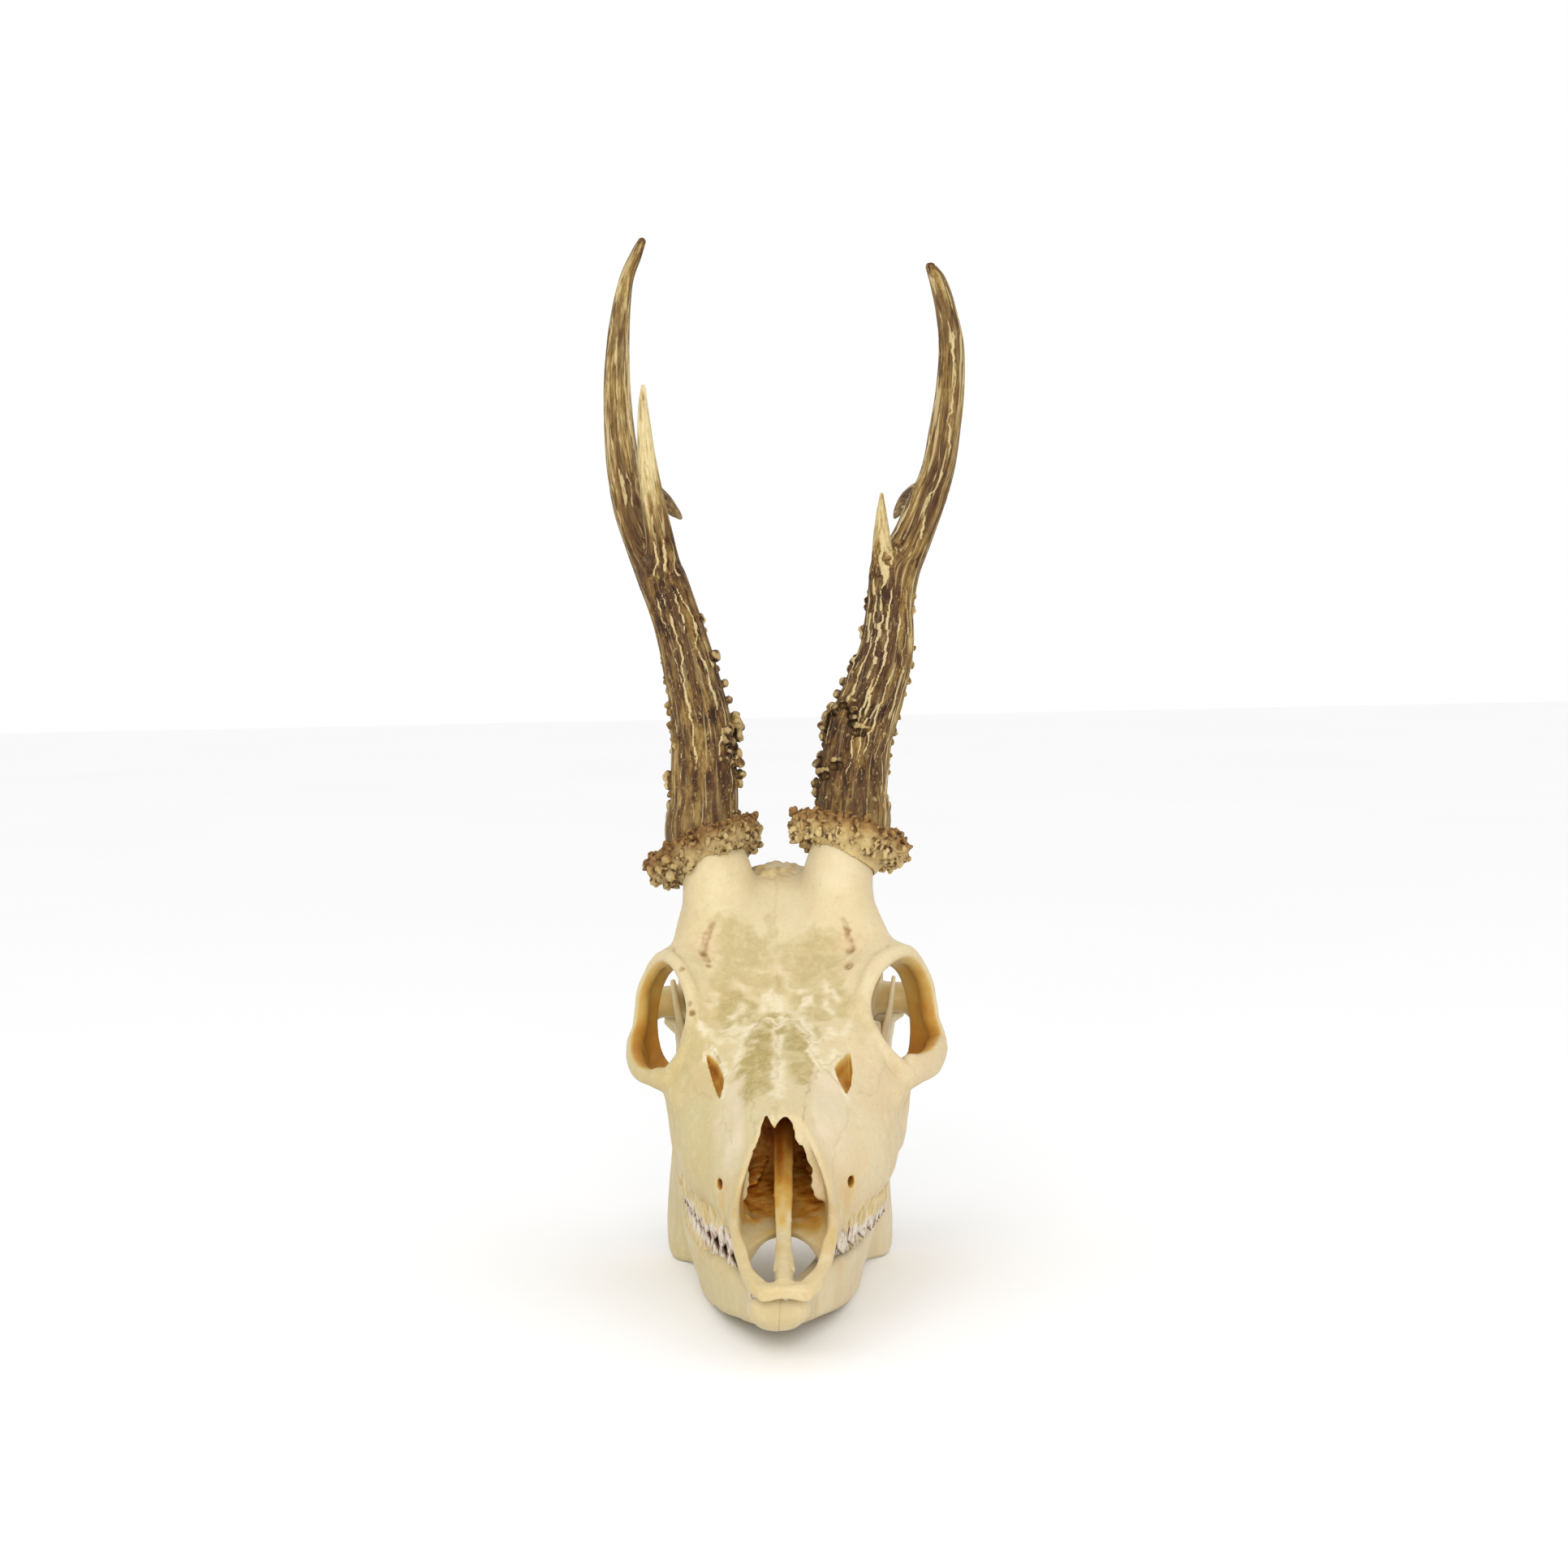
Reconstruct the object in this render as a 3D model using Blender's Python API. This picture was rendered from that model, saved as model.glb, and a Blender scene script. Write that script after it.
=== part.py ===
"""A roe deer buck's skull with its lower jaw and six-point antlers, life size, lying on its lower jaw.

The bones are shaped as signed distance fields in the skull's own frame: millimetres, x towards the animal's
left, y back from the tip of the upper jaw, z up from the palate. Each field becomes one closed mesh, which is
thinned and set down in the resting pose: metres, the face towards -Y, +Z up, the floor at Z = 0.
"""
import math

import bpy
import numpy as np

# driving dimensions, millimetres and degrees
NOD = 5.5                 # how far the muzzle dips when the skull lies on its lower jaw
FLOOR = -21.12            # height of the resting flats once the skull is turned by NOD
LIFT = 0.09               # brings the lowest corners of the thinned meshes to the floor
CENTRE = (4.81, 108.46)   # middle of the model's box, x and y, so that the origin is under it
JOINT_GAP = 0.6           # between jaw and cranium, at the hinge and between the teeth
PART_GAP = 0.5            # between the lengths of an antler, and under the burr
HALVES_GAP = 0.15         # from the middle to each half of the lower jaw at the chin
BURR_HEIGHT = 9.0         # along the antler, above the pedicle
STEP = {"cranium": 1.25, "jaw": 1.15, "antler": 1.05}    # spacing of the fields' samples
TRIANGLES = {             # of each solid once thinned
    "cranium": 4500, "mandible": 960, "burr": 420, "beam_lower": 330, "tine_front": 150,
    "beam_middle": 190, "tine_rear": 130, "beam_upper": 230,
}
F = np.float32


# ---- distance fields ----


def smin(a, b, k):
    if k <= 0:
        return np.minimum(a, b)
    h = np.clip(0.5 + 0.5 * (b - a) / k, 0, 1)
    return b + (a - b) * h - k * h * (1 - h)


class Grid:
    """A block of space sampled every `step` mm, holding a signed distance: negative inside."""

    def __init__(self, lo, hi, step):
        self.step = step
        self.axes = [np.arange(a, b + step, step, dtype=F) for a, b in zip(lo, hi)]
        self.d = np.full([len(a) for a in self.axes], 40.0, F)

    def window(self, lo, hi):
        s = []
        for a, l, h in zip(self.axes, lo, hi):
            i = max(0, int((l - a[0]) / self.step) - 1)
            j = min(len(a), int((h - a[0]) / self.step) + 3)
            s.append(slice(i, max(i, j)))
        s = tuple(s)
        X = self.axes[0][s[0]][:, None, None]
        Y = self.axes[1][s[1]][None, :, None]
        Z = self.axes[2][s[2]][None, None, :]
        return s, X, Y, Z

    def add(self, shape, k=0.0):
        lo, hi, fn = shape
        m = k + 2.5 * self.step
        s, X, Y, Z = self.window([v - m for v in lo], [v + m for v in hi])
        if self.d[s].size:
            self.d[s] = smin(self.d[s], fn(X, Y, Z).astype(F), k)

    def cut(self, shape, k=0.0):
        lo, hi, fn = shape
        m = k + 2.5 * self.step
        s, X, Y, Z = self.window([v - m for v in lo], [v + m for v in hi])
        if self.d[s].size:
            self.d[s] = -smin(-self.d[s], fn(X, Y, Z).astype(F), k)


def ball(c, r, turn=None):
    """An ellipsoid: centre, half sizes, and an optional 3x3 turn whose rows are its own axes."""
    c = np.array(c, float)
    r = np.array([r] * 3 if np.isscalar(r) else r, float)
    M = np.eye(3) if turn is None else np.array(turn, float)
    ext = np.sqrt(((M * r[:, None]) ** 2).sum(0))

    def fn(X, Y, Z):
        p = [X - F(c[0]), Y - F(c[1]), Z - F(c[2])]
        a = 0
        b = 0
        for i in range(3):
            q = (p[0] * F(M[i, 0]) + p[1] * F(M[i, 1]) + p[2] * F(M[i, 2])) if turn is not None else p[i]
            q = q / F(r[i])
            a = a + q * q
            q = q / F(r[i])
            b = b + q * q
        a = np.sqrt(a)
        return a * (a - 1) / np.sqrt(b + F(1e-9))

    return c - ext, c + ext, fn


def rod(a, b, ra, rb=None):
    """A round rod from a to b whose radius runs from ra to rb."""
    rb = ra if rb is None else rb
    a, b = np.array(a, float), np.array(b, float)
    ab = b - a
    L2 = max((ab @ ab), 1e-9)

    def fn(X, Y, Z):
        px, py, pz = X - F(a[0]), Y - F(a[1]), Z - F(a[2])
        t = np.clip((px * F(ab[0]) + py * F(ab[1]) + pz * F(ab[2])) / F(L2), 0, 1)
        qx, qy, qz = px - t * F(ab[0]), py - t * F(ab[1]), pz - t * F(ab[2])
        return np.sqrt(qx * qx + qy * qy + qz * qz) - (F(ra) + t * F(rb - ra))

    R = max(ra, rb)
    return np.minimum(a, b) - R, np.maximum(a, b) + R, fn


def strap(a, b, wide, wa, ta, wb=None, tb=None):
    """A flat rod from a to b: half width w along `wide`, half thickness t across it."""
    wb = wa if wb is None else wb
    tb = ta if tb is None else tb
    a, b = np.array(a, float), np.array(b, float)
    ab = b - a
    L2 = max((ab @ ab), 1e-9)
    u = ab / math.sqrt(L2)
    n1 = np.array(wide, float)
    n1 = n1 - (n1 @ u) * u
    n1 /= np.linalg.norm(n1) + 1e-9
    n2 = np.cross(u, n1)

    def fn(X, Y, Z):
        px, py, pz = X - F(a[0]), Y - F(a[1]), Z - F(a[2])
        t0 = (px * F(ab[0]) + py * F(ab[1]) + pz * F(ab[2])) / F(L2)
        t = np.clip(t0, 0, 1)
        w = F(wa) + t * F(wb - wa)
        h = F(ta) + t * F(tb - ta)
        q1 = px * F(n1[0]) + py * F(n1[1]) + pz * F(n1[2])
        q2 = px * F(n2[0]) + py * F(n2[1]) + pz * F(n2[2])
        q3 = (t0 - t) * F(math.sqrt(L2))
        q1 = q1 / w
        q2 = q2 / h
        q3 = q3 / h
        k0 = np.sqrt(q1 * q1 + q2 * q2 + q3 * q3)
        k1 = np.sqrt((q1 / w) ** 2 + (q2 / h) ** 2 + (q3 / h) ** 2) + F(1e-6)
        return k0 * (k0 - 1) / k1

    R = max(wa, wb, ta, tb)
    return np.minimum(a, b) - R, np.maximum(a, b) + R, fn


def curve(points, n=8):
    """A smooth run through control rows (any number of columns): Catmull-Rom, n steps a span."""
    P = np.array(points, float)
    P = np.vstack([2 * P[0] - P[1], P, 2 * P[-1] - P[-2]])
    out = []
    for i in range(1, len(P) - 2):
        for t in np.arange(n) / n:
            a, b, c, d = P[i - 1], P[i], P[i + 1], P[i + 2]
            out.append(0.5 * (2 * b + (c - a) * t + (2 * a - 5 * b + 4 * c - d) * t * t + (3 * b - a - 3 * c + d) * t ** 3))
    out.append(P[-2])
    return np.array(out)


def ease(xs, ys):
    """A smooth function through (xs, ys): monotone cubic."""
    xs = np.array(xs, float)
    ys = np.array(ys, float)
    h = np.diff(xs)
    s = np.diff(ys) / h
    m = np.zeros(len(xs))
    m[1:-1] = np.where(s[:-1] * s[1:] > 0, 2 * s[:-1] * s[1:] / (s[:-1] + s[1:] + 1e-12), 0)
    m[0], m[-1] = s[0], s[-1]

    def fn(x):
        x = np.asarray(x, float)
        xc = np.clip(x, xs[0], xs[-1])
        i = np.clip(np.searchsorted(xs, xc) - 1, 0, len(h) - 1)
        t = (xc - xs[i]) / h[i]
        return (
            (2 * t ** 3 - 3 * t ** 2 + 1) * ys[i]
            + (t ** 3 - 2 * t ** 2 + t) * h[i] * m[i]
            + (-2 * t ** 3 + 3 * t ** 2) * ys[i + 1]
            + (t ** 3 - t ** 2) * h[i] * m[i + 1]
        ).astype(F)

    return fn


def shrink_runs(f):
    """Turn samples until no cell's face or corner pair is ambiguous, so the mesh has two faces at each edge."""
    s = f < 0
    for _ in range(12):
        bad = 0
        for ax in ((0, 1), (0, 2), (1, 2)):
            sl = [[slice(None)] * 3 for _ in range(4)]
            for i, (u, v) in enumerate(((0, 0), (0, 1), (1, 0), (1, 1))):
                sl[i][ax[0]] = slice(u, f.shape[ax[0]] - 1 + u)
                sl[i][ax[1]] = slice(v, f.shape[ax[1]] - 1 + v)
            a, b, c, e = [s[tuple(q)] for q in sl]
            m = (a == e) & (b == c) & (a != b)
            if m.any():
                bad += int(m.sum())
                for q in sl:
                    w = f[tuple(q)]
                    t = m & (w >= 0)
                    w[t] = -0.02
                s = f < 0
        for d in ((0, 0, 0), (0, 0, 1), (0, 1, 0), (1, 0, 0)):
            e = tuple(1 - k for k in d)
            n = [k - 1 for k in f.shape]
            cell = {}
            for i in (0, 1):
                for j in (0, 1):
                    for k in (0, 1):
                        cell[i, j, k] = s[i : n[0] + i, j : n[1] + j, k : n[2] + k]
            others = [v for k, v in cell.items() if k not in (d, e)]
            for want in (True, False):
                m = (cell[d] == want) & (cell[e] == want)
                for o in others:
                    m &= o != want
                if m.any():
                    bad += int(m.sum())
                    if want:
                        for q in (d, e):
                            w = f[q[0] : n[0] + q[0], q[1] : n[1] + q[1], q[2] : n[2] + q[2]]
                            t = m & (w < 0)
                            w[t] = 0.02
                    else:
                        w = f[d[0] : n[0] + d[0], d[1] : n[1] + d[1], d[2] : n[2] + d[2]]
                        t = m & (w >= 0)
                        w[t] = -0.02
                    s = f < 0
        if not bad:
            break
    return f


def biggest(verts, quads):
    """Only the largest connected surface: no loose crumbs and no sealed bubbles inside."""
    label = np.arange(len(verts))
    while True:
        low = label[quads].min(1)
        new = label.copy()
        for k in range(4):
            np.minimum.at(new, quads[:, k], low)
        new = new[new]
        if (new == label).all():
            break
        label = new
    ids, count = np.unique(label, return_counts=True)
    keep = label == ids[count.argmax()]
    index = np.cumsum(keep) - 1
    return verts[keep], index[quads[keep[quads[:, 0]]]]


def nets(d, lo, step):
    """Surface nets: one vertex in each cell the surface crosses, one quad for each crossed grid edge."""
    inside = d < 0
    n = np.array(d.shape)
    cell = np.zeros(n - 1, bool)
    c0 = inside[:-1, :-1, :-1]
    for i in (0, 1):
        for j in (0, 1):
            for k in (0, 1):
                cell |= inside[i : n[0] - 1 + i, j : n[1] - 1 + j, k : n[2] - 1 + k] != c0
    ijk = np.argwhere(cell)
    index = np.full(n - 1, -1, np.int32)
    index[tuple(ijk.T)] = np.arange(len(ijk))
    pos = np.zeros((len(ijk), 3), np.float64)
    cnt = np.zeros(len(ijk))
    corners = [(i, j, k) for i in (0, 1) for j in (0, 1) for k in (0, 1)]
    val = {c: d[ijk[:, 0] + c[0], ijk[:, 1] + c[1], ijk[:, 2] + c[2]].astype(np.float64) for c in corners}
    for a in corners:
        for ax in range(3):
            if a[ax]:
                continue
            b = list(a)
            b[ax] = 1
            b = tuple(b)
            va, vb = val[a], val[b]
            m = (va < 0) != (vb < 0)
            t = np.where(m, va / np.where(m, va - vb, 1), 0)
            for q in range(3):
                pos[:, q] += np.where(m, a[q] + (t if q == ax else 0), 0)
            cnt += m
    pos = ijk + pos / cnt[:, None]
    verts = pos * step + np.array(lo)
    quads = []
    for ax in range(3):
        s0 = [slice(None)] * 3
        s1 = [slice(None)] * 3
        s0[ax] = slice(0, n[ax] - 1)
        s1[ax] = slice(1, n[ax])
        e = inside[tuple(s0)] != inside[tuple(s1)]
        o = [q for q in range(3) if q != ax]
        rows = np.argwhere(e)
        rows = rows[(rows[:, o[0]] > 0) & (rows[:, o[1]] > 0) & (rows[:, o[0]] < n[o[0]] - 1) & (rows[:, o[1]] < n[o[1]] - 1)]
        ins = inside[rows[:, 0], rows[:, 1], rows[:, 2]]

        def cellid(du, dv):
            r = rows.copy()
            r[:, o[0]] -= du
            r[:, o[1]] -= dv
            return index[r[:, 0], r[:, 1], r[:, 2]]

        q = np.stack([cellid(1, 1), cellid(0, 1), cellid(0, 0), cellid(1, 0)], 1)
        flip = ins if ax != 1 else ~ins
        q = np.where(flip[:, None], q, q[:, ::-1])
        quads.append(q)
    quads = np.concatenate(quads)
    return verts, quads


# ---- the bones, in the skull's frame ----


SHELL = [
 (1.5,(0,-1.6),(2,-1.8),(4,-2.2),(5.4,-2.3),(6.4,-1.8),(6.8,-0.9),(6.4,0.1),(5.4,0.9),(4,1.3),(2.5,1.3),(1.2,1.2),(0,1.1)),
 (8, (0,-1),(3,-1.2),(6,-1.8),(8,-2),(9.4,-1.2),(9.9,0.6),(9.6,3),(8.5,5),(7,7),(5,9),(3,10),(0,10.5)),
 (18,(0,0.2),(4,0),(7,-0.8),(9,-1.2),(10.8,-0.4),(12.1,2),(12.5,5),(12.2,9),(10.5,14),(8,18),(4.5,21),(0,22)),
 (30,(0,1.5),(5,1.3),(8,0.3),(10,-0.3),(11.8,1),(13.1,4),(13.8,8),(13.2,13),(11.5,18),(9,22),(5,26),(0,27)),
 (40,(0,2.5),(5,2.2),(8,1.0),(11,0.2),(13.0,2.2),(14.0,6.5),(13.6,10.5),(12.2,14.8),(9.8,19.5),(7.2,24.5),(4.4,28.6),(0,29.4)),
 (50,(0,3),(6,2.6),(10,0.8),(13,0),(15.0,2.5),(16.2,7),(15.6,12.5),(13.6,18.0),(10.4,23.4),(7.6,28.0),(4.9,31.4),(0,32.4)),
 (60,(0,4),(8,3.4),(12.5,1.8),(16.0,2.0),(18.8,4.2),(20.2,8),(19.8,14),(17.4,20.5),(13.8,27),(10.0,31.8),(5.8,34.7),(0,35.4)),
 (75,(0,5),(10,4.4),(16,2.2),(21.8,2.2),(25.0,5.0),(26.8,9),(26.8,15),(24.6,22),(19.4,29.8),(13,36),(6.5,39),(0,39.7)),
 (88,(0,6),(12,5.2),(19,2.6),(25.6,2.2),(28.8,5.2),(30.2,10),(30.6,16),(29.4,24),(24.6,33.4),(17,41),(8,43.6),(0,43.8)),
 (98,(0,6),(12,5.5),(21,2.8),(26.8,2.0),(29.6,5.2),(30.8,11),(31.8,18),(31.6,26),(29,36),(24.5,44.5),(13,46.6),(0,46.4)),
 (108,(0,6),(12,5.5),(21,2.8),(26.4,2.2),(29.0,5.6),(30.6,12),(32,20),(32.5,30),(30.5,42),(27.2,53.4),(14,51.9),(0,51)),
 (118,(0,7),(10,6.5),(16,5),(21,5),(25,9),(26.5,16),(28,25),(28.4,36),(28.8,48),(28.6,60.0),(16,58.0),(0,57)),
 (128,(0,9),(7,9),(12,9),(16,12),(19,18),(22,26),(25,36),(27.2,47),(28.6,55),(30.2,63.2),(18,63.9),(0,63.8)),
 (138,(0,11.5),(7,11.5),(12,13),(16,17),(20,23),(24,31),(26.5,39),(27.6,48),(28.2,57),(28.2,66),(16,70.5),(0,70.4)),
 (148,(0,13.5),(7,13.5),(13,15.5),(18,20),(23,26),(26.8,34),(28.3,43),(28.3,52),(27.4,62),(24,70.5),(12,76),(0,77)),
 (158,(0,14.5),(8,14.5),(14,16.5),(20,20.5),(25,27),(28.4,36),(29.2,45),(28.6,54),(26.6,64),(21.5,72),(12,77.2),(0,80)),
 (168,(0,15),(8,15),(15,17),(22,20.5),(27,27.5),(29.8,36),(30.4,44),(29.6,53),(26.6,62),(20.8,69.5),(11.5,75.2),(0,78)),
 (178,(0,14.5),(8,14.5),(15,16),(23,19.5),(28,25.5),(30.6,33),(30.8,41),(29.4,50),(25.8,58),(19.8,65),(11,70.6),(0,73)),
 (188,(0,13),(8,13),(15,14),(23,17.5),(28.8,23.5),(31.2,31),(31,39),(28.8,47),(24.6,54),(18.4,59.8),(10,64),(0,66)),
 (197,(0,12),(7,12),(14,13),(21,16),(26.5,22),(29.2,29.5),(28.6,37),(26,43.5),(21.6,48.8),(15.6,52.8),(8.5,55.6),(0,57)),
 (204,(0,14),(6,14),(12,15),(17,18),(21.5,23.5),(24,29.5),(23.6,35.5),(21.6,40),(18,43.5),(13,46),(7,47.8),(0,48.6)),
]


def loft(rows, X, Y, Z, step, sub=3):
    ys = np.array([r[0] for r in rows], float)
    P = np.array([[q for q in r[1:]] for r in rows], float)
    K = P.shape[1]
    yv = np.clip(Y.ravel(), ys[0], ys[-1])
    cx = [ease(ys, P[:, k, 0]) for k in range(K)]
    cz = [ease(ys, P[:, k, 1]) for k in range(K)]
    out = np.empty((X.shape[0], len(yv), Z.shape[2]), F)
    x = X[:, 0, 0][:, None]
    z = Z[0, 0, :][None, :]
    for j, yy in enumerate(yv):
        pts = np.array([[cx[k](yy), cz[k](yy)] for k in range(K)], float)
        ext = np.vstack([[-pts[1, 0], pts[1, 1]], pts, [-pts[-2, 0], pts[-2, 1]]])
        c = []
        for i in range(1, len(ext) - 2):
            for t in np.arange(sub) / sub:
                a, b, cc, dd = ext[i - 1], ext[i], ext[i + 1], ext[i + 2]
                c.append(0.5 * (2 * b + (cc - a) * t + (2 * a - 5 * b + 4 * cc - dd) * t * t + (3 * b - a - 3 * cc + dd) * t ** 3))
        c.append(pts[-1])
        out[:, j, :] = flat_distance(np.array(c), x, z, False)
    g = np.gradient(out, step, axis=1) if out.shape[1] > 2 else 0
    out = out / np.sqrt(1 + g * g)
    e = np.maximum(ys[0] - Y, Y - ys[-1])
    return np.maximum(out, e)


def flat_distance(c, x, z, closed=True):
    """Signed distance in a plane to a run of points; an open run starts and ends on x = 0."""
    if closed:
        c = np.vstack([c, c[:1]])
    best = np.full(np.broadcast(x, z).shape, 1e9, F)
    cross = np.zeros(best.shape, bool)
    for a, b in zip(c[:-1], c[1:]):
        e = b - a
        L = e @ e
        if L < 1e-9:
            continue
        px, pz = x - F(a[0]), z - F(a[1])
        t = np.clip((px * F(e[0]) + pz * F(e[1])) / F(L), 0, 1)
        qx, qz = px - t * F(e[0]), pz - t * F(e[1])
        best = np.minimum(best, qx * qx + qz * qz)
        lo_, hi_ = (a, b) if a[1] <= b[1] else (b, a)
        m = (z >= lo_[1]) & (z < hi_[1])
        xs = lo_[0] + (z - lo_[1]) / (hi_[1] - lo_[1] + 1e-12) * (hi_[0] - lo_[0])
        cross ^= m & (xs > x)
    dist = np.sqrt(best)
    return np.where(cross, -dist, dist)


RIM = [
 (25.0, 99.5, 43.0, 1.7), (23.7, 103.5, 50.0, 1.8), (26.0, 110.0, 56.8, 1.8), (30.0, 117.5, 60.4, 1.8), (34.0, 124.5, 60.0, 1.9),
 (37.6, 130.5, 55.4, 2.0), (40.6, 134.0, 48.5, 2.0), (41.3, 134.5, 42.5, 2.0), (41.9, 132.5, 38.2, 2.1), (43.2, 128, 34.4, 2.3),
 (42.8, 120.5, 31.2, 2.4), (40.7, 112, 29.4, 2.4), (36.4, 104.5, 29.6, 2.3), (32.2, 99.8, 32.2, 2.2), (28.4, 98, 36.6, 2.0),
]


INNER = [  # where the plate of the orbit ends behind each point of the rim, and how far it bellies out between
 (23.6, 102, 43.5, 0), (22.6, 107, 50.0, 0), (24.6, 114, 57.4, 0), (28.6, 123, 59.0, 0), (31.4, 132, 55.4, 0.4),
 (33.6, 136.5, 52.2, 0.6), (35.6, 139.6, 47.2, 0.8), (36.8, 140.2, 42.0, 0.8), (37.4, 139.2, 37.4, 1.0), (37.2, 137.4, 33.0, 1.6),
 (36.4, 134.2, 29.6, 2.2), (34.6, 127.0, 28.6, 2.2), (31.0, 119.5, 27.8, 1.6), (28.2, 110, 28.6, 0.6), (26.2, 103, 35.0, 0),
]
EYE = (33.0, 118.0, 44.0)


def ring(rows, n=4):
    P = np.array(rows, float)
    P = np.vstack([P, P[:3]])
    C = curve(P, n)
    return C[n : n + n * len(rows) + 1]


ZTOP = ease([1, 5, 8, 12, 18, 25, 32, 38, 41, 44, 47, 49.5, 52, 60], [2, 2.2, 3.0, 4.0, 6.3, 8.8, 11.2, 13.0, 15, 18.8, 23.5, 28.5, 34, 60])
NOSE = [  # the nasal passage: y, half width at floor, middle and top, floor, roof
 (6, 4.4, 4.8, 5.0, 0.9, 30), (12, 7.4, 7.8, 7.0, 1.6, 30), (20, 9.0, 9.6, 8.0, 2.6, 30), (30, 10.2, 11.6, 8.0, 3.6, 30), (42, 10.2, 10.6, 3.4, 4.5, 29.6), (48, 10.2, 9.8, 3.4, 5.0, 30.4),
 (55, 10.6, 12.0, 5.0, 5.5, 31.4), (70, 12.6, 16.4, 7.0, 7, 34.4), (84, 12.6, 18.4, 8.0, 8.5, 37), (92, 10, 15, 7, 12, 36),
]


def nose_hollow(X, Y, Z):
    ys = [r[0] for r in NOSE]
    wf, wm, wt, zf, zr = [ease(ys, [r[k] for r in NOSE])(Y) for k in range(1, 6)]
    t = np.clip((Z - zf) / (zr - zf), 0, 1)
    w = wf * (1 - t) ** 2 + 2 * t * (1 - t) * (2 * wm - 0.5 * (wf + wt)) + wt * t ** 2
    # rounded corners where the walls meet floor and roof
    a = np.abs(X) - w
    b = np.maximum(zf - Z, Z - zr)
    r = F(2.5)
    f = np.sqrt(np.maximum(a + r, 0) ** 2 + np.maximum(b + r, 0) ** 2) - r + np.minimum(np.maximum(a, b) + r, 0)
    return np.maximum(f * 0.93, np.maximum(Y - 90, 6 - Y))


def front_cut(X, Y, Z):
    return (ZTOP(Y) - Z) * 0.62 + 0 * X


def fissure(X, Y, Z):
    """Gap in the bone of the palate beside the middle bar, behind the front teeth."""
    xo = ease([6, 9, 14, 20, 27, 33, 40], [3.5, 5.6, 7.9, 8.9, 9.2, 8.0, 5.0])(Y)
    xi = ease([6, 9, 14, 24, 33], [2.9, 2.9, 2.2, 1.6, 1.3])(Y)
    ye = 41.5 - 0.3 * X - 0.14 * X * X
    return np.maximum(np.maximum(xi - X, X - xo), np.maximum(8.6 - Y, Y - ye) * 0.8) + 0 * Z


UP = [  # upper cheek teeth: y of the middle, length, outer x, width, cusps
 (54.2, 7.6, 15.9, 6.5, 1), (61.9, 8.0, 18.6, 8.0, 1), (69.6, 7.6, 21.2, 9.4, 1), (78.6, 10.4, 24.0, 10.6, 2), (89.8, 11.8, 26.6, 11.4, 2), (101.6, 11.6, 28.2, 11.2, 2),
]
LOW = [  # lower cheek teeth
 (53.6, 6.6, 13.6, 4.4, 1), (60.8, 7.8, 15.9, 5.2, 1), (68.8, 8.2, 18.3, 6.0, 1), (77.8, 9.8, 20.8, 6.8, 2), (88.6, 11.6, 23.2, 7.4, 2), (101.8, 14.4, 25.2, 7.2, 3),
]


MARGIN = ease([50, 62, 70, 79, 90, 104], [2.6, 1.6, 0.6, -0.6, -1.6, -2.0])    # where the upper teeth leave the bone
SLITS = [  # the slit in front of each orbit: its edge, on the surface
 [(-20.8,92.6,41.8),(-19.2,90.1,40.6),(-17.6,87.6,38.9),(-16.2,83.0,38.2),(-15.3,79.3,36.8),(-15.5,77.1,35.1),(-16.6,74.4,32.6),(-17.6,77.7,33.6),(-18.8,83.2,35.4),(-19.9,88.0,38.3)],
 [(18.9,89.0,41.6),(17.5,86.6,40.7),(15.9,83.4,39.9),(14.6,80.4,38.9),(15.2,78.1,37.4),(16.2,76.1,35.6),(17.6,74.2,33.3),(18.9,78.4,35.0),(19.4,83.8,37.7)],
]


def slits(f, lo, step, deep=4.5):
    """Sink the two slits into the whole cranium's field."""
    for edge in SLITS:
        P = np.array(edge)
        a, b, c = np.linalg.lstsq(np.stack([P[:, 0], P[:, 1], np.ones(len(P))], 1), P[:, 2], rcond=None)[0]
        l, h = P.min(0) - (3, 3, 9), P.max(0) + (3, 3, 6)
        i = [int((l[k] - lo[k]) / step) for k in range(3)]
        j = [int((h[k] - lo[k]) / step) for k in range(3)]
        s = tuple(slice(i[k], j[k]) for k in range(3))
        X, Y, Z = [(lo[k] + step * np.arange(i[k], j[k])).astype(F).reshape([-1 if m == k else 1 for m in range(3)]) for k in range(3)]
        flat = flat_distance(P[:, :2], X[:, :, 0], Y[:, :, 0])[:, :, None]
        under = F(a) * X + F(b) * Y + F(c) - Z
        f[s] = -smin(-f[s], np.maximum(flat + 0.1 * under, (under - deep) * 0.7), 0.4)
    return f


def teeth_up(g):
    for y, L, xo, w, n in UP:
        hl = L / n
        for i in range(n):
            yy = y - L / 2 + hl * (i + 0.5)
            sl = 0.22
            xx = xo + sl * (yy - y)
            g.add(ball((xx - 1.7, yy, -1.0), (1.9, hl * 0.52, 6.0)), 1.0)
            g.add(ball((xx - w + 2.2, yy + 0.3, -0.4), (2.3, hl * 0.5, 5.2)), 1.0)
            g.add(ball((xx - w / 2, yy, 0.0), (w * 0.46, hl * 0.5, 4.6)), 1.0)


def teeth_low(g):
    for y, L, xo, w, n in LOW:
        hl = L / n
        for i in range(n):
            yy = y - L / 2 + hl * (i + 0.5)
            xx = xo + 0.22 * (yy - y)
            g.add(ball((xx - w / 2, yy, -10.4 + 0.04 * (54 - min(yy, 80))), (w * 0.5, hl * 0.52, 6.0)), 1.0)


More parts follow.
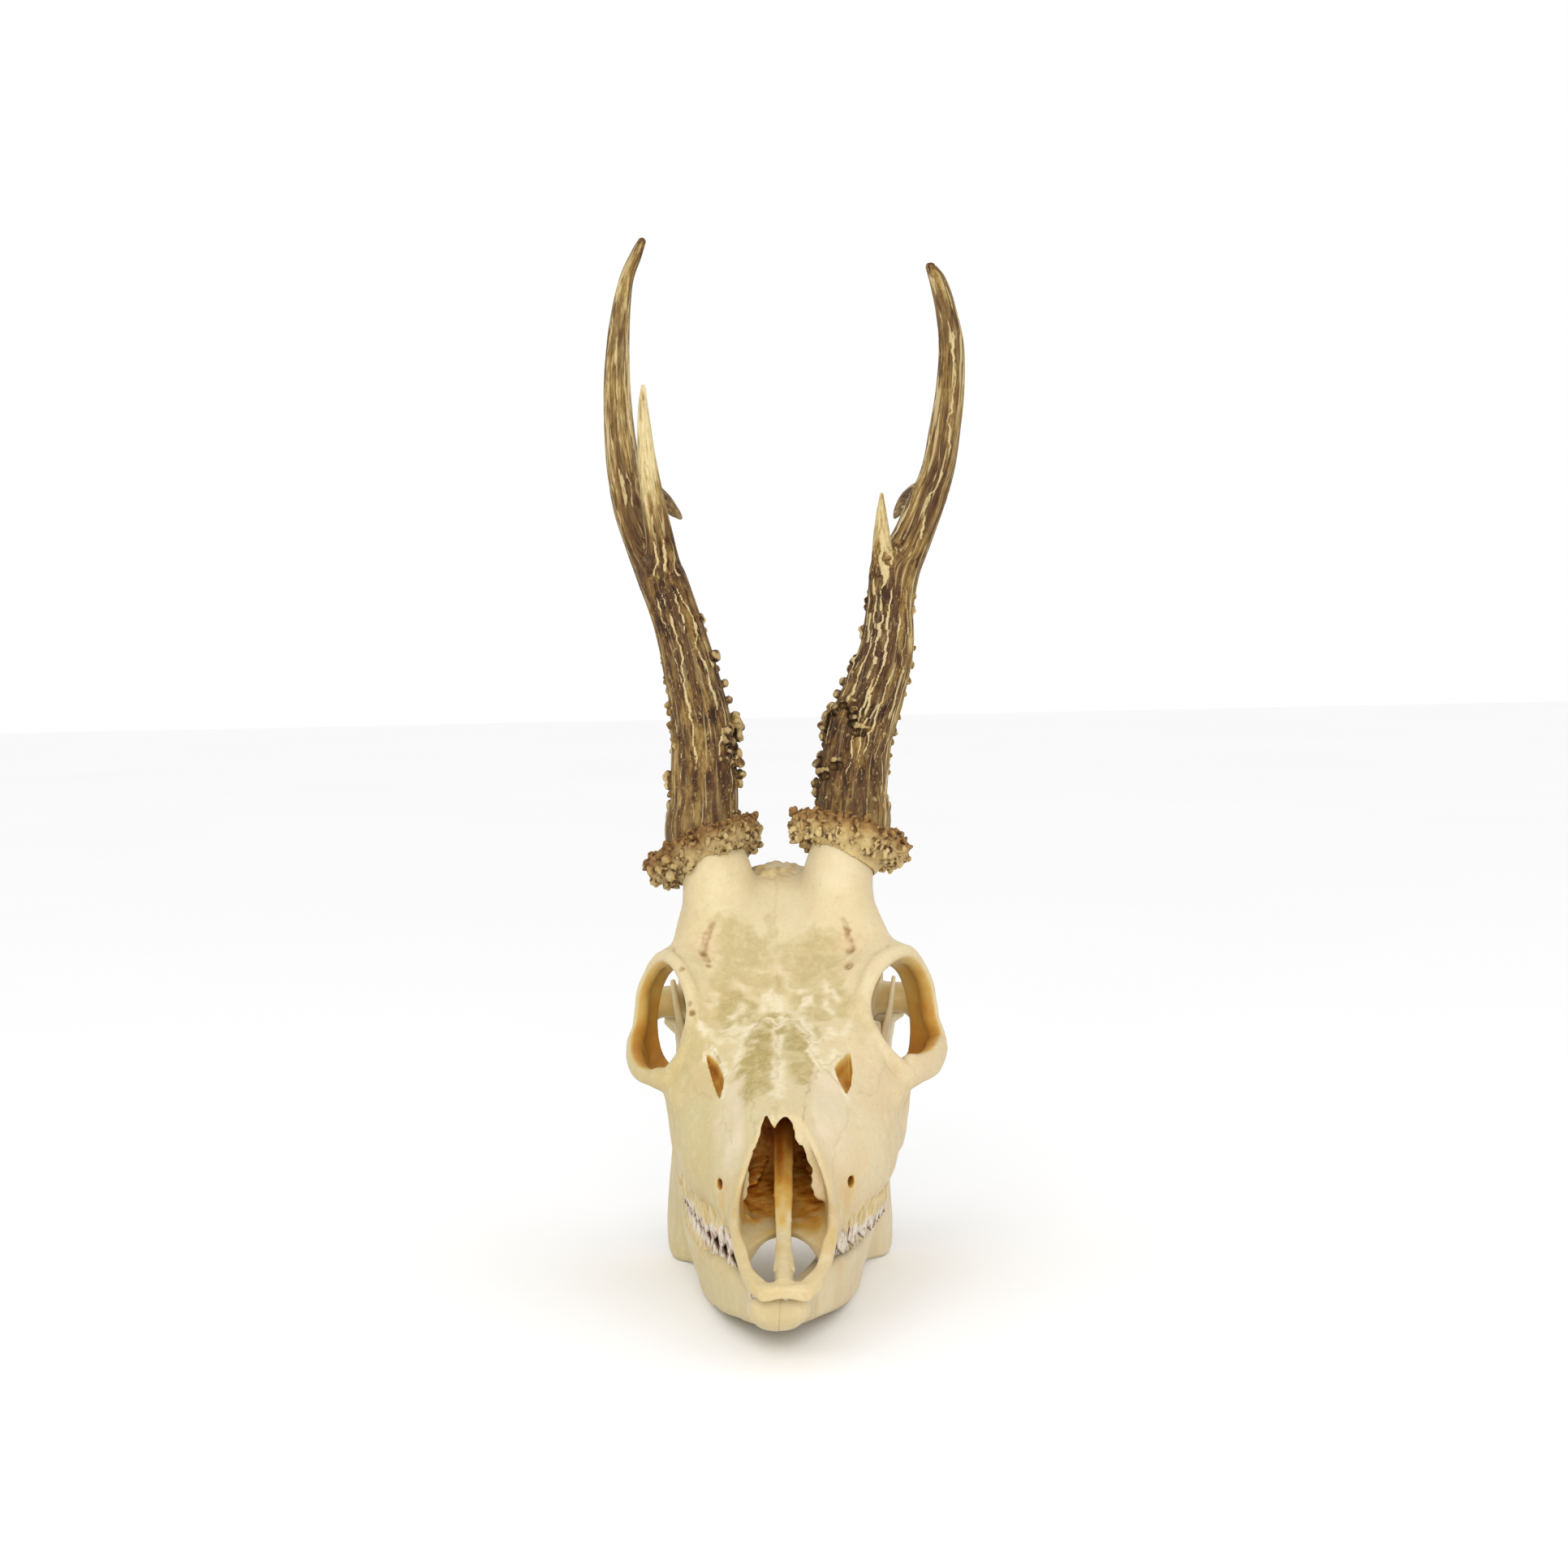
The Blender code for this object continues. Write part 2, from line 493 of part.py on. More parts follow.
def cranium(step):
    g = Grid((-2 * step, -6, -42), (50, 214, 104), step)
    lo, hi = np.array([-5, SHELL[0][0], -3.0]), np.array([38, SHELL[-1][0], 82.0])
    g.add((lo, hi, lambda X, Y, Z: loft(SHELL, X, Y, Z, step)))
    # brow and pedicles
    g.add(rod((18.0, 136, 58), (17.2, 147, 79), 11.0, 9.0), 6)
    g.add(rod((17.4, 145, 76), (20.0, 151.0, 90), 9.0, 9.2), 3)
    # back of the skull: crest
    for a, b in (((0, 203, 49), (12, 201, 46)), ((12, 201, 46), (22, 197, 39)), ((22, 197, 39), (27.5, 192, 30))):
        g.add(rod(a, b, 1.8), 4)
    g.add(ball((0, 203, 47), (5, 4, 3)), 4)
    # orbit hollow
    g.cut(ball((37.0, 117.5, 44.0), (20.5, 18.6, 16.0)), 1.2)
    g.cut(ball((30, 122, 38), (13.0, 16, 14.5)), 2)
    g.cut(ball((31, 131, 22), (12.5, 17, 17)), 2)
    C = ring(RIM, 5)
    B = ring(INNER, 5)
    out = (C[:, :3] + B[:, :3]) / 2 - np.array(EYE)
    out /= np.linalg.norm(out, axis=1)[:, None]
    for t in (1.0, 0.86, 0.72, 0.58, 0.44, 0.3, 0.16):
        hoop = C[:, :3] * (1 - t) + B[:, :3] * t + out * (B[:, 3] * math.sin(math.pi * t))[:, None]
        for a, b in zip(hoop[:-1], hoop[1:]):
            g.add(rod(a, b, 1.25 - 0.45 * t), 0.9)
    for a, b in zip(C[:-1], C[1:]):
        g.add(rod(a[:3], b[:3], a[3] * 0.86, b[3] * 0.86), 1.2)
    for a, b in (((21.4, 105, 48.6), (24.6, 117, 56.8)), ((24.6, 117, 56.8), (27.4, 128, 60.4))):
        g.add(rod(a, b, 2.3), 3)
    g.add(strap((27, 131, 61.0), (34, 128, 59.0), (0, 1, 0.2), 6, 1.8, 4, 1.8), 2)
    g.add(rod((34.5, 104.5, 29.8), (29.4, 94, 26), 2.2, 2.6), 4)
    g.add(strap((33.0, 112, 26), (28.6, 104, 10), (0, 1, 0.2), 6, 1.6, 8, 2.4), 4)
    # cheek arch
    for a, b in (((41.4, 126, 30), (42.0, 137, 29)), ((42.0, 137, 29), (41.6, 146, 31.2)), ((41.6, 146, 31.2), (39.4, 154, 36.4)), ((39.4, 154, 36.4), (35.6, 159, 39.6))):
        g.add(strap(a, b, (0, 0.1, 1), 3.4, 1.5), 1.5)
    g.add(strap((38.0, 156.0, 39.8), (27, 158.0, 39.6), (0, 1, 0.1), 5.0, 4.4, 7, 4.9), 2)
    g.cut(ball((30.8, 160.6, 33.8), (7.4, 4.4, 3.9)), 0.8)
    g.add(strap((39, 155.5, 37.6), (33, 163, 39.6), (0, 1, 0.1), 4.0, 2.0, 5, 2.4), 2)
    g.add(rod((33, 163, 39), (31.5, 180, 34), 2.0, 1.8), 3)
    # ear tube, bulla, jugular process, condyle
    g.add(rod((25, 176, 24), (33, 179.5, 29.5), 4.4, 3.2), 2)
    g.cut(rod((28, 177.5, 26.4), (38, 181, 31.5), 1.9, 2.1), 0.4)
    g.add(ball((19.5, 172, 13.5), (6.0, 8.5, 6.0)), 2)
    g.add(rod((26, 191, 22), (22.5, 193, 3), 4.0, 1.8), 2.5)
    g.add(ball((11.5, 203, 15.5), (5.8, 6.8, 7.2)), 2)
    g.add(ball((9, 198, 12.5), (5, 8, 4)), 2)
    g.cut(rod((0, 190, 22), (0, 216, 25), 7.8, 8.2), 1)
    g.add(rod((0, 165, 12), (0, 195, 11), 5.0, 6.5), 4)
    # wings beside the rear nostrils
    g.add(strap((9.5, 112, 8), (9.0, 150, 11), (0, 0, 1), 8, 1.2, 6.5, 1.0), 2)
    g.cut(rod((0, 108, 11), (0, 150, 8), 7.4, 7.0), 2)
    # nose
    g.cut((np.array([-5, 5, 0.0]), np.array([20, 92, 44.0]), nose_hollow), 0.8)
    g.cut((np.array([-5, -4, 0.0]), np.array([20, 56, 44.0]), front_cut), 0.8)
    g.add(strap((1.9, 54, 33.0), (1.9, 45.0, 30.4), (1, 0, 0), 2.0, 0.9, 1.5, 0.7), 0.8)
    g.add(strap((5.2, 56, 32.4), (4.6, 50.0, 30.6), (1, 0, 0), 2.6, 1.0, 1.6, 0.8), 1.0)
    g.cut((np.array([0, 5, -6.0]), np.array([12, 43, 12.0]), fissure), 0.6)
    # middle bar of the nose
    for a, b, wa, wb in (((0, 86, 29), (0, 74, 24.6), 2.0, 2.2), ((0, 74, 24.6), (0, 60, 18.5), 2.2, 2.0), ((0, 60, 18.5), (0, 45, 11.5), 2.0, 1.7), ((0, 45, 11.5), (0, 30, 6.2), 1.7, 1.8), ((0, 30, 6.2), (0, 15, 2.6), 1.8, 2.6), ((0, 15, 2.6), (0, 6, 0.6), 2.6, 3.2)):
        g.add(rod(a, b, wa * 0.85, wb * 0.85), 0.6)
        g.add(strap((a[0], a[1], a[2] * 0.55), (b[0], b[1], b[2] * 0.55), (0, 0, 1), max(a[2] * 0.5, 1.5), 1.0, max(b[2] * 0.5, 1.5), 1.0), 0.8)
    # hole for the nerve of the lip
    g.cut(rod((17.6, 54, 13), (14.5, 62, 13.5), 1.3), 0.4)
    # bone of the tooth sockets
    for y, L, xo, w, n in UP:
        for i in range(n):
            yy = y - L / 2 + L / n * (i + 0.5)
            g.add(ball((xo + 0.22 * (yy - y) - w / 2 + 0.25, yy, MARGIN(yy) + 4.0), (w * 0.5 + 0.45, L / n * 0.55, 4.4)), 1.2)
    teeth_up(g)
    return g


JAW = [(8.5,-8.5),(11.5,-12.4),(20,-15.8),(33,-18.4),(50,-21.8),(70,-26.4),(86,-29.6),(97,-31.2),(107,-31.9),(119,-32.1),(131,-32.9),(140,-34.6),(147,-35.4),(153.5,-33.6),(157.6,-27.5),(157.4,-17),(155.4,-4),(154.4,8),(155.6,19),(158.6,26.4),(161.9,30.9),(161.2,34.6),(158.2,35.0),(155.0,32.4),(151.2,27.2),(147.8,29.2),(147.8,35.5),(150.4,41.5),(152.9,45.6),(151.6,47.6),(148.0,45.2),(143.2,39),(138.6,31),(133.4,18),(127,4),(120,-6.4),(113.5,-11.6),(104,-12.4),(80,-11.2),(64,-9.0),(56,-7.4),(49,-7.8),(40,-8.6),(28,-7.6),(18,-5.2),(12,-3.0),(8.6,-4.4)]
JX = ease([6, 12, 20, 30, 42, 54, 65, 80, 95, 110, 125, 138, 150, 162], [2.2, 2.2, 2.2, 3.0, 7.0, 12.0, 15.2, 18.9, 21.6, 23.8, 26.4, 28.6, 30.4, 31.4])
JT = ease([6, 12, 20, 30, 42, 54, 65, 80, 95, 110, 122, 135, 150, 162], [6.0, 6.0, 5.4, 4.2, 3.9, 4.2, 4.4, 4.6, 4.8, 4.4, 2.6, 1.5, 1.2, 1.9])


def jaw_shape(step):
    P = np.array(JAW, float)
    Q = np.vstack([P[-1:], P, P[:2]])
    c = []
    for i in range(1, len(Q) - 2):
        for t in (0, 1 / 3, 2 / 3):
            a, b, cc, dd = Q[i - 1], Q[i], Q[i + 1], Q[i + 2]
            c.append(0.5 * (2 * b + (cc - a) * t + (2 * a - 5 * b + 4 * cc - dd) * t * t + (3 * b - a - 3 * cc + dd) * t ** 3))
    c = np.array(c)

    def fn(X, Y, Z):
        d2 = flat_distance(c, Y[0, :, 0][:, None], Z[0, 0, :][None, :])[None]
        chin = ease([-30, -14, -9], [1, 1, 0])(Z) * ease([0, 14, 24, 34], [1, 1, 0.8, 0])(Y)
        d2 = d2 + chin * 0.045 * np.maximum(X, 0) ** 2
        zl = ease([8, 50, 105, 147], [-14, -22, -34, -38])(Y)
        # the lower edge of the angle turns outwards, the upper part of the branch stands upright
        low = ease([-36, -28, -18, -10], [1.0, 0.8, 0.3, 0.0])(Z)
        xc = JX(Y) + low * ease([40, 55, 85, 105, 120, 135, 143, 151], [0, -2.6, -5.2, -5.6, -5.4, -3.4, 0.4, 1.6])(Y)
        xc = xc + ease([125, 145], [0, 1])(Y) * ease([0, 28, 38, 52], [0, -0.6, 1.0, 2.2])(Z)
        th = JT(Y) * ease([-40, -33, -20, -8, 0, 30, 52], [0.9, 1, 1, 0.95, 1, 0.85, 0.62])(Z)
        # stouter along the lower edge of the body
        r = np.minimum(th, 2.6)
        a = np.abs(X - xc) - th
        m = np.minimum(np.maximum(a + r, d2 + r), 0)
        return np.sqrt(np.maximum(a + r, 0) ** 2 + np.maximum(d2 + r, 0) ** 2) - r + m

    return np.array([-1, 2, -39.0]), np.array([38, 165, 53.0]), fn


def jaw(step):
    g = Grid((-2 * step, -6, -42), (50, 214, 104), step)
    g.add(jaw_shape(step))
    g.add(ball((30.2, 159.8, 34.0), (5.6, 2.8, 2.3)), 1.2)
    g.add(rod((30.6, 159.4, 31), (30.6, 160, 18), 1.7, 1.4), 1.5)
    # front teeth
    for i, (x, y, a) in enumerate(((1.9, 8.8, 0), (4.7, 9.4, 12), (6.9, 11.0, 28), (8.3, 13.2, 42))):
        s = math.sin(math.radians(a)); c = math.cos(math.radians(a))
        g.add(strap((x * 0.9, y + 3.5, -6.5), (x, y, -1.6 + 0.25 * i), (c, s, 0), 1.5, 1.6, 1.75 - 0.12 * i, 0.9), 0.8)
    teeth_low(g)
    # the two halves stay apart at the chin
    g.d = np.maximum(g.d, F(HALVES_GAP) - g.axes[0][:, None, None])
    return g


def mirror(d, axes, step, sign=0):
    k0 = int(round(-axes[0][0] / step))
    half = d[k0:]
    full = np.concatenate([half[:0:-1], half], 0)
    lo = (-(half.shape[0] - 1) * step, axes[1][0], axes[2][0])
    return full, lo


def seal(f):
    f[0] = f[-1] = 5; f[:, 0] = f[:, -1] = 5; f[:, :, 0] = f[:, :, -1] = 5
    return f


SEAT = {1: ((20.2, 150.2, 86.0), (0.27, 0.36, 0.89)), -1: ((-20.8, 150.2, 85.4), (-0.37, 0.36, 0.86))}
BURR = {1: (0.2, -0.4, -0.8), -1: (1.3, -0.4, -2.2)}    # how far each collar sits off its seat
ANT = {
 -1: dict(
  beam=[(-21.4,151.5,88,9.6),(-21.1,157,104,9.7),(-21.5,163.4,119.3,9.0),(-24.0,169,132.8,8.1),(-28.1,176.2,149.0,7.1),(-33.4,182.7,163.5,6.8),(-38.8,189.5,174.5,5.7),(-42.5,196.0,184.8,5.2),(-44.6,204.0,197.0,4.9),(-46.0,212.5,209.5,4.4),(-46.4,220.0,222.8,3.9),(-45.4,228.2,238.6,3.1),(-43.4,232.8,250.4,2.3),(-40.4,235.2,257.8,1.9),(-38.4,236.0,262.0,1.2)],
  front=[(-31.4,181.5,158.0,5.4),(-32.3,178.0,170.0,4.5),(-34.4,174.6,185.0,3.6),(-36.0,172.2,200.0,2.6),(-36.5,171.0,212.0,1.7),(-36.3,170.6,219.6,0.7)],
  rear=[(-41.8,198.0,184.5,4.0),(-37.0,207.5,186.2,3.1),(-33.4,217.0,183.6,2.5),(-30.4,226.0,179.4,1.8),(-28.6,232.6,176.8,0.7)],
 ),
 1: dict(
  beam=[(21.4,151.5,88,9.8),(22.4,157,103,9.9),(24.8,162.6,117.3,9.6),(29.2,167.5,129.0,9.0),(33.2,172.6,141.0,7.9),(34.6,177.8,152.4,6.9),(36.8,182.6,163.5,6.9),(41.6,187.4,172.2,5.9),(46.5,194.2,182.4,5.5),(50.6,200.8,192.2,4.9),(53.0,208.0,203.0,4.7),(55.3,216.6,216.4,4.3),(56.1,223.4,228.6,3.9),(55.0,228.2,238.4,3.3),(52.8,231.7,247.4,2.8),(50.6,233.4,252.2,1.6)],
  front=[(34.2,181.0,156.5,5.0),(32.9,179.0,164.0,3.6),(32.5,177.2,172.5,2.8),(32.5,175.8,179.5,1.8),(32.6,174.4,186.6,0.6)],
  rear=[(47.4,199.0,183.5,4.0),(45.0,208.0,184.8,3.1),(42.0,217.0,182.4,2.5),(39.6,226.0,178.4,1.8),(38.4,232.6,175.6,0.7)],
 ),
}


def antler(step, s):
    A = ANT[s]
    lo = (-62, 128, 70) if s < 0 else (-4, 128, 70)
    hi = (4, 244, 268) if s < 0 else (66, 244, 268)
    g = Grid(lo, hi, step)
    for nm in ("beam", "front", "rear"):
        one = g if nm == "beam" else Grid(lo, hi, step)
        C = curve(A[nm], 4)
        for a, b in zip(C[:-1], C[1:]):
            one.add(rod(a[:3], b[:3], max(a[3], 0.4), max(b[3], 0.4)))
        if one is not g:
            g.d = smin(g.d, one.d, 2.4)
    # the burr: a knobbly collar
    c, n = np.array(SEAT[s][0]), np.array(SEAT[s][1])
    n = n / np.linalg.norm(n)
    u = np.cross(n, (0, 1, 0)); u /= np.linalg.norm(u)
    w = np.cross(n, u)
    c = c + n * 3.0 + np.array(BURR[s])
    N = 26
    for i in range(N):
        a = 2 * math.pi * i / N
        rr = 12.2 + 0.8 * math.sin(3 * a + 1) + 0.6 * math.sin(7 * a)
        p = c + u * rr * 1.08 * math.cos(a) + w * rr * 0.94 * math.sin(a) + n * (0.6 * math.sin(5 * a))
        g.add(ball(p, 4.5 + 0.6 * math.sin(11 * a)), 1.2)
    g.add(rod(c - n * 1.5, c + n * 2, 11.5, 10.5), 2)
    return g


def along_x(f, x0, step, src):
    """The field f, sampled at the places src (an array as wide as f's x axis, or broadcast over y)."""
    i = (src - x0) / step
    i = np.clip(i, 0, f.shape[0] - 1.001)
    k = np.floor(i).astype(int)
    t = (i - k).astype(F)
    if i.ndim == 1:
        return f[k] * (1 - t)[:, None, None] + f[k + 1] * t[:, None, None]
    j = np.arange(f.shape[1])[None, :]
    return f[k, j] * (1 - t)[..., None] + f[k + 1, j] * t[..., None]


def along_z(f, x0, step, src):
    """The field f, sampled at the places src, which differ by height."""
    return along_x(f.transpose(0, 2, 1), x0, step, src).transpose(0, 2, 1)


LEAN = 1.4  # the face stands a little to the animal's left of the brain case
def lean(x, y):
    far = ease([0, 26], [0.15, 1])(np.abs(x))
    eyes = ease([0, 24, 34], [0.1, -0.4, 1])(np.abs(x))
    k = ease([92, 101], [0, 1])(y)
    return LEAN * (far * (1 - k) + eyes * k) * ease([40, 70, 130, 146], [0.3, 1, 1, 0])(y)


SHIFT = ease([-12, 30], [-1.6, 0.8])  # the lower jaw is tipped: its x offset at each height


def plane(X, Y, Z, c, n):
    n = np.array(n, float) / np.linalg.norm(n)
    return (X - F(c[0])) * F(n[0]) + (Y - F(c[1])) * F(n[1]) + (Z - F(c[2])) * F(n[2])


def net(f, lo, step):
    return biggest(*nets(shrink_runs(seal(f)), lo, step))


def read_at(field, lo, step, places):
    """The field, read on another grid whose axes are given."""
    for ax, p in enumerate(places):
        if p is None:
            continue
        f = np.clip((p - lo[ax]) / step, 0, field.shape[ax] - 1.001)
        k = f.astype(int)
        t = (f - k).astype(F).reshape([-1 if i == ax else 1 for i in range(3)])
        field = np.take(field, k, ax) * (1 - t) + np.take(field, k + 1, ax) * t
    return field


def make_heads():
    """Cranium and both halves of the lower jaw."""
    step = STEP["cranium"]
    g = cranium(step)
    full, lo = mirror(g.d, g.axes, step)
    x = lo[0] + step * np.arange(full.shape[0])
    full = along_x(full, lo[0], step, x[:, None] - lean(x[:, None], g.axes[1][None, :]))
    X, Y, Z = x[:, None, None].astype(F), g.axes[1][None, :, None], g.axes[2][None, None, :]
    for s in (-1, 1):
        top = plane(X, Y, Z, *SEAT[s])
        full = np.maximum(full, np.where((Z > 66) & (X * s > 0), top, F(-50)))
    full = slits(full, lo, step)
    yield "cranium", net(full.copy(), lo, step), "cranium"
    fine = STEP["jaw"]
    for s, name in ((-1, "mandible_right"), (1, "mandible_left")):
        j = jaw(fine)
        jx, jy, jz = j.axes
        head = read_at(full if s > 0 else full[::-1], lo, step, (None, jy, jz))
        d = np.maximum(j.d, F(JOINT_GAP) - along_z(head, lo[0], step, jx[:, None] + s * SHIFT(jz)[None, :]))
        a = math.radians(NOD)
        d = np.maximum(d, F(FLOOR) - (jz[None, None, :] * F(math.cos(a)) + jy[None, :, None] * F(math.sin(a))))
        v, q = net(d, [k[0] for k in j.axes], fine)
        v[:, 0] += s * SHIFT(v[:, 2])
        if s < 0:
            v, q = v * [-1, 1, 1], q[:, ::-1]
        yield name, (v, q), "mandible"
    for s in (1, -1):
        yield from make_antler(s, (full, lo, step))


def make_antler(s, head):
    """One antler, parted above the burr and at its two forks."""
    step = STEP["antler"]
    g = antler(step, s)
    X, Y, Z = [a.reshape([-1 if i == k else 1 for k in range(3)]) for i, a in enumerate(g.axes)]
    seat = plane(X, Y, Z, *SEAT[s])
    A = ANT[s]

    def unit(a, b):
        v = np.array(b[:3], float) - np.array(a[:3], float)
        return v / np.linalg.norm(v)

    B = A["beam"]
    f1, f2 = np.array(B[5 if s < 0 else 6][:3]), np.array(B[7 if s < 0 else 8][:3])
    one = [unit(f1, B[4 if s < 0 else 5]), unit(f1, A["front"][2]), unit(f1, B[7 if s < 0 else 8])]
    two = [unit(f2, B[6 if s < 0 else 7]), unit(f2, A["rear"][2]), unit(f2, B[8 if s < 0 else 9])]

    def wedge(f, dirs, i):
        out = -50.0
        for j in range(3):
            if j != i:
                out = np.maximum(out, F(PART_GAP / 2) - plane(X, Y, Z, f, dirs[i] - dirs[j]))
        return out

    low = np.maximum(g.d, F(PART_GAP + 0.3) - read_at(*head, g.axes))
    parts = {
        "burr": [seat - F(BURR_HEIGHT), F(-7.5) - seat],
        "beam_lower": [F(BURR_HEIGHT + PART_GAP) - seat, wedge(f1, one, 0)],
        "tine_front": [wedge(f1, one, 1)],
        "beam_middle": [wedge(f1, one, 2), wedge(f2, two, 0)],
        "tine_rear": [wedge(f1, one, 2), wedge(f2, two, 1)],
        "beam_upper": [wedge(f1, one, 2), wedge(f2, two, 2)],
    }
    side = "left" if s > 0 else "right"
    for part, limits in parts.items():
        d = low.copy()
        for limit in limits:
            d = np.maximum(d, limit)
        yield "antler_%s_%s" % (side, part), net(d, [a[0] for a in g.axes], step), part


# ---- the objects ----


def finish(name, rgb, rough):
    m = bpy.data.materials.new(name)
    m.use_nodes = True
    b = m.node_tree.nodes["Principled BSDF"]
    b.inputs["Base Color"].default_value = (*rgb, 1)
    b.inputs["Roughness"].default_value = rough
    b.inputs["Metallic"].default_value = 0.0
    return m


LOOKS = {
    "cranium": ((0.80, 0.69, 0.46), 0.55), "mandible": ((0.82, 0.71, 0.48), 0.5), "burr": ((0.47, 0.34, 0.18), 0.8),
    "beam_lower": ((0.16, 0.10, 0.05), 0.7), "tine_front": ((0.62, 0.49, 0.25), 0.4), "beam_middle": ((0.30, 0.21, 0.11), 0.6),
    "tine_rear": ((0.50, 0.40, 0.22), 0.5), "beam_upper": ((0.38, 0.28, 0.14), 0.55),
}


def settle(v):
    """From the skull's frame in millimetres to the resting pose in metres."""
    a = math.radians(NOD)
    y = v[:, 1] * math.cos(a) - v[:, 2] * math.sin(a) - CENTRE[1]
    z = v[:, 2] * math.cos(a) + v[:, 1] * math.sin(a) - FLOOR + LIFT
    return np.stack([v[:, 0] - CENTRE[0], y, z], 1) / 1000


def build(name, mesh, kind):
    v, q = mesh
    me = bpy.data.meshes.new(name)
    me.from_pydata(settle(v).tolist(), [], q.tolist())
    me.update()
    ob = bpy.data.objects.new(name, me)
    bpy.context.scene.collection.objects.link(ob)
    me.materials.append(finish(name, *LOOKS[kind]))
    thin = ob.modifiers.new("thin", "DECIMATE")
    thin.decimate_type = "COLLAPSE"
    thin.use_collapse_triangulate = True
    thin.ratio = min(1.0, TRIANGLES[kind] / (2 * len(q)))
    me.shade_smooth()
    me.set_sharp_from_angle(angle=math.radians(50))
    return ob


def main():
    for o in list(bpy.data.objects):
        bpy.data.objects.remove(o, do_unlink=True)
    for name, mesh, kind in make_heads():
        build(name, mesh, kind)


main()
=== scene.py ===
"""The looks of a roe deer buck's skull with its lower jaw and antlers, in the photo's pose.

Bones, teeth and antlers are shaped as signed distance fields in the skull's own frame: millimetres, x towards the
animal's left, y back from the tip of the upper jaw, z up from the palate. Marks (seams, stains, ridges, pearls) are
worked out for each corner of the finished meshes and mixed in the finishes.
"""
import math
import time

import bpy
import numpy as np
from mathutils import Matrix, Vector


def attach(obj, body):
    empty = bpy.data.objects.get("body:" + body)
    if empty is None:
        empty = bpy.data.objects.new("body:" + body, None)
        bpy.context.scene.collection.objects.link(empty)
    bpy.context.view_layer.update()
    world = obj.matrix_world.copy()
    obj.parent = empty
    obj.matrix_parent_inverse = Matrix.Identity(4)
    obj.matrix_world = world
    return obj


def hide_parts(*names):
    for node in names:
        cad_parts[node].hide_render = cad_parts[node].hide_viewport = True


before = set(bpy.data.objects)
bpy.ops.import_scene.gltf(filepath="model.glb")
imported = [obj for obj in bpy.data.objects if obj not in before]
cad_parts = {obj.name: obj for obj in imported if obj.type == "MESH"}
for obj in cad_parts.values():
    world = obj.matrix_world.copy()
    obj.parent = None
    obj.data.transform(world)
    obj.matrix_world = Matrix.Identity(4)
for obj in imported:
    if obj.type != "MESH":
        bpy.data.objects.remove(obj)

F = np.float32
STEP = {"cranium": 0.5, "jaw": 0.55, "teeth": 0.25, "antler": 0.38, "burr": 0.3}
REACH = 2.6               # how far past each added shape its distances stay true, millimetres
NOD = 5.5                 # how far the muzzle dips when the skull lies on its lower jaw, degrees
FLOOR = -21.12            # height of the resting flats once the skull is turned
LIFT = 0.09               # brings the lowest corners to the floor
CENTRE = (4.81, 108.46)   # middle of the model's box, x and y
WORLD, KEY, FILL, FRONT = 1.0, 3.0, 1.0, 2.6


# ---- distance fields ----


def smin(a, b, k):
    if k <= 0:
        return np.minimum(a, b)
    h = np.clip(0.5 + 0.5 * (b - a) / k, 0, 1)
    return b + (a - b) * h - k * h * (1 - h)


class Grid:
    """A block of space sampled every `step` mm, holding a signed distance: negative inside."""

    def __init__(self, lo, hi, step):
        self.step = step
        self.axes = [np.arange(a, b + step, step, dtype=F) for a, b in zip(lo, hi)]
        self.d = np.full([len(a) for a in self.axes], 40.0, F)

    def window(self, lo, hi):
        s = []
        for a, l, h in zip(self.axes, lo, hi):
            i = max(0, int((l - a[0]) / self.step) - 1)
            j = min(len(a), int((h - a[0]) / self.step) + 3)
            s.append(slice(i, max(i, j)))
        s = tuple(s)
        X = self.axes[0][s[0]][:, None, None]
        Y = self.axes[1][s[1]][None, :, None]
        Z = self.axes[2][s[2]][None, None, :]
        return s, X, Y, Z

    def add(self, shape, k=0.0):
        lo, hi, fn = shape
        m = k + max(2.5 * self.step, REACH)
        s, X, Y, Z = self.window([v - m for v in lo], [v + m for v in hi])
        if self.d[s].size:
            self.d[s] = smin(self.d[s], fn(X, Y, Z).astype(F), k)

    def cut(self, shape, k=0.0):
        lo, hi, fn = shape
        m = k + max(2.5 * self.step, REACH)
        s, X, Y, Z = self.window([v - m for v in lo], [v + m for v in hi])
        if self.d[s].size:
            self.d[s] = -smin(-self.d[s], fn(X, Y, Z).astype(F), k)


def ball(c, r, turn=None):
    """An ellipsoid: centre, half sizes, and an optional 3x3 turn whose rows are its own axes."""
    c = np.array(c, float)
    r = np.array([r] * 3 if np.isscalar(r) else r, float)
    M = np.eye(3) if turn is None else np.array(turn, float)
    ext = np.sqrt(((M * r[:, None]) ** 2).sum(0))

    def fn(X, Y, Z):
        p = [X - F(c[0]), Y - F(c[1]), Z - F(c[2])]
        a = 0
        b = 0
        for i in range(3):
            q = (p[0] * F(M[i, 0]) + p[1] * F(M[i, 1]) + p[2] * F(M[i, 2])) if turn is not None else p[i]
            q = q / F(r[i])
            a = a + q * q
            q = q / F(r[i])
            b = b + q * q
        a = np.sqrt(a)
        return a * (a - 1) / np.sqrt(b + F(1e-9))

    return c - ext, c + ext, fn


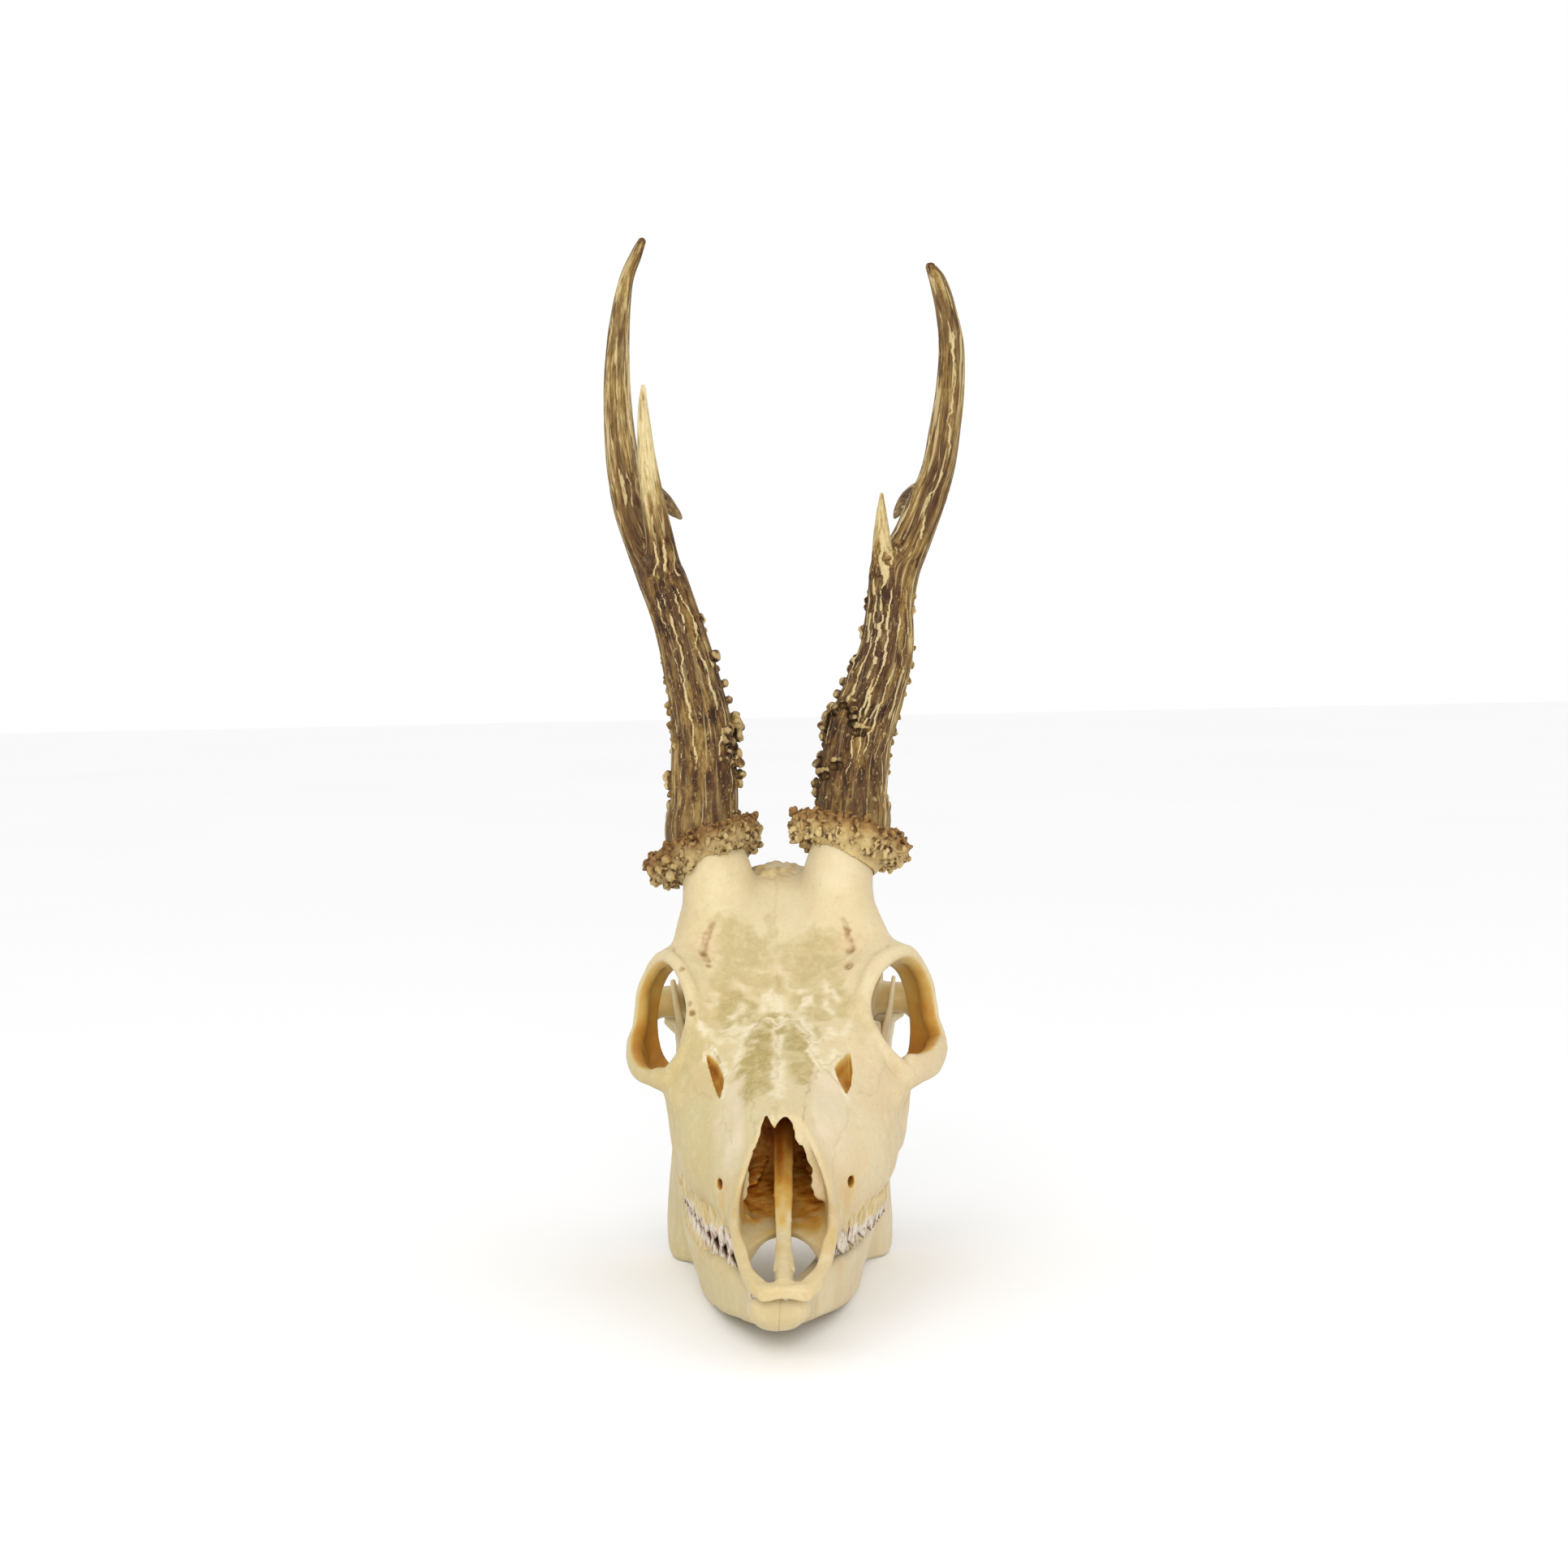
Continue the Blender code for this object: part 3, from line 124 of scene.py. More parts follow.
def rod(a, b, ra, rb=None):
    """A round rod from a to b whose radius runs from ra to rb."""
    rb = ra if rb is None else rb
    a, b = np.array(a, float), np.array(b, float)
    ab = b - a
    L2 = max((ab @ ab), 1e-9)

    def fn(X, Y, Z):
        px, py, pz = X - F(a[0]), Y - F(a[1]), Z - F(a[2])
        t = np.clip((px * F(ab[0]) + py * F(ab[1]) + pz * F(ab[2])) / F(L2), 0, 1)
        qx, qy, qz = px - t * F(ab[0]), py - t * F(ab[1]), pz - t * F(ab[2])
        return np.sqrt(qx * qx + qy * qy + qz * qz) - (F(ra) + t * F(rb - ra))

    R = max(ra, rb)
    return np.minimum(a, b) - R, np.maximum(a, b) + R, fn


def strap(a, b, wide, wa, ta, wb=None, tb=None):
    """A flat rod from a to b: half width w along `wide`, half thickness t across it."""
    wb = wa if wb is None else wb
    tb = ta if tb is None else tb
    a, b = np.array(a, float), np.array(b, float)
    ab = b - a
    L2 = max((ab @ ab), 1e-9)
    u = ab / math.sqrt(L2)
    n1 = np.array(wide, float)
    n1 = n1 - (n1 @ u) * u
    n1 /= np.linalg.norm(n1) + 1e-9
    n2 = np.cross(u, n1)

    def fn(X, Y, Z):
        px, py, pz = X - F(a[0]), Y - F(a[1]), Z - F(a[2])
        t0 = (px * F(ab[0]) + py * F(ab[1]) + pz * F(ab[2])) / F(L2)
        t = np.clip(t0, 0, 1)
        w = F(wa) + t * F(wb - wa)
        h = F(ta) + t * F(tb - ta)
        q1 = px * F(n1[0]) + py * F(n1[1]) + pz * F(n1[2])
        q2 = px * F(n2[0]) + py * F(n2[1]) + pz * F(n2[2])
        q3 = (t0 - t) * F(math.sqrt(L2))
        q1 = q1 / w
        q2 = q2 / h
        q3 = q3 / h
        k0 = np.sqrt(q1 * q1 + q2 * q2 + q3 * q3)
        k1 = np.sqrt((q1 / w) ** 2 + (q2 / h) ** 2 + (q3 / h) ** 2) + F(1e-6)
        return k0 * (k0 - 1) / k1

    R = max(wa, wb, ta, tb)
    return np.minimum(a, b) - R, np.maximum(a, b) + R, fn


def curve(points, n=8):
    """A smooth run through control rows (any number of columns): Catmull-Rom, n steps a span."""
    P = np.array(points, float)
    P = np.vstack([2 * P[0] - P[1], P, 2 * P[-1] - P[-2]])
    out = []
    for i in range(1, len(P) - 2):
        for t in np.arange(n) / n:
            a, b, c, d = P[i - 1], P[i], P[i + 1], P[i + 2]
            out.append(0.5 * (2 * b + (c - a) * t + (2 * a - 5 * b + 4 * c - d) * t * t + (3 * b - a - 3 * c + d) * t ** 3))
    out.append(P[-2])
    return np.array(out)


def ease(xs, ys):
    """A smooth function through (xs, ys): monotone cubic."""
    xs = np.array(xs, float)
    ys = np.array(ys, float)
    h = np.diff(xs)
    s = np.diff(ys) / h
    m = np.zeros(len(xs))
    m[1:-1] = np.where(s[:-1] * s[1:] > 0, 2 * s[:-1] * s[1:] / (s[:-1] + s[1:] + 1e-12), 0)
    m[0], m[-1] = s[0], s[-1]

    def fn(x):
        x = np.asarray(x, float)
        xc = np.clip(x, xs[0], xs[-1])
        i = np.clip(np.searchsorted(xs, xc) - 1, 0, len(h) - 1)
        t = (xc - xs[i]) / h[i]
        return (
            (2 * t ** 3 - 3 * t ** 2 + 1) * ys[i]
            + (t ** 3 - 2 * t ** 2 + t) * h[i] * m[i]
            + (-2 * t ** 3 + 3 * t ** 2) * ys[i + 1]
            + (t ** 3 - t ** 2) * h[i] * m[i + 1]
        ).astype(F)

    return fn


def nets(d, lo, step):
    """Surface nets: one vertex in each cell the surface crosses, one quad for each crossed grid edge."""
    inside = d < 0
    n = np.array(d.shape)
    cell = np.zeros(n - 1, bool)
    c0 = inside[:-1, :-1, :-1]
    for i in (0, 1):
        for j in (0, 1):
            for k in (0, 1):
                cell |= inside[i : n[0] - 1 + i, j : n[1] - 1 + j, k : n[2] - 1 + k] != c0
    ijk = np.argwhere(cell)
    index = np.full(n - 1, -1, np.int32)
    index[tuple(ijk.T)] = np.arange(len(ijk))
    pos = np.zeros((len(ijk), 3), np.float64)
    cnt = np.zeros(len(ijk))
    corners = [(i, j, k) for i in (0, 1) for j in (0, 1) for k in (0, 1)]
    val = {c: d[ijk[:, 0] + c[0], ijk[:, 1] + c[1], ijk[:, 2] + c[2]].astype(np.float64) for c in corners}
    for a in corners:
        for ax in range(3):
            if a[ax]:
                continue
            b = list(a)
            b[ax] = 1
            b = tuple(b)
            va, vb = val[a], val[b]
            m = (va < 0) != (vb < 0)
            t = np.where(m, va / np.where(m, va - vb, 1), 0)
            for q in range(3):
                pos[:, q] += np.where(m, a[q] + (t if q == ax else 0), 0)
            cnt += m
    pos = ijk + pos / cnt[:, None]
    verts = pos * step + np.array(lo)
    quads = []
    for ax in range(3):
        s0 = [slice(None)] * 3
        s1 = [slice(None)] * 3
        s0[ax] = slice(0, n[ax] - 1)
        s1[ax] = slice(1, n[ax])
        e = inside[tuple(s0)] != inside[tuple(s1)]
        o = [q for q in range(3) if q != ax]
        rows = np.argwhere(e)
        rows = rows[(rows[:, o[0]] > 0) & (rows[:, o[1]] > 0) & (rows[:, o[0]] < n[o[0]] - 1) & (rows[:, o[1]] < n[o[1]] - 1)]
        ins = inside[rows[:, 0], rows[:, 1], rows[:, 2]]

        def cellid(du, dv):
            r = rows.copy()
            r[:, o[0]] -= du
            r[:, o[1]] -= dv
            return index[r[:, 0], r[:, 1], r[:, 2]]

        q = np.stack([cellid(1, 1), cellid(0, 1), cellid(0, 0), cellid(1, 0)], 1)
        flip = ins if ax != 1 else ~ins
        q = np.where(flip[:, None], q, q[:, ::-1])
        quads.append(q)
    quads = np.concatenate(quads)
    return verts, quads


# ---- shapes of the bones ----


SHELL = [
 (1.5,(0,-1.6),(2,-1.8),(4,-2.2),(5.4,-2.3),(6.4,-1.8),(6.8,-0.9),(6.4,0.1),(5.4,0.9),(4,1.3),(2.5,1.3),(1.2,1.2),(0,1.1)),
 (8, (0,-1),(3,-1.2),(6,-1.8),(8,-2),(9.4,-1.2),(9.9,0.6),(9.6,3),(8.5,5),(7,7),(5,9),(3,10),(0,10.5)),
 (18,(0,0.2),(4,0),(7,-0.8),(9,-1.2),(10.8,-0.4),(12.1,2),(12.5,5),(12.2,9),(10.5,14),(8,18),(4.5,21),(0,22)),
 (30,(0,1.5),(5,1.3),(8,0.3),(10,-0.3),(11.8,1),(13.1,4),(13.8,8),(13.2,13),(11.5,18),(9,22),(5,26),(0,27)),
 (40,(0,2.5),(5,2.2),(8,1.0),(11,0.2),(13.0,2.2),(14.0,6.5),(13.6,10.5),(12.2,14.8),(9.8,19.5),(7.2,24.5),(4.4,28.6),(0,29.4)),
 (50,(0,3),(6,2.6),(10,0.8),(13,0),(15.0,2.5),(16.2,7),(15.6,12.5),(13.6,18.0),(10.4,23.4),(7.6,28.0),(4.9,31.4),(0,32.4)),
 (60,(0,4),(8,3.4),(12.5,1.8),(16.0,2.0),(18.8,4.2),(20.2,8),(19.8,14),(17.4,20.5),(13.8,27),(10.0,31.8),(5.8,34.7),(0,35.4)),
 (75,(0,5),(10,4.4),(16,2.2),(21.8,2.2),(25.0,5.0),(26.8,9),(26.8,15),(24.6,22),(19.4,29.8),(13,36),(6.5,39),(0,39.7)),
 (88,(0,6),(12,5.2),(19,2.6),(25.6,2.2),(28.8,5.2),(30.2,10),(30.6,16),(29.4,24),(24.6,33.4),(17,41),(8,43.6),(0,43.8)),
 (98,(0,6),(12,5.5),(21,2.8),(26.8,2.0),(29.6,5.2),(30.8,11),(31.8,18),(31.6,26),(29,36),(24.5,44.5),(13,46.6),(0,46.4)),
 (108,(0,6),(12,5.5),(21,2.8),(26.4,2.2),(29.0,5.6),(30.6,12),(32,20),(32.5,30),(30.5,42),(27.2,53.4),(14,51.9),(0,51)),
 (118,(0,7),(10,6.5),(16,5),(21,5),(25,9),(26.5,16),(28,25),(28.4,36),(28.8,48),(28.6,60.0),(16,58.0),(0,57)),
 (128,(0,9),(7,9),(12,9),(16,12),(19,18),(22,26),(25,36),(27.2,47),(28.6,55),(30.2,63.2),(18,63.9),(0,63.8)),
 (138,(0,11.5),(7,11.5),(12,13),(16,17),(20,23),(24,31),(26.5,39),(27.6,48),(28.2,57),(28.2,66),(16,70.5),(0,70.4)),
 (148,(0,13.5),(7,13.5),(13,15.5),(18,20),(23,26),(26.8,34),(28.3,43),(28.3,52),(27.4,62),(24,70.5),(12,76),(0,77)),
 (158,(0,14.5),(8,14.5),(14,16.5),(20,20.5),(25,27),(28.4,36),(29.2,45),(28.6,54),(26.6,64),(21.5,72),(12,77.2),(0,80)),
 (168,(0,15),(8,15),(15,17),(22,20.5),(27,27.5),(29.8,36),(30.4,44),(29.6,53),(26.6,62),(20.8,69.5),(11.5,75.2),(0,78)),
 (178,(0,14.5),(8,14.5),(15,16),(23,19.5),(28,25.5),(30.6,33),(30.8,41),(29.4,50),(25.8,58),(19.8,65),(11,70.6),(0,73)),
 (188,(0,13),(8,13),(15,14),(23,17.5),(28.8,23.5),(31.2,31),(31,39),(28.8,47),(24.6,54),(18.4,59.8),(10,64),(0,66)),
 (197,(0,12),(7,12),(14,13),(21,16),(26.5,22),(29.2,29.5),(28.6,37),(26,43.5),(21.6,48.8),(15.6,52.8),(8.5,55.6),(0,57)),
 (204,(0,14),(6,14),(12,15),(17,18),(21.5,23.5),(24,29.5),(23.6,35.5),(21.6,40),(18,43.5),(13,46),(7,47.8),(0,48.6)),
]


def loft(rows, X, Y, Z, step, sub=3):
    ys = np.array([r[0] for r in rows], float)
    P = np.array([[q for q in r[1:]] for r in rows], float)
    K = P.shape[1]
    yv = np.clip(Y.ravel(), ys[0], ys[-1])
    cx = [ease(ys, P[:, k, 0]) for k in range(K)]
    cz = [ease(ys, P[:, k, 1]) for k in range(K)]
    out = np.empty((X.shape[0], len(yv), Z.shape[2]), F)
    x = X[:, 0, 0][:, None]
    z = Z[0, 0, :][None, :]
    for j, yy in enumerate(yv):
        pts = np.array([[cx[k](yy), cz[k](yy)] for k in range(K)], float)
        ext = np.vstack([[-pts[1, 0], pts[1, 1]], pts, [-pts[-2, 0], pts[-2, 1]]])
        c = []
        for i in range(1, len(ext) - 2):
            for t in np.arange(sub) / sub:
                a, b, cc, dd = ext[i - 1], ext[i], ext[i + 1], ext[i + 2]
                c.append(0.5 * (2 * b + (cc - a) * t + (2 * a - 5 * b + 4 * cc - dd) * t * t + (3 * b - a - 3 * cc + dd) * t ** 3))
        c.append(pts[-1])
        out[:, j, :] = flat_distance(np.array(c), x, z, False)
    g = np.gradient(out, step, axis=1) if out.shape[1] > 2 else 0
    out = out / np.sqrt(1 + g * g)
    e = np.maximum(ys[0] - Y, Y - ys[-1])
    return np.maximum(out, e)


def flat_distance(c, x, z, closed=True):
    """Signed distance in a plane to a run of points; an open run starts and ends on x = 0."""
    if closed:
        c = np.vstack([c, c[:1]])
    best = np.full(np.broadcast(x, z).shape, 1e9, F)
    cross = np.zeros(best.shape, bool)
    for a, b in zip(c[:-1], c[1:]):
        e = b - a
        L = e @ e
        if L < 1e-9:
            continue
        px, pz = x - F(a[0]), z - F(a[1])
        t = np.clip((px * F(e[0]) + pz * F(e[1])) / F(L), 0, 1)
        qx, qz = px - t * F(e[0]), pz - t * F(e[1])
        best = np.minimum(best, qx * qx + qz * qz)
        lo_, hi_ = (a, b) if a[1] <= b[1] else (b, a)
        m = (z >= lo_[1]) & (z < hi_[1])
        xs = lo_[0] + (z - lo_[1]) / (hi_[1] - lo_[1] + 1e-12) * (hi_[0] - lo_[0])
        cross ^= m & (xs > x)
    dist = np.sqrt(best)
    return np.where(cross, -dist, dist)


RIM = [
 (25.0, 99.5, 43.0, 1.7), (23.7, 103.5, 50.0, 1.8), (26.0, 110.0, 56.8, 1.8), (30.0, 117.5, 60.4, 1.8), (34.0, 124.5, 60.0, 1.9),
 (37.6, 130.5, 55.4, 2.0), (40.6, 134.0, 48.5, 2.0), (41.3, 134.5, 42.5, 2.0), (41.9, 132.5, 38.2, 2.1), (43.2, 128, 34.4, 2.3),
 (42.8, 120.5, 31.2, 2.4), (40.7, 112, 29.4, 2.4), (36.4, 104.5, 29.6, 2.3), (32.2, 99.8, 32.2, 2.2), (28.4, 98, 36.6, 2.0),
]


INNER = [  # where the plate of the orbit ends behind each point of the rim, and how far it bellies out between
 (23.6, 102, 43.5, 0), (22.6, 107, 50.0, 0), (24.6, 114, 57.4, 0), (28.6, 123, 59.0, 0), (31.4, 132, 55.4, 0.4),
 (33.6, 136.5, 52.2, 0.6), (35.6, 139.6, 47.2, 0.8), (36.8, 140.2, 42.0, 0.8), (37.4, 139.2, 37.4, 1.0), (37.2, 137.4, 33.0, 1.6),
 (36.4, 134.2, 29.6, 2.2), (34.6, 127.0, 28.6, 2.2), (31.0, 119.5, 27.8, 1.6), (28.2, 110, 28.6, 0.6), (26.2, 103, 35.0, 0),
]
EYE = (33.0, 118.0, 44.0)


def ring(rows, n=4):
    P = np.array(rows, float)
    P = np.vstack([P, P[:3]])
    C = curve(P, n)
    return C[n : n + n * len(rows) + 1]


ZTOP = ease([1, 5, 8, 12, 18, 25, 32, 38, 41, 44, 47, 49.5, 52, 60], [2, 2.2, 3.0, 4.0, 6.3, 8.8, 11.2, 13.0, 15, 18.8, 23.5, 28.5, 34, 60])
NOSE = [  # the nasal passage: y, half width at floor, middle and top, floor, roof
 (6, 4.4, 4.8, 5.0, 0.9, 30), (12, 7.4, 7.8, 7.0, 1.6, 30), (20, 9.0, 9.6, 8.0, 2.6, 30), (30, 10.2, 11.6, 8.0, 3.6, 30), (42, 10.2, 10.6, 3.4, 4.5, 29.6), (48, 10.2, 9.8, 3.4, 5.0, 30.4),
 (55, 10.6, 12.0, 5.0, 5.5, 31.4), (70, 12.6, 16.4, 7.0, 7, 34.4), (84, 12.6, 18.4, 8.0, 8.5, 37), (92, 10, 15, 7, 12, 36),
]


def nose_hollow(X, Y, Z):
    ys = [r[0] for r in NOSE]
    wf, wm, wt, zf, zr = [ease(ys, [r[k] for r in NOSE])(Y) for k in range(1, 6)]
    t = np.clip((Z - zf) / (zr - zf), 0, 1)
    w = wf * (1 - t) ** 2 + 2 * t * (1 - t) * (2 * wm - 0.5 * (wf + wt)) + wt * t ** 2
    # rounded corners where the walls meet floor and roof
    a = np.abs(X) - w
    b = np.maximum(zf - Z, Z - zr)
    r = F(2.5)
    f = np.sqrt(np.maximum(a + r, 0) ** 2 + np.maximum(b + r, 0) ** 2) - r + np.minimum(np.maximum(a, b) + r, 0)
    return np.maximum(f * 0.93, np.maximum(Y - 90, 6 - Y))


def front_cut(X, Y, Z):
    return (ZTOP(Y) - Z) * 0.62 + 0 * X


def fissure(X, Y, Z):
    """Gap in the bone of the palate beside the middle bar, behind the front teeth."""
    xo = ease([6, 9, 14, 20, 27, 33, 40], [3.5, 5.6, 7.9, 8.9, 9.2, 8.0, 5.0])(Y)
    xi = ease([6, 9, 14, 24, 33], [2.9, 2.9, 2.2, 1.6, 1.3])(Y)
    ye = 41.5 - 0.3 * X - 0.14 * X * X
    return np.maximum(np.maximum(xi - X, X - xo), np.maximum(8.6 - Y, Y - ye) * 0.8) + 0 * Z


UP = [  # upper cheek teeth: y of the middle, length, outer x, width, cusps
 (54.2, 7.6, 15.9, 6.5, 1), (61.9, 8.0, 18.6, 8.0, 1), (69.6, 7.6, 21.2, 9.4, 1), (78.6, 10.4, 24.0, 10.6, 2), (89.8, 11.8, 26.6, 11.4, 2), (101.6, 11.6, 28.2, 11.2, 2),
]
LOW = [  # lower cheek teeth
 (53.6, 6.6, 13.6, 4.4, 1), (60.8, 7.8, 15.9, 5.2, 1), (68.8, 8.2, 18.3, 6.0, 1), (77.8, 9.8, 20.8, 6.8, 2), (88.6, 11.6, 23.2, 7.4, 2), (101.8, 14.4, 25.2, 7.2, 3),
]


MARGIN = ease([50, 62, 70, 79, 90, 104], [2.6, 1.6, 0.6, -0.6, -1.6, -2.0])    # where the upper teeth leave the bone
SLITS = [  # the slit in front of each orbit: its edge, on the surface
 [(-20.8,92.6,41.8),(-19.2,90.1,40.6),(-17.6,87.6,38.9),(-16.2,83.0,38.2),(-15.3,79.3,36.8),(-15.5,77.1,35.1),(-16.6,74.4,32.6),(-17.6,77.7,33.6),(-18.8,83.2,35.4),(-19.9,88.0,38.3)],
 [(18.9,89.0,41.6),(17.5,86.6,40.7),(15.9,83.4,39.9),(14.6,80.4,38.9),(15.2,78.1,37.4),(16.2,76.1,35.6),(17.6,74.2,33.3),(18.9,78.4,35.0),(19.4,83.8,37.7)],
]


def slits(f, lo, step, deep=4.5):
    """Sink the two slits into the whole cranium's field."""
    for edge in SLITS:
        P = np.array(edge)
        a, b, c = np.linalg.lstsq(np.stack([P[:, 0], P[:, 1], np.ones(len(P))], 1), P[:, 2], rcond=None)[0]
        l, h = P.min(0) - (3, 3, 9), P.max(0) + (3, 3, 6)
        i = [int((l[k] - lo[k]) / step) for k in range(3)]
        j = [int((h[k] - lo[k]) / step) for k in range(3)]
        s = tuple(slice(i[k], j[k]) for k in range(3))
        X, Y, Z = [(lo[k] + step * np.arange(i[k], j[k])).astype(F).reshape([-1 if m == k else 1 for m in range(3)]) for k in range(3)]
        flat = flat_distance(P[:, :2], X[:, :, 0], Y[:, :, 0])[:, :, None]
        under = F(a) * X + F(b) * Y + F(c) - Z
        f[s] = -smin(-f[s], np.maximum(flat + 0.1 * under, (under - deep) * 0.7), 0.4)
    return f


def cranium(step):
    g = Grid((-2 * step, -6, -42), (50, 214, 104), step)
    lo, hi = np.array([-5, SHELL[0][0], -3.0]), np.array([38, SHELL[-1][0], 82.0])
    g.add((lo, hi, lambda X, Y, Z: loft(SHELL, X, Y, Z, step)))
    # brow and pedicles
    g.add(rod((18.0, 136, 58), (17.2, 147, 79), 11.0, 9.0), 6)
    g.add(rod((17.4, 145, 76), (20.0, 151.0, 90), 9.0, 9.2), 3)
    # back of the skull: crest
    for a, b in (((0, 203, 49), (12, 201, 46)), ((12, 201, 46), (22, 197, 39)), ((22, 197, 39), (27.5, 192, 30))):
        g.add(rod(a, b, 1.8), 4)
    g.add(ball((0, 203, 47), (5, 4, 3)), 4)
    # orbit hollow
    g.cut(ball((37.0, 117.5, 44.0), (20.5, 18.6, 16.0)), 1.2)
    g.cut(ball((30, 122, 38), (13.0, 16, 14.5)), 2)
    g.cut(ball((31, 131, 22), (12.5, 17, 17)), 2)
    C = ring(RIM, 5)
    B = ring(INNER, 5)
    out = (C[:, :3] + B[:, :3]) / 2 - np.array(EYE)
    out /= np.linalg.norm(out, axis=1)[:, None]
    for t in (1.0, 0.86, 0.72, 0.58, 0.44, 0.3, 0.16):
        hoop = C[:, :3] * (1 - t) + B[:, :3] * t + out * (B[:, 3] * math.sin(math.pi * t))[:, None]
        for a, b in zip(hoop[:-1], hoop[1:]):
            g.add(rod(a, b, 1.25 - 0.45 * t), 0.9)
    for a, b in zip(C[:-1], C[1:]):
        g.add(rod(a[:3], b[:3], a[3] * 0.86, b[3] * 0.86), 1.2)
    for a, b in (((21.4, 105, 48.6), (24.6, 117, 56.8)), ((24.6, 117, 56.8), (27.4, 128, 60.4))):
        g.add(rod(a, b, 2.3), 3)
    g.add(strap((27, 131, 61.0), (34, 128, 59.0), (0, 1, 0.2), 6, 1.8, 4, 1.8), 2)
    g.add(rod((34.5, 104.5, 29.8), (29.4, 94, 26), 2.2, 2.6), 4)
    g.add(strap((33.0, 112, 26), (28.6, 104, 10), (0, 1, 0.2), 6, 1.6, 8, 2.4), 4)
    # cheek arch
    for a, b in (((41.4, 126, 30), (42.0, 137, 29)), ((42.0, 137, 29), (41.6, 146, 31.2)), ((41.6, 146, 31.2), (39.4, 154, 36.4)), ((39.4, 154, 36.4), (35.6, 159, 39.6))):
        g.add(strap(a, b, (0, 0.1, 1), 3.4, 1.5), 1.5)
    g.add(strap((38.0, 156.0, 39.8), (27, 158.0, 39.6), (0, 1, 0.1), 5.0, 4.4, 7, 4.9), 2)
    g.cut(ball((30.8, 160.6, 33.8), (7.4, 4.4, 3.9)), 0.8)
    g.add(strap((39, 155.5, 37.6), (33, 163, 39.6), (0, 1, 0.1), 4.0, 2.0, 5, 2.4), 2)
    g.add(rod((33, 163, 39), (31.5, 180, 34), 2.0, 1.8), 3)
    # ear tube, bulla, jugular process, condyle
    g.add(rod((25, 176, 24), (33, 179.5, 29.5), 4.4, 3.2), 2)
    g.cut(rod((28, 177.5, 26.4), (38, 181, 31.5), 1.9, 2.1), 0.4)
    g.add(ball((19.5, 172, 13.5), (6.0, 8.5, 6.0)), 2)
    g.add(rod((26, 191, 22), (22.5, 193, 3), 4.0, 1.8), 2.5)
    g.add(ball((11.5, 203, 15.5), (5.8, 6.8, 7.2)), 2)
    g.add(ball((9, 198, 12.5), (5, 8, 4)), 2)
    g.cut(rod((0, 190, 22), (0, 216, 25), 7.8, 8.2), 1)
    g.add(rod((0, 165, 12), (0, 195, 11), 5.0, 6.5), 4)
    # wings beside the rear nostrils
    g.add(strap((9.5, 112, 8), (9.0, 150, 11), (0, 0, 1), 8, 1.2, 6.5, 1.0), 2)
    g.cut(rod((0, 108, 11), (0, 150, 8), 7.4, 7.0), 2)
    # nose
    g.cut((np.array([-5, 5, 0.0]), np.array([20, 92, 44.0]), nose_hollow), 0.8)
    g.cut((np.array([-5, -4, 0.0]), np.array([20, 56, 44.0]), front_cut), 0.8)
    g.cut((np.array([0, 5, -6.0]), np.array([12, 43, 12.0]), fissure), 0.6)
    # middle bar of the nose
    for a, b, wa, wb in (((0, 86, 29), (0, 74, 24.6), 2.0, 2.2), ((0, 74, 24.6), (0, 60, 18.5), 2.2, 2.0), ((0, 60, 18.5), (0, 45, 11.5), 2.0, 1.7), ((0, 45, 11.5), (0, 30, 6.2), 1.7, 1.8), ((0, 30, 6.2), (0, 15, 2.6), 1.8, 2.6), ((0, 15, 2.6), (0, 6, 0.6), 2.6, 3.2)):
        g.add(rod(a, b, wa * 0.85, wb * 0.85), 0.6)
        g.add(strap((a[0], a[1], a[2] * 0.55), (b[0], b[1], b[2] * 0.55), (0, 0, 1), max(a[2] * 0.5, 1.5), 1.0, max(b[2] * 0.5, 1.5), 1.0), 0.8)
    # hole for the nerve of the lip
    g.cut(rod((17.6, 54, 13), (14.5, 62, 13.5), 1.3), 0.4)
    # bone of the tooth sockets
    for y, L, xo, w, n in UP:
        for i in range(n):
            yy = y - L / 2 + L / n * (i + 0.5)
            g.add(ball((xo + 0.22 * (yy - y) - w / 2 + 0.25, yy, MARGIN(yy) + 2.3), (w * 0.5 + 0.55, L / n * 0.58, 4.6)), 1.2)
    return g


JAW = [(8.5,-8.5),(11.5,-12.4),(20,-15.8),(33,-18.4),(50,-21.8),(70,-26.4),(86,-29.6),(97,-31.2),(107,-31.9),(119,-32.1),(131,-32.9),(140,-34.6),(147,-35.4),(153.5,-33.6),(157.6,-27.5),(157.4,-17),(155.4,-4),(154.4,8),(155.6,19),(158.6,26.4),(161.9,30.9),(161.2,34.6),(158.2,35.0),(155.0,32.4),(151.2,27.2),(147.8,29.2),(147.8,35.5),(150.4,41.5),(152.9,45.6),(151.6,47.6),(148.0,45.2),(143.2,39),(138.6,31),(133.4,18),(127,4),(120,-6.4),(113.5,-11.6),(104,-12.4),(80,-11.2),(64,-9.0),(56,-7.4),(49,-7.8),(40,-8.6),(28,-7.6),(18,-5.2),(12,-3.0),(8.6,-4.4)]
JX = ease([6, 12, 20, 30, 42, 54, 65, 80, 95, 110, 125, 138, 150, 162], [2.2, 2.2, 2.2, 3.0, 7.0, 12.0, 15.2, 18.9, 21.6, 23.8, 26.4, 28.6, 30.4, 31.4])
JT = ease([6, 12, 20, 30, 42, 54, 65, 80, 95, 110, 122, 135, 150, 162], [5.8, 5.9, 6.1, 5.6, 4.1, 4.2, 4.4, 4.6, 4.8, 4.4, 2.6, 1.5, 1.2, 1.9])


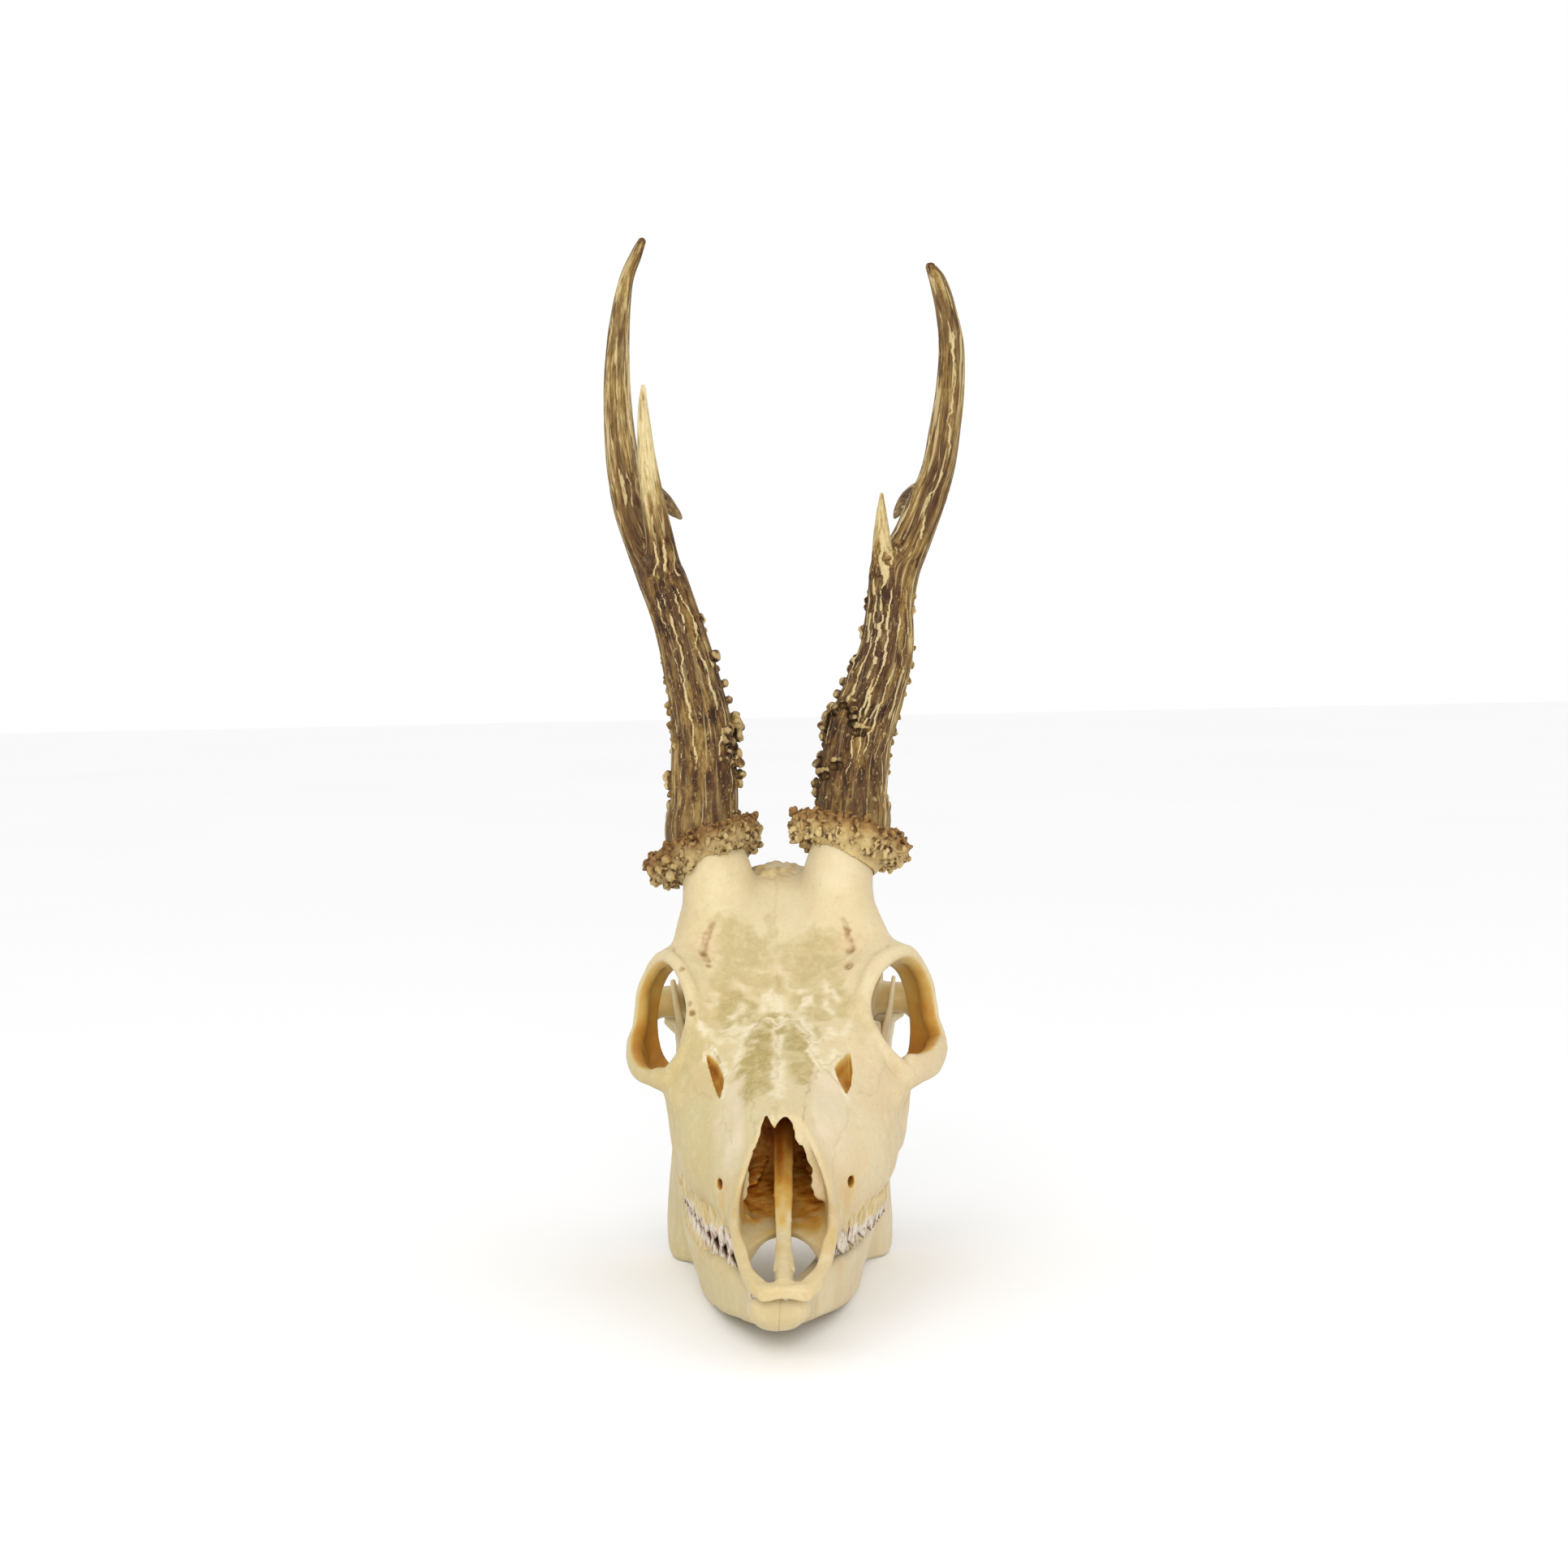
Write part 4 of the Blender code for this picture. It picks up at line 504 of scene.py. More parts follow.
def jaw_shape(step):
    P = np.array(JAW, float)
    Q = np.vstack([P[-1:], P, P[:2]])
    c = []
    for i in range(1, len(Q) - 2):
        for t in (0, 1 / 3, 2 / 3):
            a, b, cc, dd = Q[i - 1], Q[i], Q[i + 1], Q[i + 2]
            c.append(0.5 * (2 * b + (cc - a) * t + (2 * a - 5 * b + 4 * cc - dd) * t * t + (3 * b - a - 3 * cc + dd) * t ** 3))
    c = np.array(c)

    def fn(X, Y, Z):
        d2 = flat_distance(c, Y[0, :, 0][:, None], Z[0, 0, :][None, :])[None]
        chin = ease([-30, -14, -9], [1, 1, 0])(Z) * ease([0, 14, 24, 34], [1, 1, 0.8, 0])(Y)
        d2 = d2 + chin * 0.045 * np.maximum(X, 0) ** 2
        zl = ease([8, 50, 105, 147], [-14, -22, -34, -38])(Y)
        # the lower edge of the angle turns outwards, the upper part of the branch stands upright
        low = ease([-36, -28, -18, -10], [1.0, 0.8, 0.3, 0.0])(Z)
        xc = JX(Y) + low * ease([40, 55, 85, 105, 120, 135, 143, 151], [0, -2.6, -5.2, -5.6, -5.4, -3.4, 0.4, 1.6])(Y)
        xc = xc + ease([125, 145], [0, 1])(Y) * ease([0, 28, 38, 52], [0, -0.6, 1.0, 2.2])(Z)
        th = JT(Y) * ease([-40, -33, -20, -8, 0, 30, 52], [0.9, 1, 1, 0.95, 1, 0.85, 0.62])(Z)
        # stouter along the lower edge of the body
        r = np.minimum(th, ease([22, 40], [4.4, 2.6])(Y))
        a = np.abs(X - xc) - th
        m = np.minimum(np.maximum(a + r, d2 + r), 0)
        return np.sqrt(np.maximum(a + r, 0) ** 2 + np.maximum(d2 + r, 0) ** 2) - r + m

    return np.array([-1, 2, -39.0]), np.array([38, 165, 53.0]), fn


def jaw(step):
    g = Grid((-2 * step, 2, -42), (42, 168, 54), step)
    g.add(jaw_shape(step))
    g.add(ball((30.2, 159.8, 34.0), (5.6, 2.8, 2.3)), 1.2)
    g.add(rod((30.6, 159.4, 31), (30.6, 160, 18), 1.7, 1.4), 1.5)
    # the halves meet at the chin
    g.d = np.maximum(g.d, F(-0.25) - g.axes[0][:, None, None])
    return g


def mirror(d, axes, step, sign=0):
    k0 = int(round(-axes[0][0] / step))
    half = d[k0:]
    full = np.concatenate([half[:0:-1], half], 0)
    lo = (-(half.shape[0] - 1) * step, axes[1][0], axes[2][0])
    return full, lo


def seal(f):
    f[0] = f[-1] = 5; f[:, 0] = f[:, -1] = 5; f[:, :, 0] = f[:, :, -1] = 5
    return f


SEAT = {1: ((20.2, 150.2, 86.0), (0.27, 0.36, 0.89)), -1: ((-20.8, 150.2, 85.4), (-0.37, 0.36, 0.86))}
BURR = {1: (0.2, -0.4, -0.8), -1: (1.3, -0.4, -2.2)}    # how far each collar sits off its seat
ANT = {
 -1: dict(
  beam=[(-21.4,151.5,88,9.6),(-21.1,157,104,9.7),(-21.5,163.4,119.3,9.0),(-24.0,169,132.8,8.1),(-28.1,176.2,149.0,7.1),(-33.4,182.7,163.5,6.8),(-38.8,189.5,174.5,5.7),(-42.5,196.0,184.8,5.2),(-44.6,204.0,197.0,4.9),(-46.0,212.5,209.5,4.4),(-46.4,220.0,222.8,3.9),(-45.4,228.2,238.6,3.1),(-43.4,232.8,250.4,2.3),(-40.4,235.2,257.8,1.9),(-38.4,236.0,262.0,1.2)],
  front=[(-31.4,181.5,158.0,5.4),(-32.3,178.0,170.0,4.5),(-34.4,174.6,185.0,3.6),(-36.0,172.2,200.0,2.6),(-36.5,171.0,212.0,1.7),(-36.3,170.6,219.6,0.7)],
  rear=[(-41.8,198.0,184.5,4.0),(-37.0,207.5,186.2,3.1),(-33.4,217.0,183.6,2.5),(-30.4,226.0,179.4,1.8),(-28.6,232.6,176.8,0.7)],
 ),
 1: dict(
  beam=[(21.4,151.5,88,9.8),(22.4,157,103,9.9),(24.8,162.6,117.3,9.6),(29.2,167.5,129.0,9.0),(33.2,172.6,141.0,7.9),(34.6,177.8,152.4,6.9),(36.8,182.6,163.5,6.9),(41.6,187.4,172.2,5.9),(46.5,194.2,182.4,5.5),(50.6,200.8,192.2,4.9),(53.0,208.0,203.0,4.7),(55.3,216.6,216.4,4.3),(56.1,223.4,228.6,3.9),(55.0,228.2,238.4,3.3),(52.8,231.7,247.4,2.8),(50.6,233.4,252.2,1.6)],
  front=[(34.2,181.0,156.5,5.0),(32.9,179.0,164.0,3.6),(32.5,177.2,172.5,2.8),(32.5,175.8,179.5,1.8),(32.6,174.4,186.6,0.6)],
  rear=[(47.4,199.0,183.5,4.0),(45.0,208.0,184.8,3.1),(42.0,217.0,182.4,2.5),(39.6,226.0,178.4,1.8),(38.4,232.6,175.6,0.7)],
 ),
}


def along_x(f, x0, step, src):
    """The field f, sampled at the places src (an array as wide as f's x axis, or broadcast over y)."""
    i = (src - x0) / step
    i = np.clip(i, 0, f.shape[0] - 1.001)
    k = np.floor(i).astype(int)
    t = (i - k).astype(F)
    if i.ndim == 1:
        return f[k] * (1 - t)[:, None, None] + f[k + 1] * t[:, None, None]
    j = np.arange(f.shape[1])[None, :]
    return f[k, j] * (1 - t)[..., None] + f[k + 1, j] * t[..., None]


def along_z(f, x0, step, src):
    """The field f, sampled at the places src, which differ by height."""
    return along_x(f.transpose(0, 2, 1), x0, step, src).transpose(0, 2, 1)


LEAN = 1.4  # the face stands a little to the animal's left of the brain case
def lean(x, y):
    far = ease([0, 26], [0.15, 1])(np.abs(x))
    eyes = ease([0, 24, 34], [0.1, -0.4, 1])(np.abs(x))
    k = ease([92, 101], [0, 1])(y)
    return LEAN * (far * (1 - k) + eyes * k) * ease([40, 70, 130, 146], [0.3, 1, 1, 0])(y)


SHIFT = ease([-12, 30], [-1.6, 0.8])  # the lower jaw is tipped: its x offset at each height


# ---- noise, and reading a field away from its grid ----

LATTICE = {}


def noise(p, size, seed=1):
    """Smooth noise between -1 and 1 at the rows of p; size is one length or three, in millimetres."""
    if seed not in LATTICE:
        LATTICE[seed] = np.random.RandomState(seed).uniform(-1, 1, (32, 32, 32)).astype(F)
    L = LATTICE[seed]
    q = p / np.asarray(size, float)
    i = np.floor(q)
    f = (q - i).astype(F)
    f = f * f * (3 - 2 * f)
    i = i.astype(int)
    a, b = i % 32, (i + 1) % 32
    out = 0
    for u in (0, 1):
        wu = f[:, 0] if u else 1 - f[:, 0]
        iu = b[:, 0] if u else a[:, 0]
        for v in (0, 1):
            wv = f[:, 1] if v else 1 - f[:, 1]
            iv = b[:, 1] if v else a[:, 1]
            out = out + wu * wv * (L[iu, iv, a[:, 2]] * (1 - f[:, 2]) + L[iu, iv, b[:, 2]] * f[:, 2])
    return out * 1.6


def fractal(p, size, seed=1, n=3):
    out, w = 0, 1.0
    for k in range(n):
        out = out + w * noise(p, np.asarray(size, float) / 2 ** k, seed + k)
        w *= 0.5
    return out / 1.75


def sample(f, lo, step, p):
    q = (p - np.array(lo)) / step
    q = np.clip(q, 0, np.array(f.shape) - 1.001)
    i = q.astype(int)
    t = (q - i).astype(F)
    x, y, z = i.T
    a, b, c = t.T
    out = 0
    for u in (0, 1):
        for v in (0, 1):
            w = (a if u else 1 - a) * (b if v else 1 - b)
            out = out + w * (f[x + u, y + v, z] * (1 - c) + f[x + u, y + v, z + 1] * c)
    return out


def slope(f, lo, step, p, h=0.6):
    g = np.empty((len(p), 3))
    for k in range(3):
        e = np.zeros(3)
        e[k] = h * step
        g[:, k] = sample(f, lo, step, p + e) - sample(f, lo, step, p - e)
    return g / (2 * h * step)


def settle_on(v, f, lo, step, rounds=2):
    """Move the corners onto the field's zero level."""
    for _ in range(rounds):
        g = slope(f, lo, step, v)
        d = sample(f, lo, step, v)
        k = d / np.maximum((g * g).sum(1), 0.2)
        v = v - g * np.clip(k, -0.6 * step, 0.6 * step)[:, None]
    return v


def relax(v, q, w=0.5):
    """One even-out of the corners with their neighbours."""
    s = np.zeros_like(v)
    n = np.zeros(len(v))
    for a, b in ((0, 1), (1, 2), (2, 3), (3, 0)):
        for i, j in ((a, b), (b, a)):
            for k in range(3):
                s[:, k] += np.bincount(q[:, i], v[q[:, j], k], len(v))
            n += np.bincount(q[:, i], minlength=len(v))
    return v * (1 - w) + w * s / np.maximum(n, 1)[:, None]


def skin(f, lo, step, even=0.6):
    """A field's surface as evened quads, with outward normals."""
    v, q = nets(f, lo, step)
    v, q = biggest(v, q)
    v = relax(v, q, even)
    v = settle_on(v, f, lo, step)
    return v, q, normals(v, q)


def normals(v, q):
    a, b, c, d = [v[q[:, k]] for k in range(4)]
    m = np.cross(c - a, d - b)
    n = np.zeros_like(v)
    for i in range(4):
        for k in range(3):
            n[:, k] += np.bincount(q[:, i], m[:, k], len(v))
    return n / (np.linalg.norm(n, axis=1)[:, None] + 1e-9)


def biggest(verts, quads):
    """Only the largest connected surface: no loose crumbs and no sealed bubbles inside."""
    label = np.arange(len(verts))
    while True:
        low = label[quads].min(1)
        new = label.copy()
        for k in range(4):
            np.minimum.at(new, quads[:, k], low)
        new = new[new]
        new = new[new]
        if (new == label).all():
            break
        label = new
    ids, count = np.unique(label, return_counts=True)
    keep = label == ids[count.argmax()]
    index = np.cumsum(keep) - 1
    return verts[keep], index[quads[keep[quads[:, 0]]]]


def hollowness(f, lo, step, v, n, reach):
    """1 in a deep crack, 0 on open ground, below 0 on a sharp edge."""
    return 1 - sample(f, lo, step, v + n * reach) / reach


def to_lines(p, lines, drop=None):
    """Distance from the rows of p to the nearest of some runs of points; drop leaves one axis out."""
    keep = [k for k in range(3) if k != drop]
    best = np.full(len(p), 1e9)
    P = p[:, keep]
    for run in lines:
        R = np.array(run, float)
        R = R[:, keep] if R.shape[1] == 3 else R
        for a, b in zip(R[:-1], R[1:]):
            e = b - a
            t = np.clip(((P - a) @ e) / max(e @ e, 1e-9), 0, 1)
            best = np.minimum(best, ((P - a - t[:, None] * e) ** 2).sum(1))
    return np.sqrt(best)


def blob(p, c, r):
    """1 in the middle of an ellipse over x and y, falling smoothly to 0 at its rim."""
    d = ((p[:, 0] - c[0]) / r[0]) ** 2 + ((p[:, 1] - c[1]) / r[1]) ** 2
    return np.clip(1.25 - d, 0, 1)


def near(p, c, r):
    """1 at a point, 0 beyond r."""
    return np.clip(1 - np.sqrt(((p - np.array(c)) ** 2).sum(1)) / r, 0, 1)


# ---- the bones ----

# seams between the bones of the face, over x and y, on the upper side
SEAMS = [
    [(-0.9, 152), (-0.8, 140), (-0.6, 128), (-0.9, 116), (-1.0, 104), (-1.0, 96), (-1.0, 84), (-1.1, 70), (-1.2, 58), (-1.2, 44)],
    [(-1.0, 96.2), (-3.0, 99.1), (-5.2, 99.6), (-7.2, 95), (-8.8, 87.1), (-10.6, 82.3), (-12.4, 79.5), (-15.3, 81.6), (-18.2, 88.1)],
    [(-1.0, 96.2), (1.5, 98.6), (4.6, 98.6), (7.2, 94), (8.5, 86.2), (9.6, 81), (10.7, 78.2), (13.9, 80.4), (16.6, 86)],
    [(-12.3, 79), (-9.8, 70), (-7.9, 62), (-7.3, 53), (-7.6, 47)],
    [(10.9, 78), (8.9, 71.9), (6.6, 62.6), (5.9, 52.9), (6.2, 47)],
    [(-12.3, 79), (-14.8, 76.4), (-17.0, 74.6)],
    [(10.9, 78), (14.8, 75.6), (17.2, 74.4)],
    [(-24, 158), (-16, 163), (-8, 161.5), (0, 165), (8, 162), (16, 163), (24, 158)], [(0, 165), (-0.4, 178), (0.2, 190)], [(-22, 186), (-12, 189), (0, 190.5), (12, 189), (22, 186)],
]
# seams on the cheeks, over y and z
CHEEK_SEAMS = [[(98, 30), (93, 25), (90, 20), (95, 14), (101, 11), (104, 7)], [(77, 31), (84, 30), (90, 33), (96, 36)], [(70, 30), (66, 27), (60, 25.5), (52, 21), (46, 17), (42, 10)]]
# shallow vessel marks on the sides
RILLS = [
    [(27.5, 140, 50), (29.0, 150, 46), (30.0, 160, 47), (29.5, 172, 46)], [(-27.5, 141, 51), (-29.0, 151, 48), (-30.0, 162, 48), (-29.0, 174, 44)], [(28.6, 150, 46), (27.5, 156, 54), (25, 162, 61)], [(-28.6, 150, 48), (-27, 157, 56), (-24, 164, 62)],
]
# darker patches on the brow and the root of the nose: centre, half sizes over x and y, strength
PATCHES = [
    ((-9.6, 124.5), (10.0, 7.0), 0.62), ((-13.6, 103.0), (6.4, 8.0), 0.85), ((10.8, 104.0), (9.0, 7.4), 0.7), ((8.6, 119.5), (9.4, 9.0), 0.6),
    ((-4.2, 98.0), (3.6, 4.6), 0.95), ((-6.0, 91.0), (4.4, 7.0), 1.15), ((-7.2, 81.0), (4.6, 8.0), 1.1), ((-6.6, 69.0), (3.8, 8.0), 0.9), ((-3.2, 84.0), (3.0, 12.0), 0.7),
    ((3.6, 96.0), (3.4, 5.0), 0.85), ((5.4, 87.0), (4.2, 8.4), 1.0), ((6.0, 75.0), (3.6, 8.0), 0.85), ((-1.6, 133.6), (3.0, 6.2), 0.45), ((2.4, 82.0), (2.6, 12.0), 0.55),
    ((-17.6, 111.5), (5.4, 4.6), 0.5), ((15.0, 112.0), (5.6, 3.8), 0.5), ((-4.6, 113.5), (6.6, 3.4), 0.5), ((6.5, 112.4), (7.6, 3.0), 0.5), ((-22.5, 96.0), (4.0, 6.0), 0.35),
    ((22.0, 98.0), (5.0, 6.0), 0.3), ((0.0, 142.0), (7.0, 8.0), 0.12), ((-12.0, 117.0), (7.0, 4.4), 0.5), ((12.6, 125.6), (5.0, 4.0), 0.4),
]
WEB = [
    [(-0.8, 118), (-1.4, 112), (-2.6, 109), (-5.0, 104.4), (-7.3, 101), (-8.8, 95), (-10.2, 87.7), (-12.8, 81)], [(-0.8, 117), (1.4, 110), (3.1, 104), (5.6, 99.5), (7.5, 95.5), (9.6, 84.5)],
    [(-1.0, 108), (-0.6, 96), (-0.8, 84), (-0.8, 60)], [(-2.6, 109), (-8.0, 110.5), (-12.5, 112.5), (-18, 106)], [(2.0, 109), (8.0, 112.6), (13.0, 110.4), (17.5, 104)],
    [(-4.6, 104), (-9.0, 106.4), (-12.6, 101.0)], [(4.0, 103), (8.6, 107.0), (13.0, 103.0)], [(-8.8, 95), (-12.4, 96.6), (-15.6, 92.6)], [(7.8, 95), (11.6, 96.2), (14.6, 92.0)],
]
# pale ragged edges: of the slits, and where brow, nose and cheek bones meet
EDGES = [
    [(-20.6, 91.8), (-18.2, 88.6), (-16.0, 83.4), (-14.6, 80.0)], [(17.4, 87.2), (15.2, 83.4), (13.8, 80.6)], [(-14.2, 78.6), (-15.2, 75.6), (-16.4, 73.6)], [(14.4, 78.4), (15.8, 74.8), (17.4, 73.4)],
    [(-22.0, 100), (-19.8, 95.6), (-17.0, 93.0), (-13.0, 90.6), (-10.6, 88)], [(20.4, 98), (17.6, 93), (14.0, 91.4), (10.4, 88.4)],
]
# grooves above the orbits (their runs, with radius), and pits
GROOVES = [
    [(-19.2, 128.8, 68.3, 0.45), (-19.9, 127.6, 66.9, 0.8), (-20.7, 126.0, 65.0, 1.0), (-21.2, 124.4, 63.5, 1.1), (-21.7, 122.6, 62.2, 1.15), (-21.3, 121.2, 61.2, 0.7), (-20.4, 119.6, 60.3, 0.4)],
    [(18.5, 129.4, 68.8, 0.4), (19.0, 128.2, 67.4, 0.95), (19.6, 126.4, 65.6, 0.7), (20.1, 124.4, 63.8, 0.95), (20.3, 122.6, 62.2, 1.1), (19.9, 121.2, 61.4, 0.5)],
]
PITS = [((19.3, 115.9, 58.3), 1.25), ((-19.9, 117.4, 59.2), 0.6), ((-27.3, 110.3, 59.8), 0.6), ((-24.4, 100.6, 49.2), 0.55), ((-25.2, 102.2, 51.6), 0.4)]
# low lumps along the seam between the stalks of the antlers
CREST = [
    ((-9.4, 152.0, 76.0), (2.6, 3.0, 1.9)), ((-5.2, 154.5, 77.4), (2.4, 3.0, 2.0)), ((-1.2, 152.6, 77.9), (2.4, 2.6, 1.7)), ((3.0, 155.6, 77.7), (2.8, 3.0, 2.2)),
    ((7.4, 154.0, 76.8), (2.2, 2.6, 2.2)), ((10.4, 151.0, 75.8), (2.0, 2.4, 1.6)), ((-6.6, 156.6, 77.6), (1.3, 1.6, 2.2)), ((4.6, 157.6, 78.6), (1.4, 1.4, 1.5)),
]


def bone_cranium():
    step = STEP["cranium"]
    g = cranium(step)
    # the scrolls in the passage
    for a, b, wide, w, t in (
        ((11.2, 62, 14), (8.0, 84, 18), (0.4, 0, 1), 3.4, 0.5), ((9.2, 60, 22), (6.4, 84, 27), (0.6, 0, 1), 2.6, 0.5),
        ((10.4, 66, 9.6), (7.0, 84, 12), (1, 0, -0.3), 3.4, 0.5), ((5.0, 66, 29), (4.6, 84, 31), (0.2, 0, 1), 2.6, 0.5),
    ):
        g.add(strap(a, b, wide, w, t), 0.8)
    # the middle plate is wider towards the top, between two edges
    edge = [(1.9, 84, 28.5), (1.9, 72, 24.2), (1.85, 58, 17.9), (1.7, 46, 12.4), (1.45, 36, 8.6), (1.35, 28, 6.0), (1.6, 20, 4.0), (2.2, 13, 2.4)]
    for a, b in zip(edge[:-1], edge[1:]):
        g.add(rod(a, b, 0.85), 0.5)
    full, lo = mirror(g.d, g.axes, step)
    x = lo[0] + step * np.arange(full.shape[0])
    full = along_x(full, lo[0], step, x[:, None] - lean(x[:, None], g.axes[1][None, :]))
    X, Y, Z = x[:, None, None].astype(F), g.axes[1][None, :, None], g.axes[2][None, None, :]
    full = slits(full, lo, step)
    jagged_nose(full, lo, step)
    # the slits have ragged edges
    rs = np.random.RandomState(4)
    for edge in SLITS:
        P = np.array(edge)
        for a, b in zip(P, np.roll(P, -1, 0)):
            for t in (0.15, 0.4, 0.62, 0.85):
                dig(full, lo, step, a + (b - a) * t + rs.uniform(-0.2, 0.2, 3), rs.uniform(0.35, 0.85), 0.3)
    for run in GROOVES:
        C = curve(run, 5)
        for i, (x0, y0, z0, r) in enumerate(C):
            dig(full, lo, step, (x0, y0, z0 + 0.35), r * (0.85 + 0.3 * math.sin(2.3 * i)), 0.5)
    for c, r in PITS:
        dig(full, lo, step, c, r, 0.35)
    for c, r in CREST:
        swell(full, lo, step, c, r, 0.8)
    # the lower rim of the left orbit stands higher
    for c in curve([(44.0, 122.5, 33.0, 2), (43.2, 117.0, 32.6, 2), (41.4, 111.5, 31.8, 2), (38.6, 106.5, 31.6, 2), (35.6, 103.0, 32.6, 2)], 4)[:, :3]:
        swell(full, lo, step, c, (2.3, 2.4, 2.6), 1.6)
    for s in (-1, 1):
        top = plane(X, Y, Z, *SEAT[s])
        full = np.maximum(full, np.where((Z > 66) & (X * s > 0), top - F(0.8), F(-50)))
    return seal(full), lo, step


# the jagged edge of the nose opening: x, and height where the line of sight passes y = 46
NOTCH = [
    (-11.8, 8.6), (-11.2, 10.2), (-10.0, 11.4), (-9.2, 12.6), (-9.4, 14.2), (-8.6, 15.2), (-9.0, 16.6), (-8.5, 18.0), (-8.9, 19.2), (-8.3, 20.7), (-8.6, 22.2), (-7.9, 24.2), (-7.1, 24.6),
    (-6.4, 25.0), (-6.0, 26.4), (-5.2, 28.4), (-5.1, 30.2), (-4.6, 31.7), (-3.9, 33.4), (-3.3, 32.0), (-2.9, 31.2), (-2.4, 30.4), (-1.9, 29.6), (-1.4, 30.3), (-1.0, 31.0), (-0.1, 32.2),
    (0.6, 32.6), (1.2, 33.0), (1.8, 32.4), (2.4, 31.6), (2.8, 30.7), (2.9, 29.8), (3.4, 29.0), (3.2, 27.8), (3.6, 26.5), (4.2, 25.8), (4.6, 24.9), (5.3, 25.6), (5.6, 24.2), (6.1, 23.1),
    (6.2, 21.8), (6.8, 20.4), (7.5, 19.6), (7.9, 18.6), (7.4, 17.2), (7.8, 16.0), (7.3, 14.6), (8.1, 13.2), (8.1, 12.2), (9.2, 11.0), (10.2, 10.8), (10.9, 10.4), (11.8, 8.6),
]
PLATE_AT = ease([8, 12, 16, 20, 24, 28, 34], [46, 47, 48, 48.6, 48.9, 50.2, 53])    # where the thin edge stands, y at each height


def jagged_nose(f, lo, step):
    """Thin plates inside the rim of the nose, broken off along NOTCH."""
    i0 = [int((c - lo[k]) / step) for k, c in enumerate((-15, 40, 6))]
    i1 = [int((c - lo[k]) / step) + 1 for k, c in enumerate((15, 58, 37))]
    s = tuple(slice(a, b) for a, b in zip(i0, i1))
    x, y, z = [lo[k] + step * np.arange(i0[k], i1[k]) for k in range(3)]
    up = np.arange(4, 42, 0.2)
    flat = flat_distance(np.array(NOTCH), x[:, None], up[None, :])
    rs = np.random.RandomState(8)
    inside = np.empty((len(x), len(y), len(z)), F)
    for j, yy in enumerate(y):
        k = np.clip((z + 0.158 * (yy - 46) - up[0]) / 0.2, 0, len(up) - 1.001)
        m = k.astype(int)
        t = k - m
        inside[:, j] = flat[:, m] * (1 - t) + flat[:, m + 1] * t
    X, Y, Z = x[:, None, None].astype(F), y[None, :, None].astype(F), z[None, None, :].astype(F)
    cut = np.maximum(np.maximum(inside, 24 - Z), np.maximum(Y - 56, 42 - Y))
    f[s] = np.maximum(f[s], -cut.astype(F))
    hollow = nose_hollow(np.abs(X - F(LEAN)), Y, Z)
    plate = np.maximum(np.maximum(np.abs(Y - PLATE_AT(Z)) * 0.9 - 0.5, -inside), np.maximum(hollow - 0.9, 8.6 - Z))
    f[s] = smin(f[s], plate.astype(F), 0.25)


def NOSE_AT(y, z):
    """Half width of the nasal passage at a height."""
    ys = [r[0] for r in NOSE]
    wf, wm, wt, zf, zr = [float(ease(ys, [r[k] for r in NOSE])(y)) for k in range(1, 6)]
    t = min(1.0, max(0.0, (z - zf) / (zr - zf)))
    return wf * (1 - t) ** 2 + 2 * t * (1 - t) * (2 * wm - 0.5 * (wf + wt)) + wt * t ** 2


def swell(f, lo, step, c, r, k):
    """Raise a low lump on a field."""
    i0 = [max(0, int((c[a] - r[a] - 2 - lo[a]) / step)) for a in range(3)]
    i1 = [int((c[a] + r[a] + 2 - lo[a]) / step) + 1 for a in range(3)]
    s = tuple(slice(a, b) for a, b in zip(i0, i1))
    ax = [(lo[a] + step * np.arange(i0[a], i0[a] + f[s].shape[a])).astype(F).reshape([-1 if m == a else 1 for m in range(3)]) for a in range(3)]
    f[s] = smin(f[s], ball(c, r)[2](*ax).astype(F), k)


def dig(f, lo, step, c, r, k):
    """Take a ball out of a field."""
    i0 = [max(0, int((c[a] - r - 2 - lo[a]) / step)) for a in range(3)]
    i1 = [int((c[a] + r + 2 - lo[a]) / step) + 1 for a in range(3)]
    s = tuple(slice(a, b) for a, b in zip(i0, i1))
    ax = [lo[a] + step * np.arange(i0[a], i0[a] + f[s].shape[a]) for a in range(3)]
    d = np.sqrt((ax[0][:, None, None] - c[0]) ** 2 + (ax[1][None, :, None] - c[1]) ** 2 + (ax[2][None, None, :] - c[2]) ** 2) - r
    f[s] = -smin(-f[s], d.astype(F), k)


def plane(X, Y, Z, c, n):
    n = np.array(n, float) / np.linalg.norm(n)
    return (X - F(c[0])) * F(n[0]) + (Y - F(c[1])) * F(n[1]) + (Z - F(c[2])) * F(n[2])


def SLIT_TOP(v):
    """Height of the face's surface over the two slits."""
    out = np.zeros(len(v))
    for edge, side in zip(SLITS, (v[:, 0] < 0, v[:, 0] >= 0)):
        P = np.array(edge)
        a, b, c = np.linalg.lstsq(np.stack([P[:, 0], P[:, 1], np.ones(len(P))], 1), P[:, 2], rcond=None)[0]
        out[side] = (a * v[:, 0] + b * v[:, 1] + c)[side]
    return out


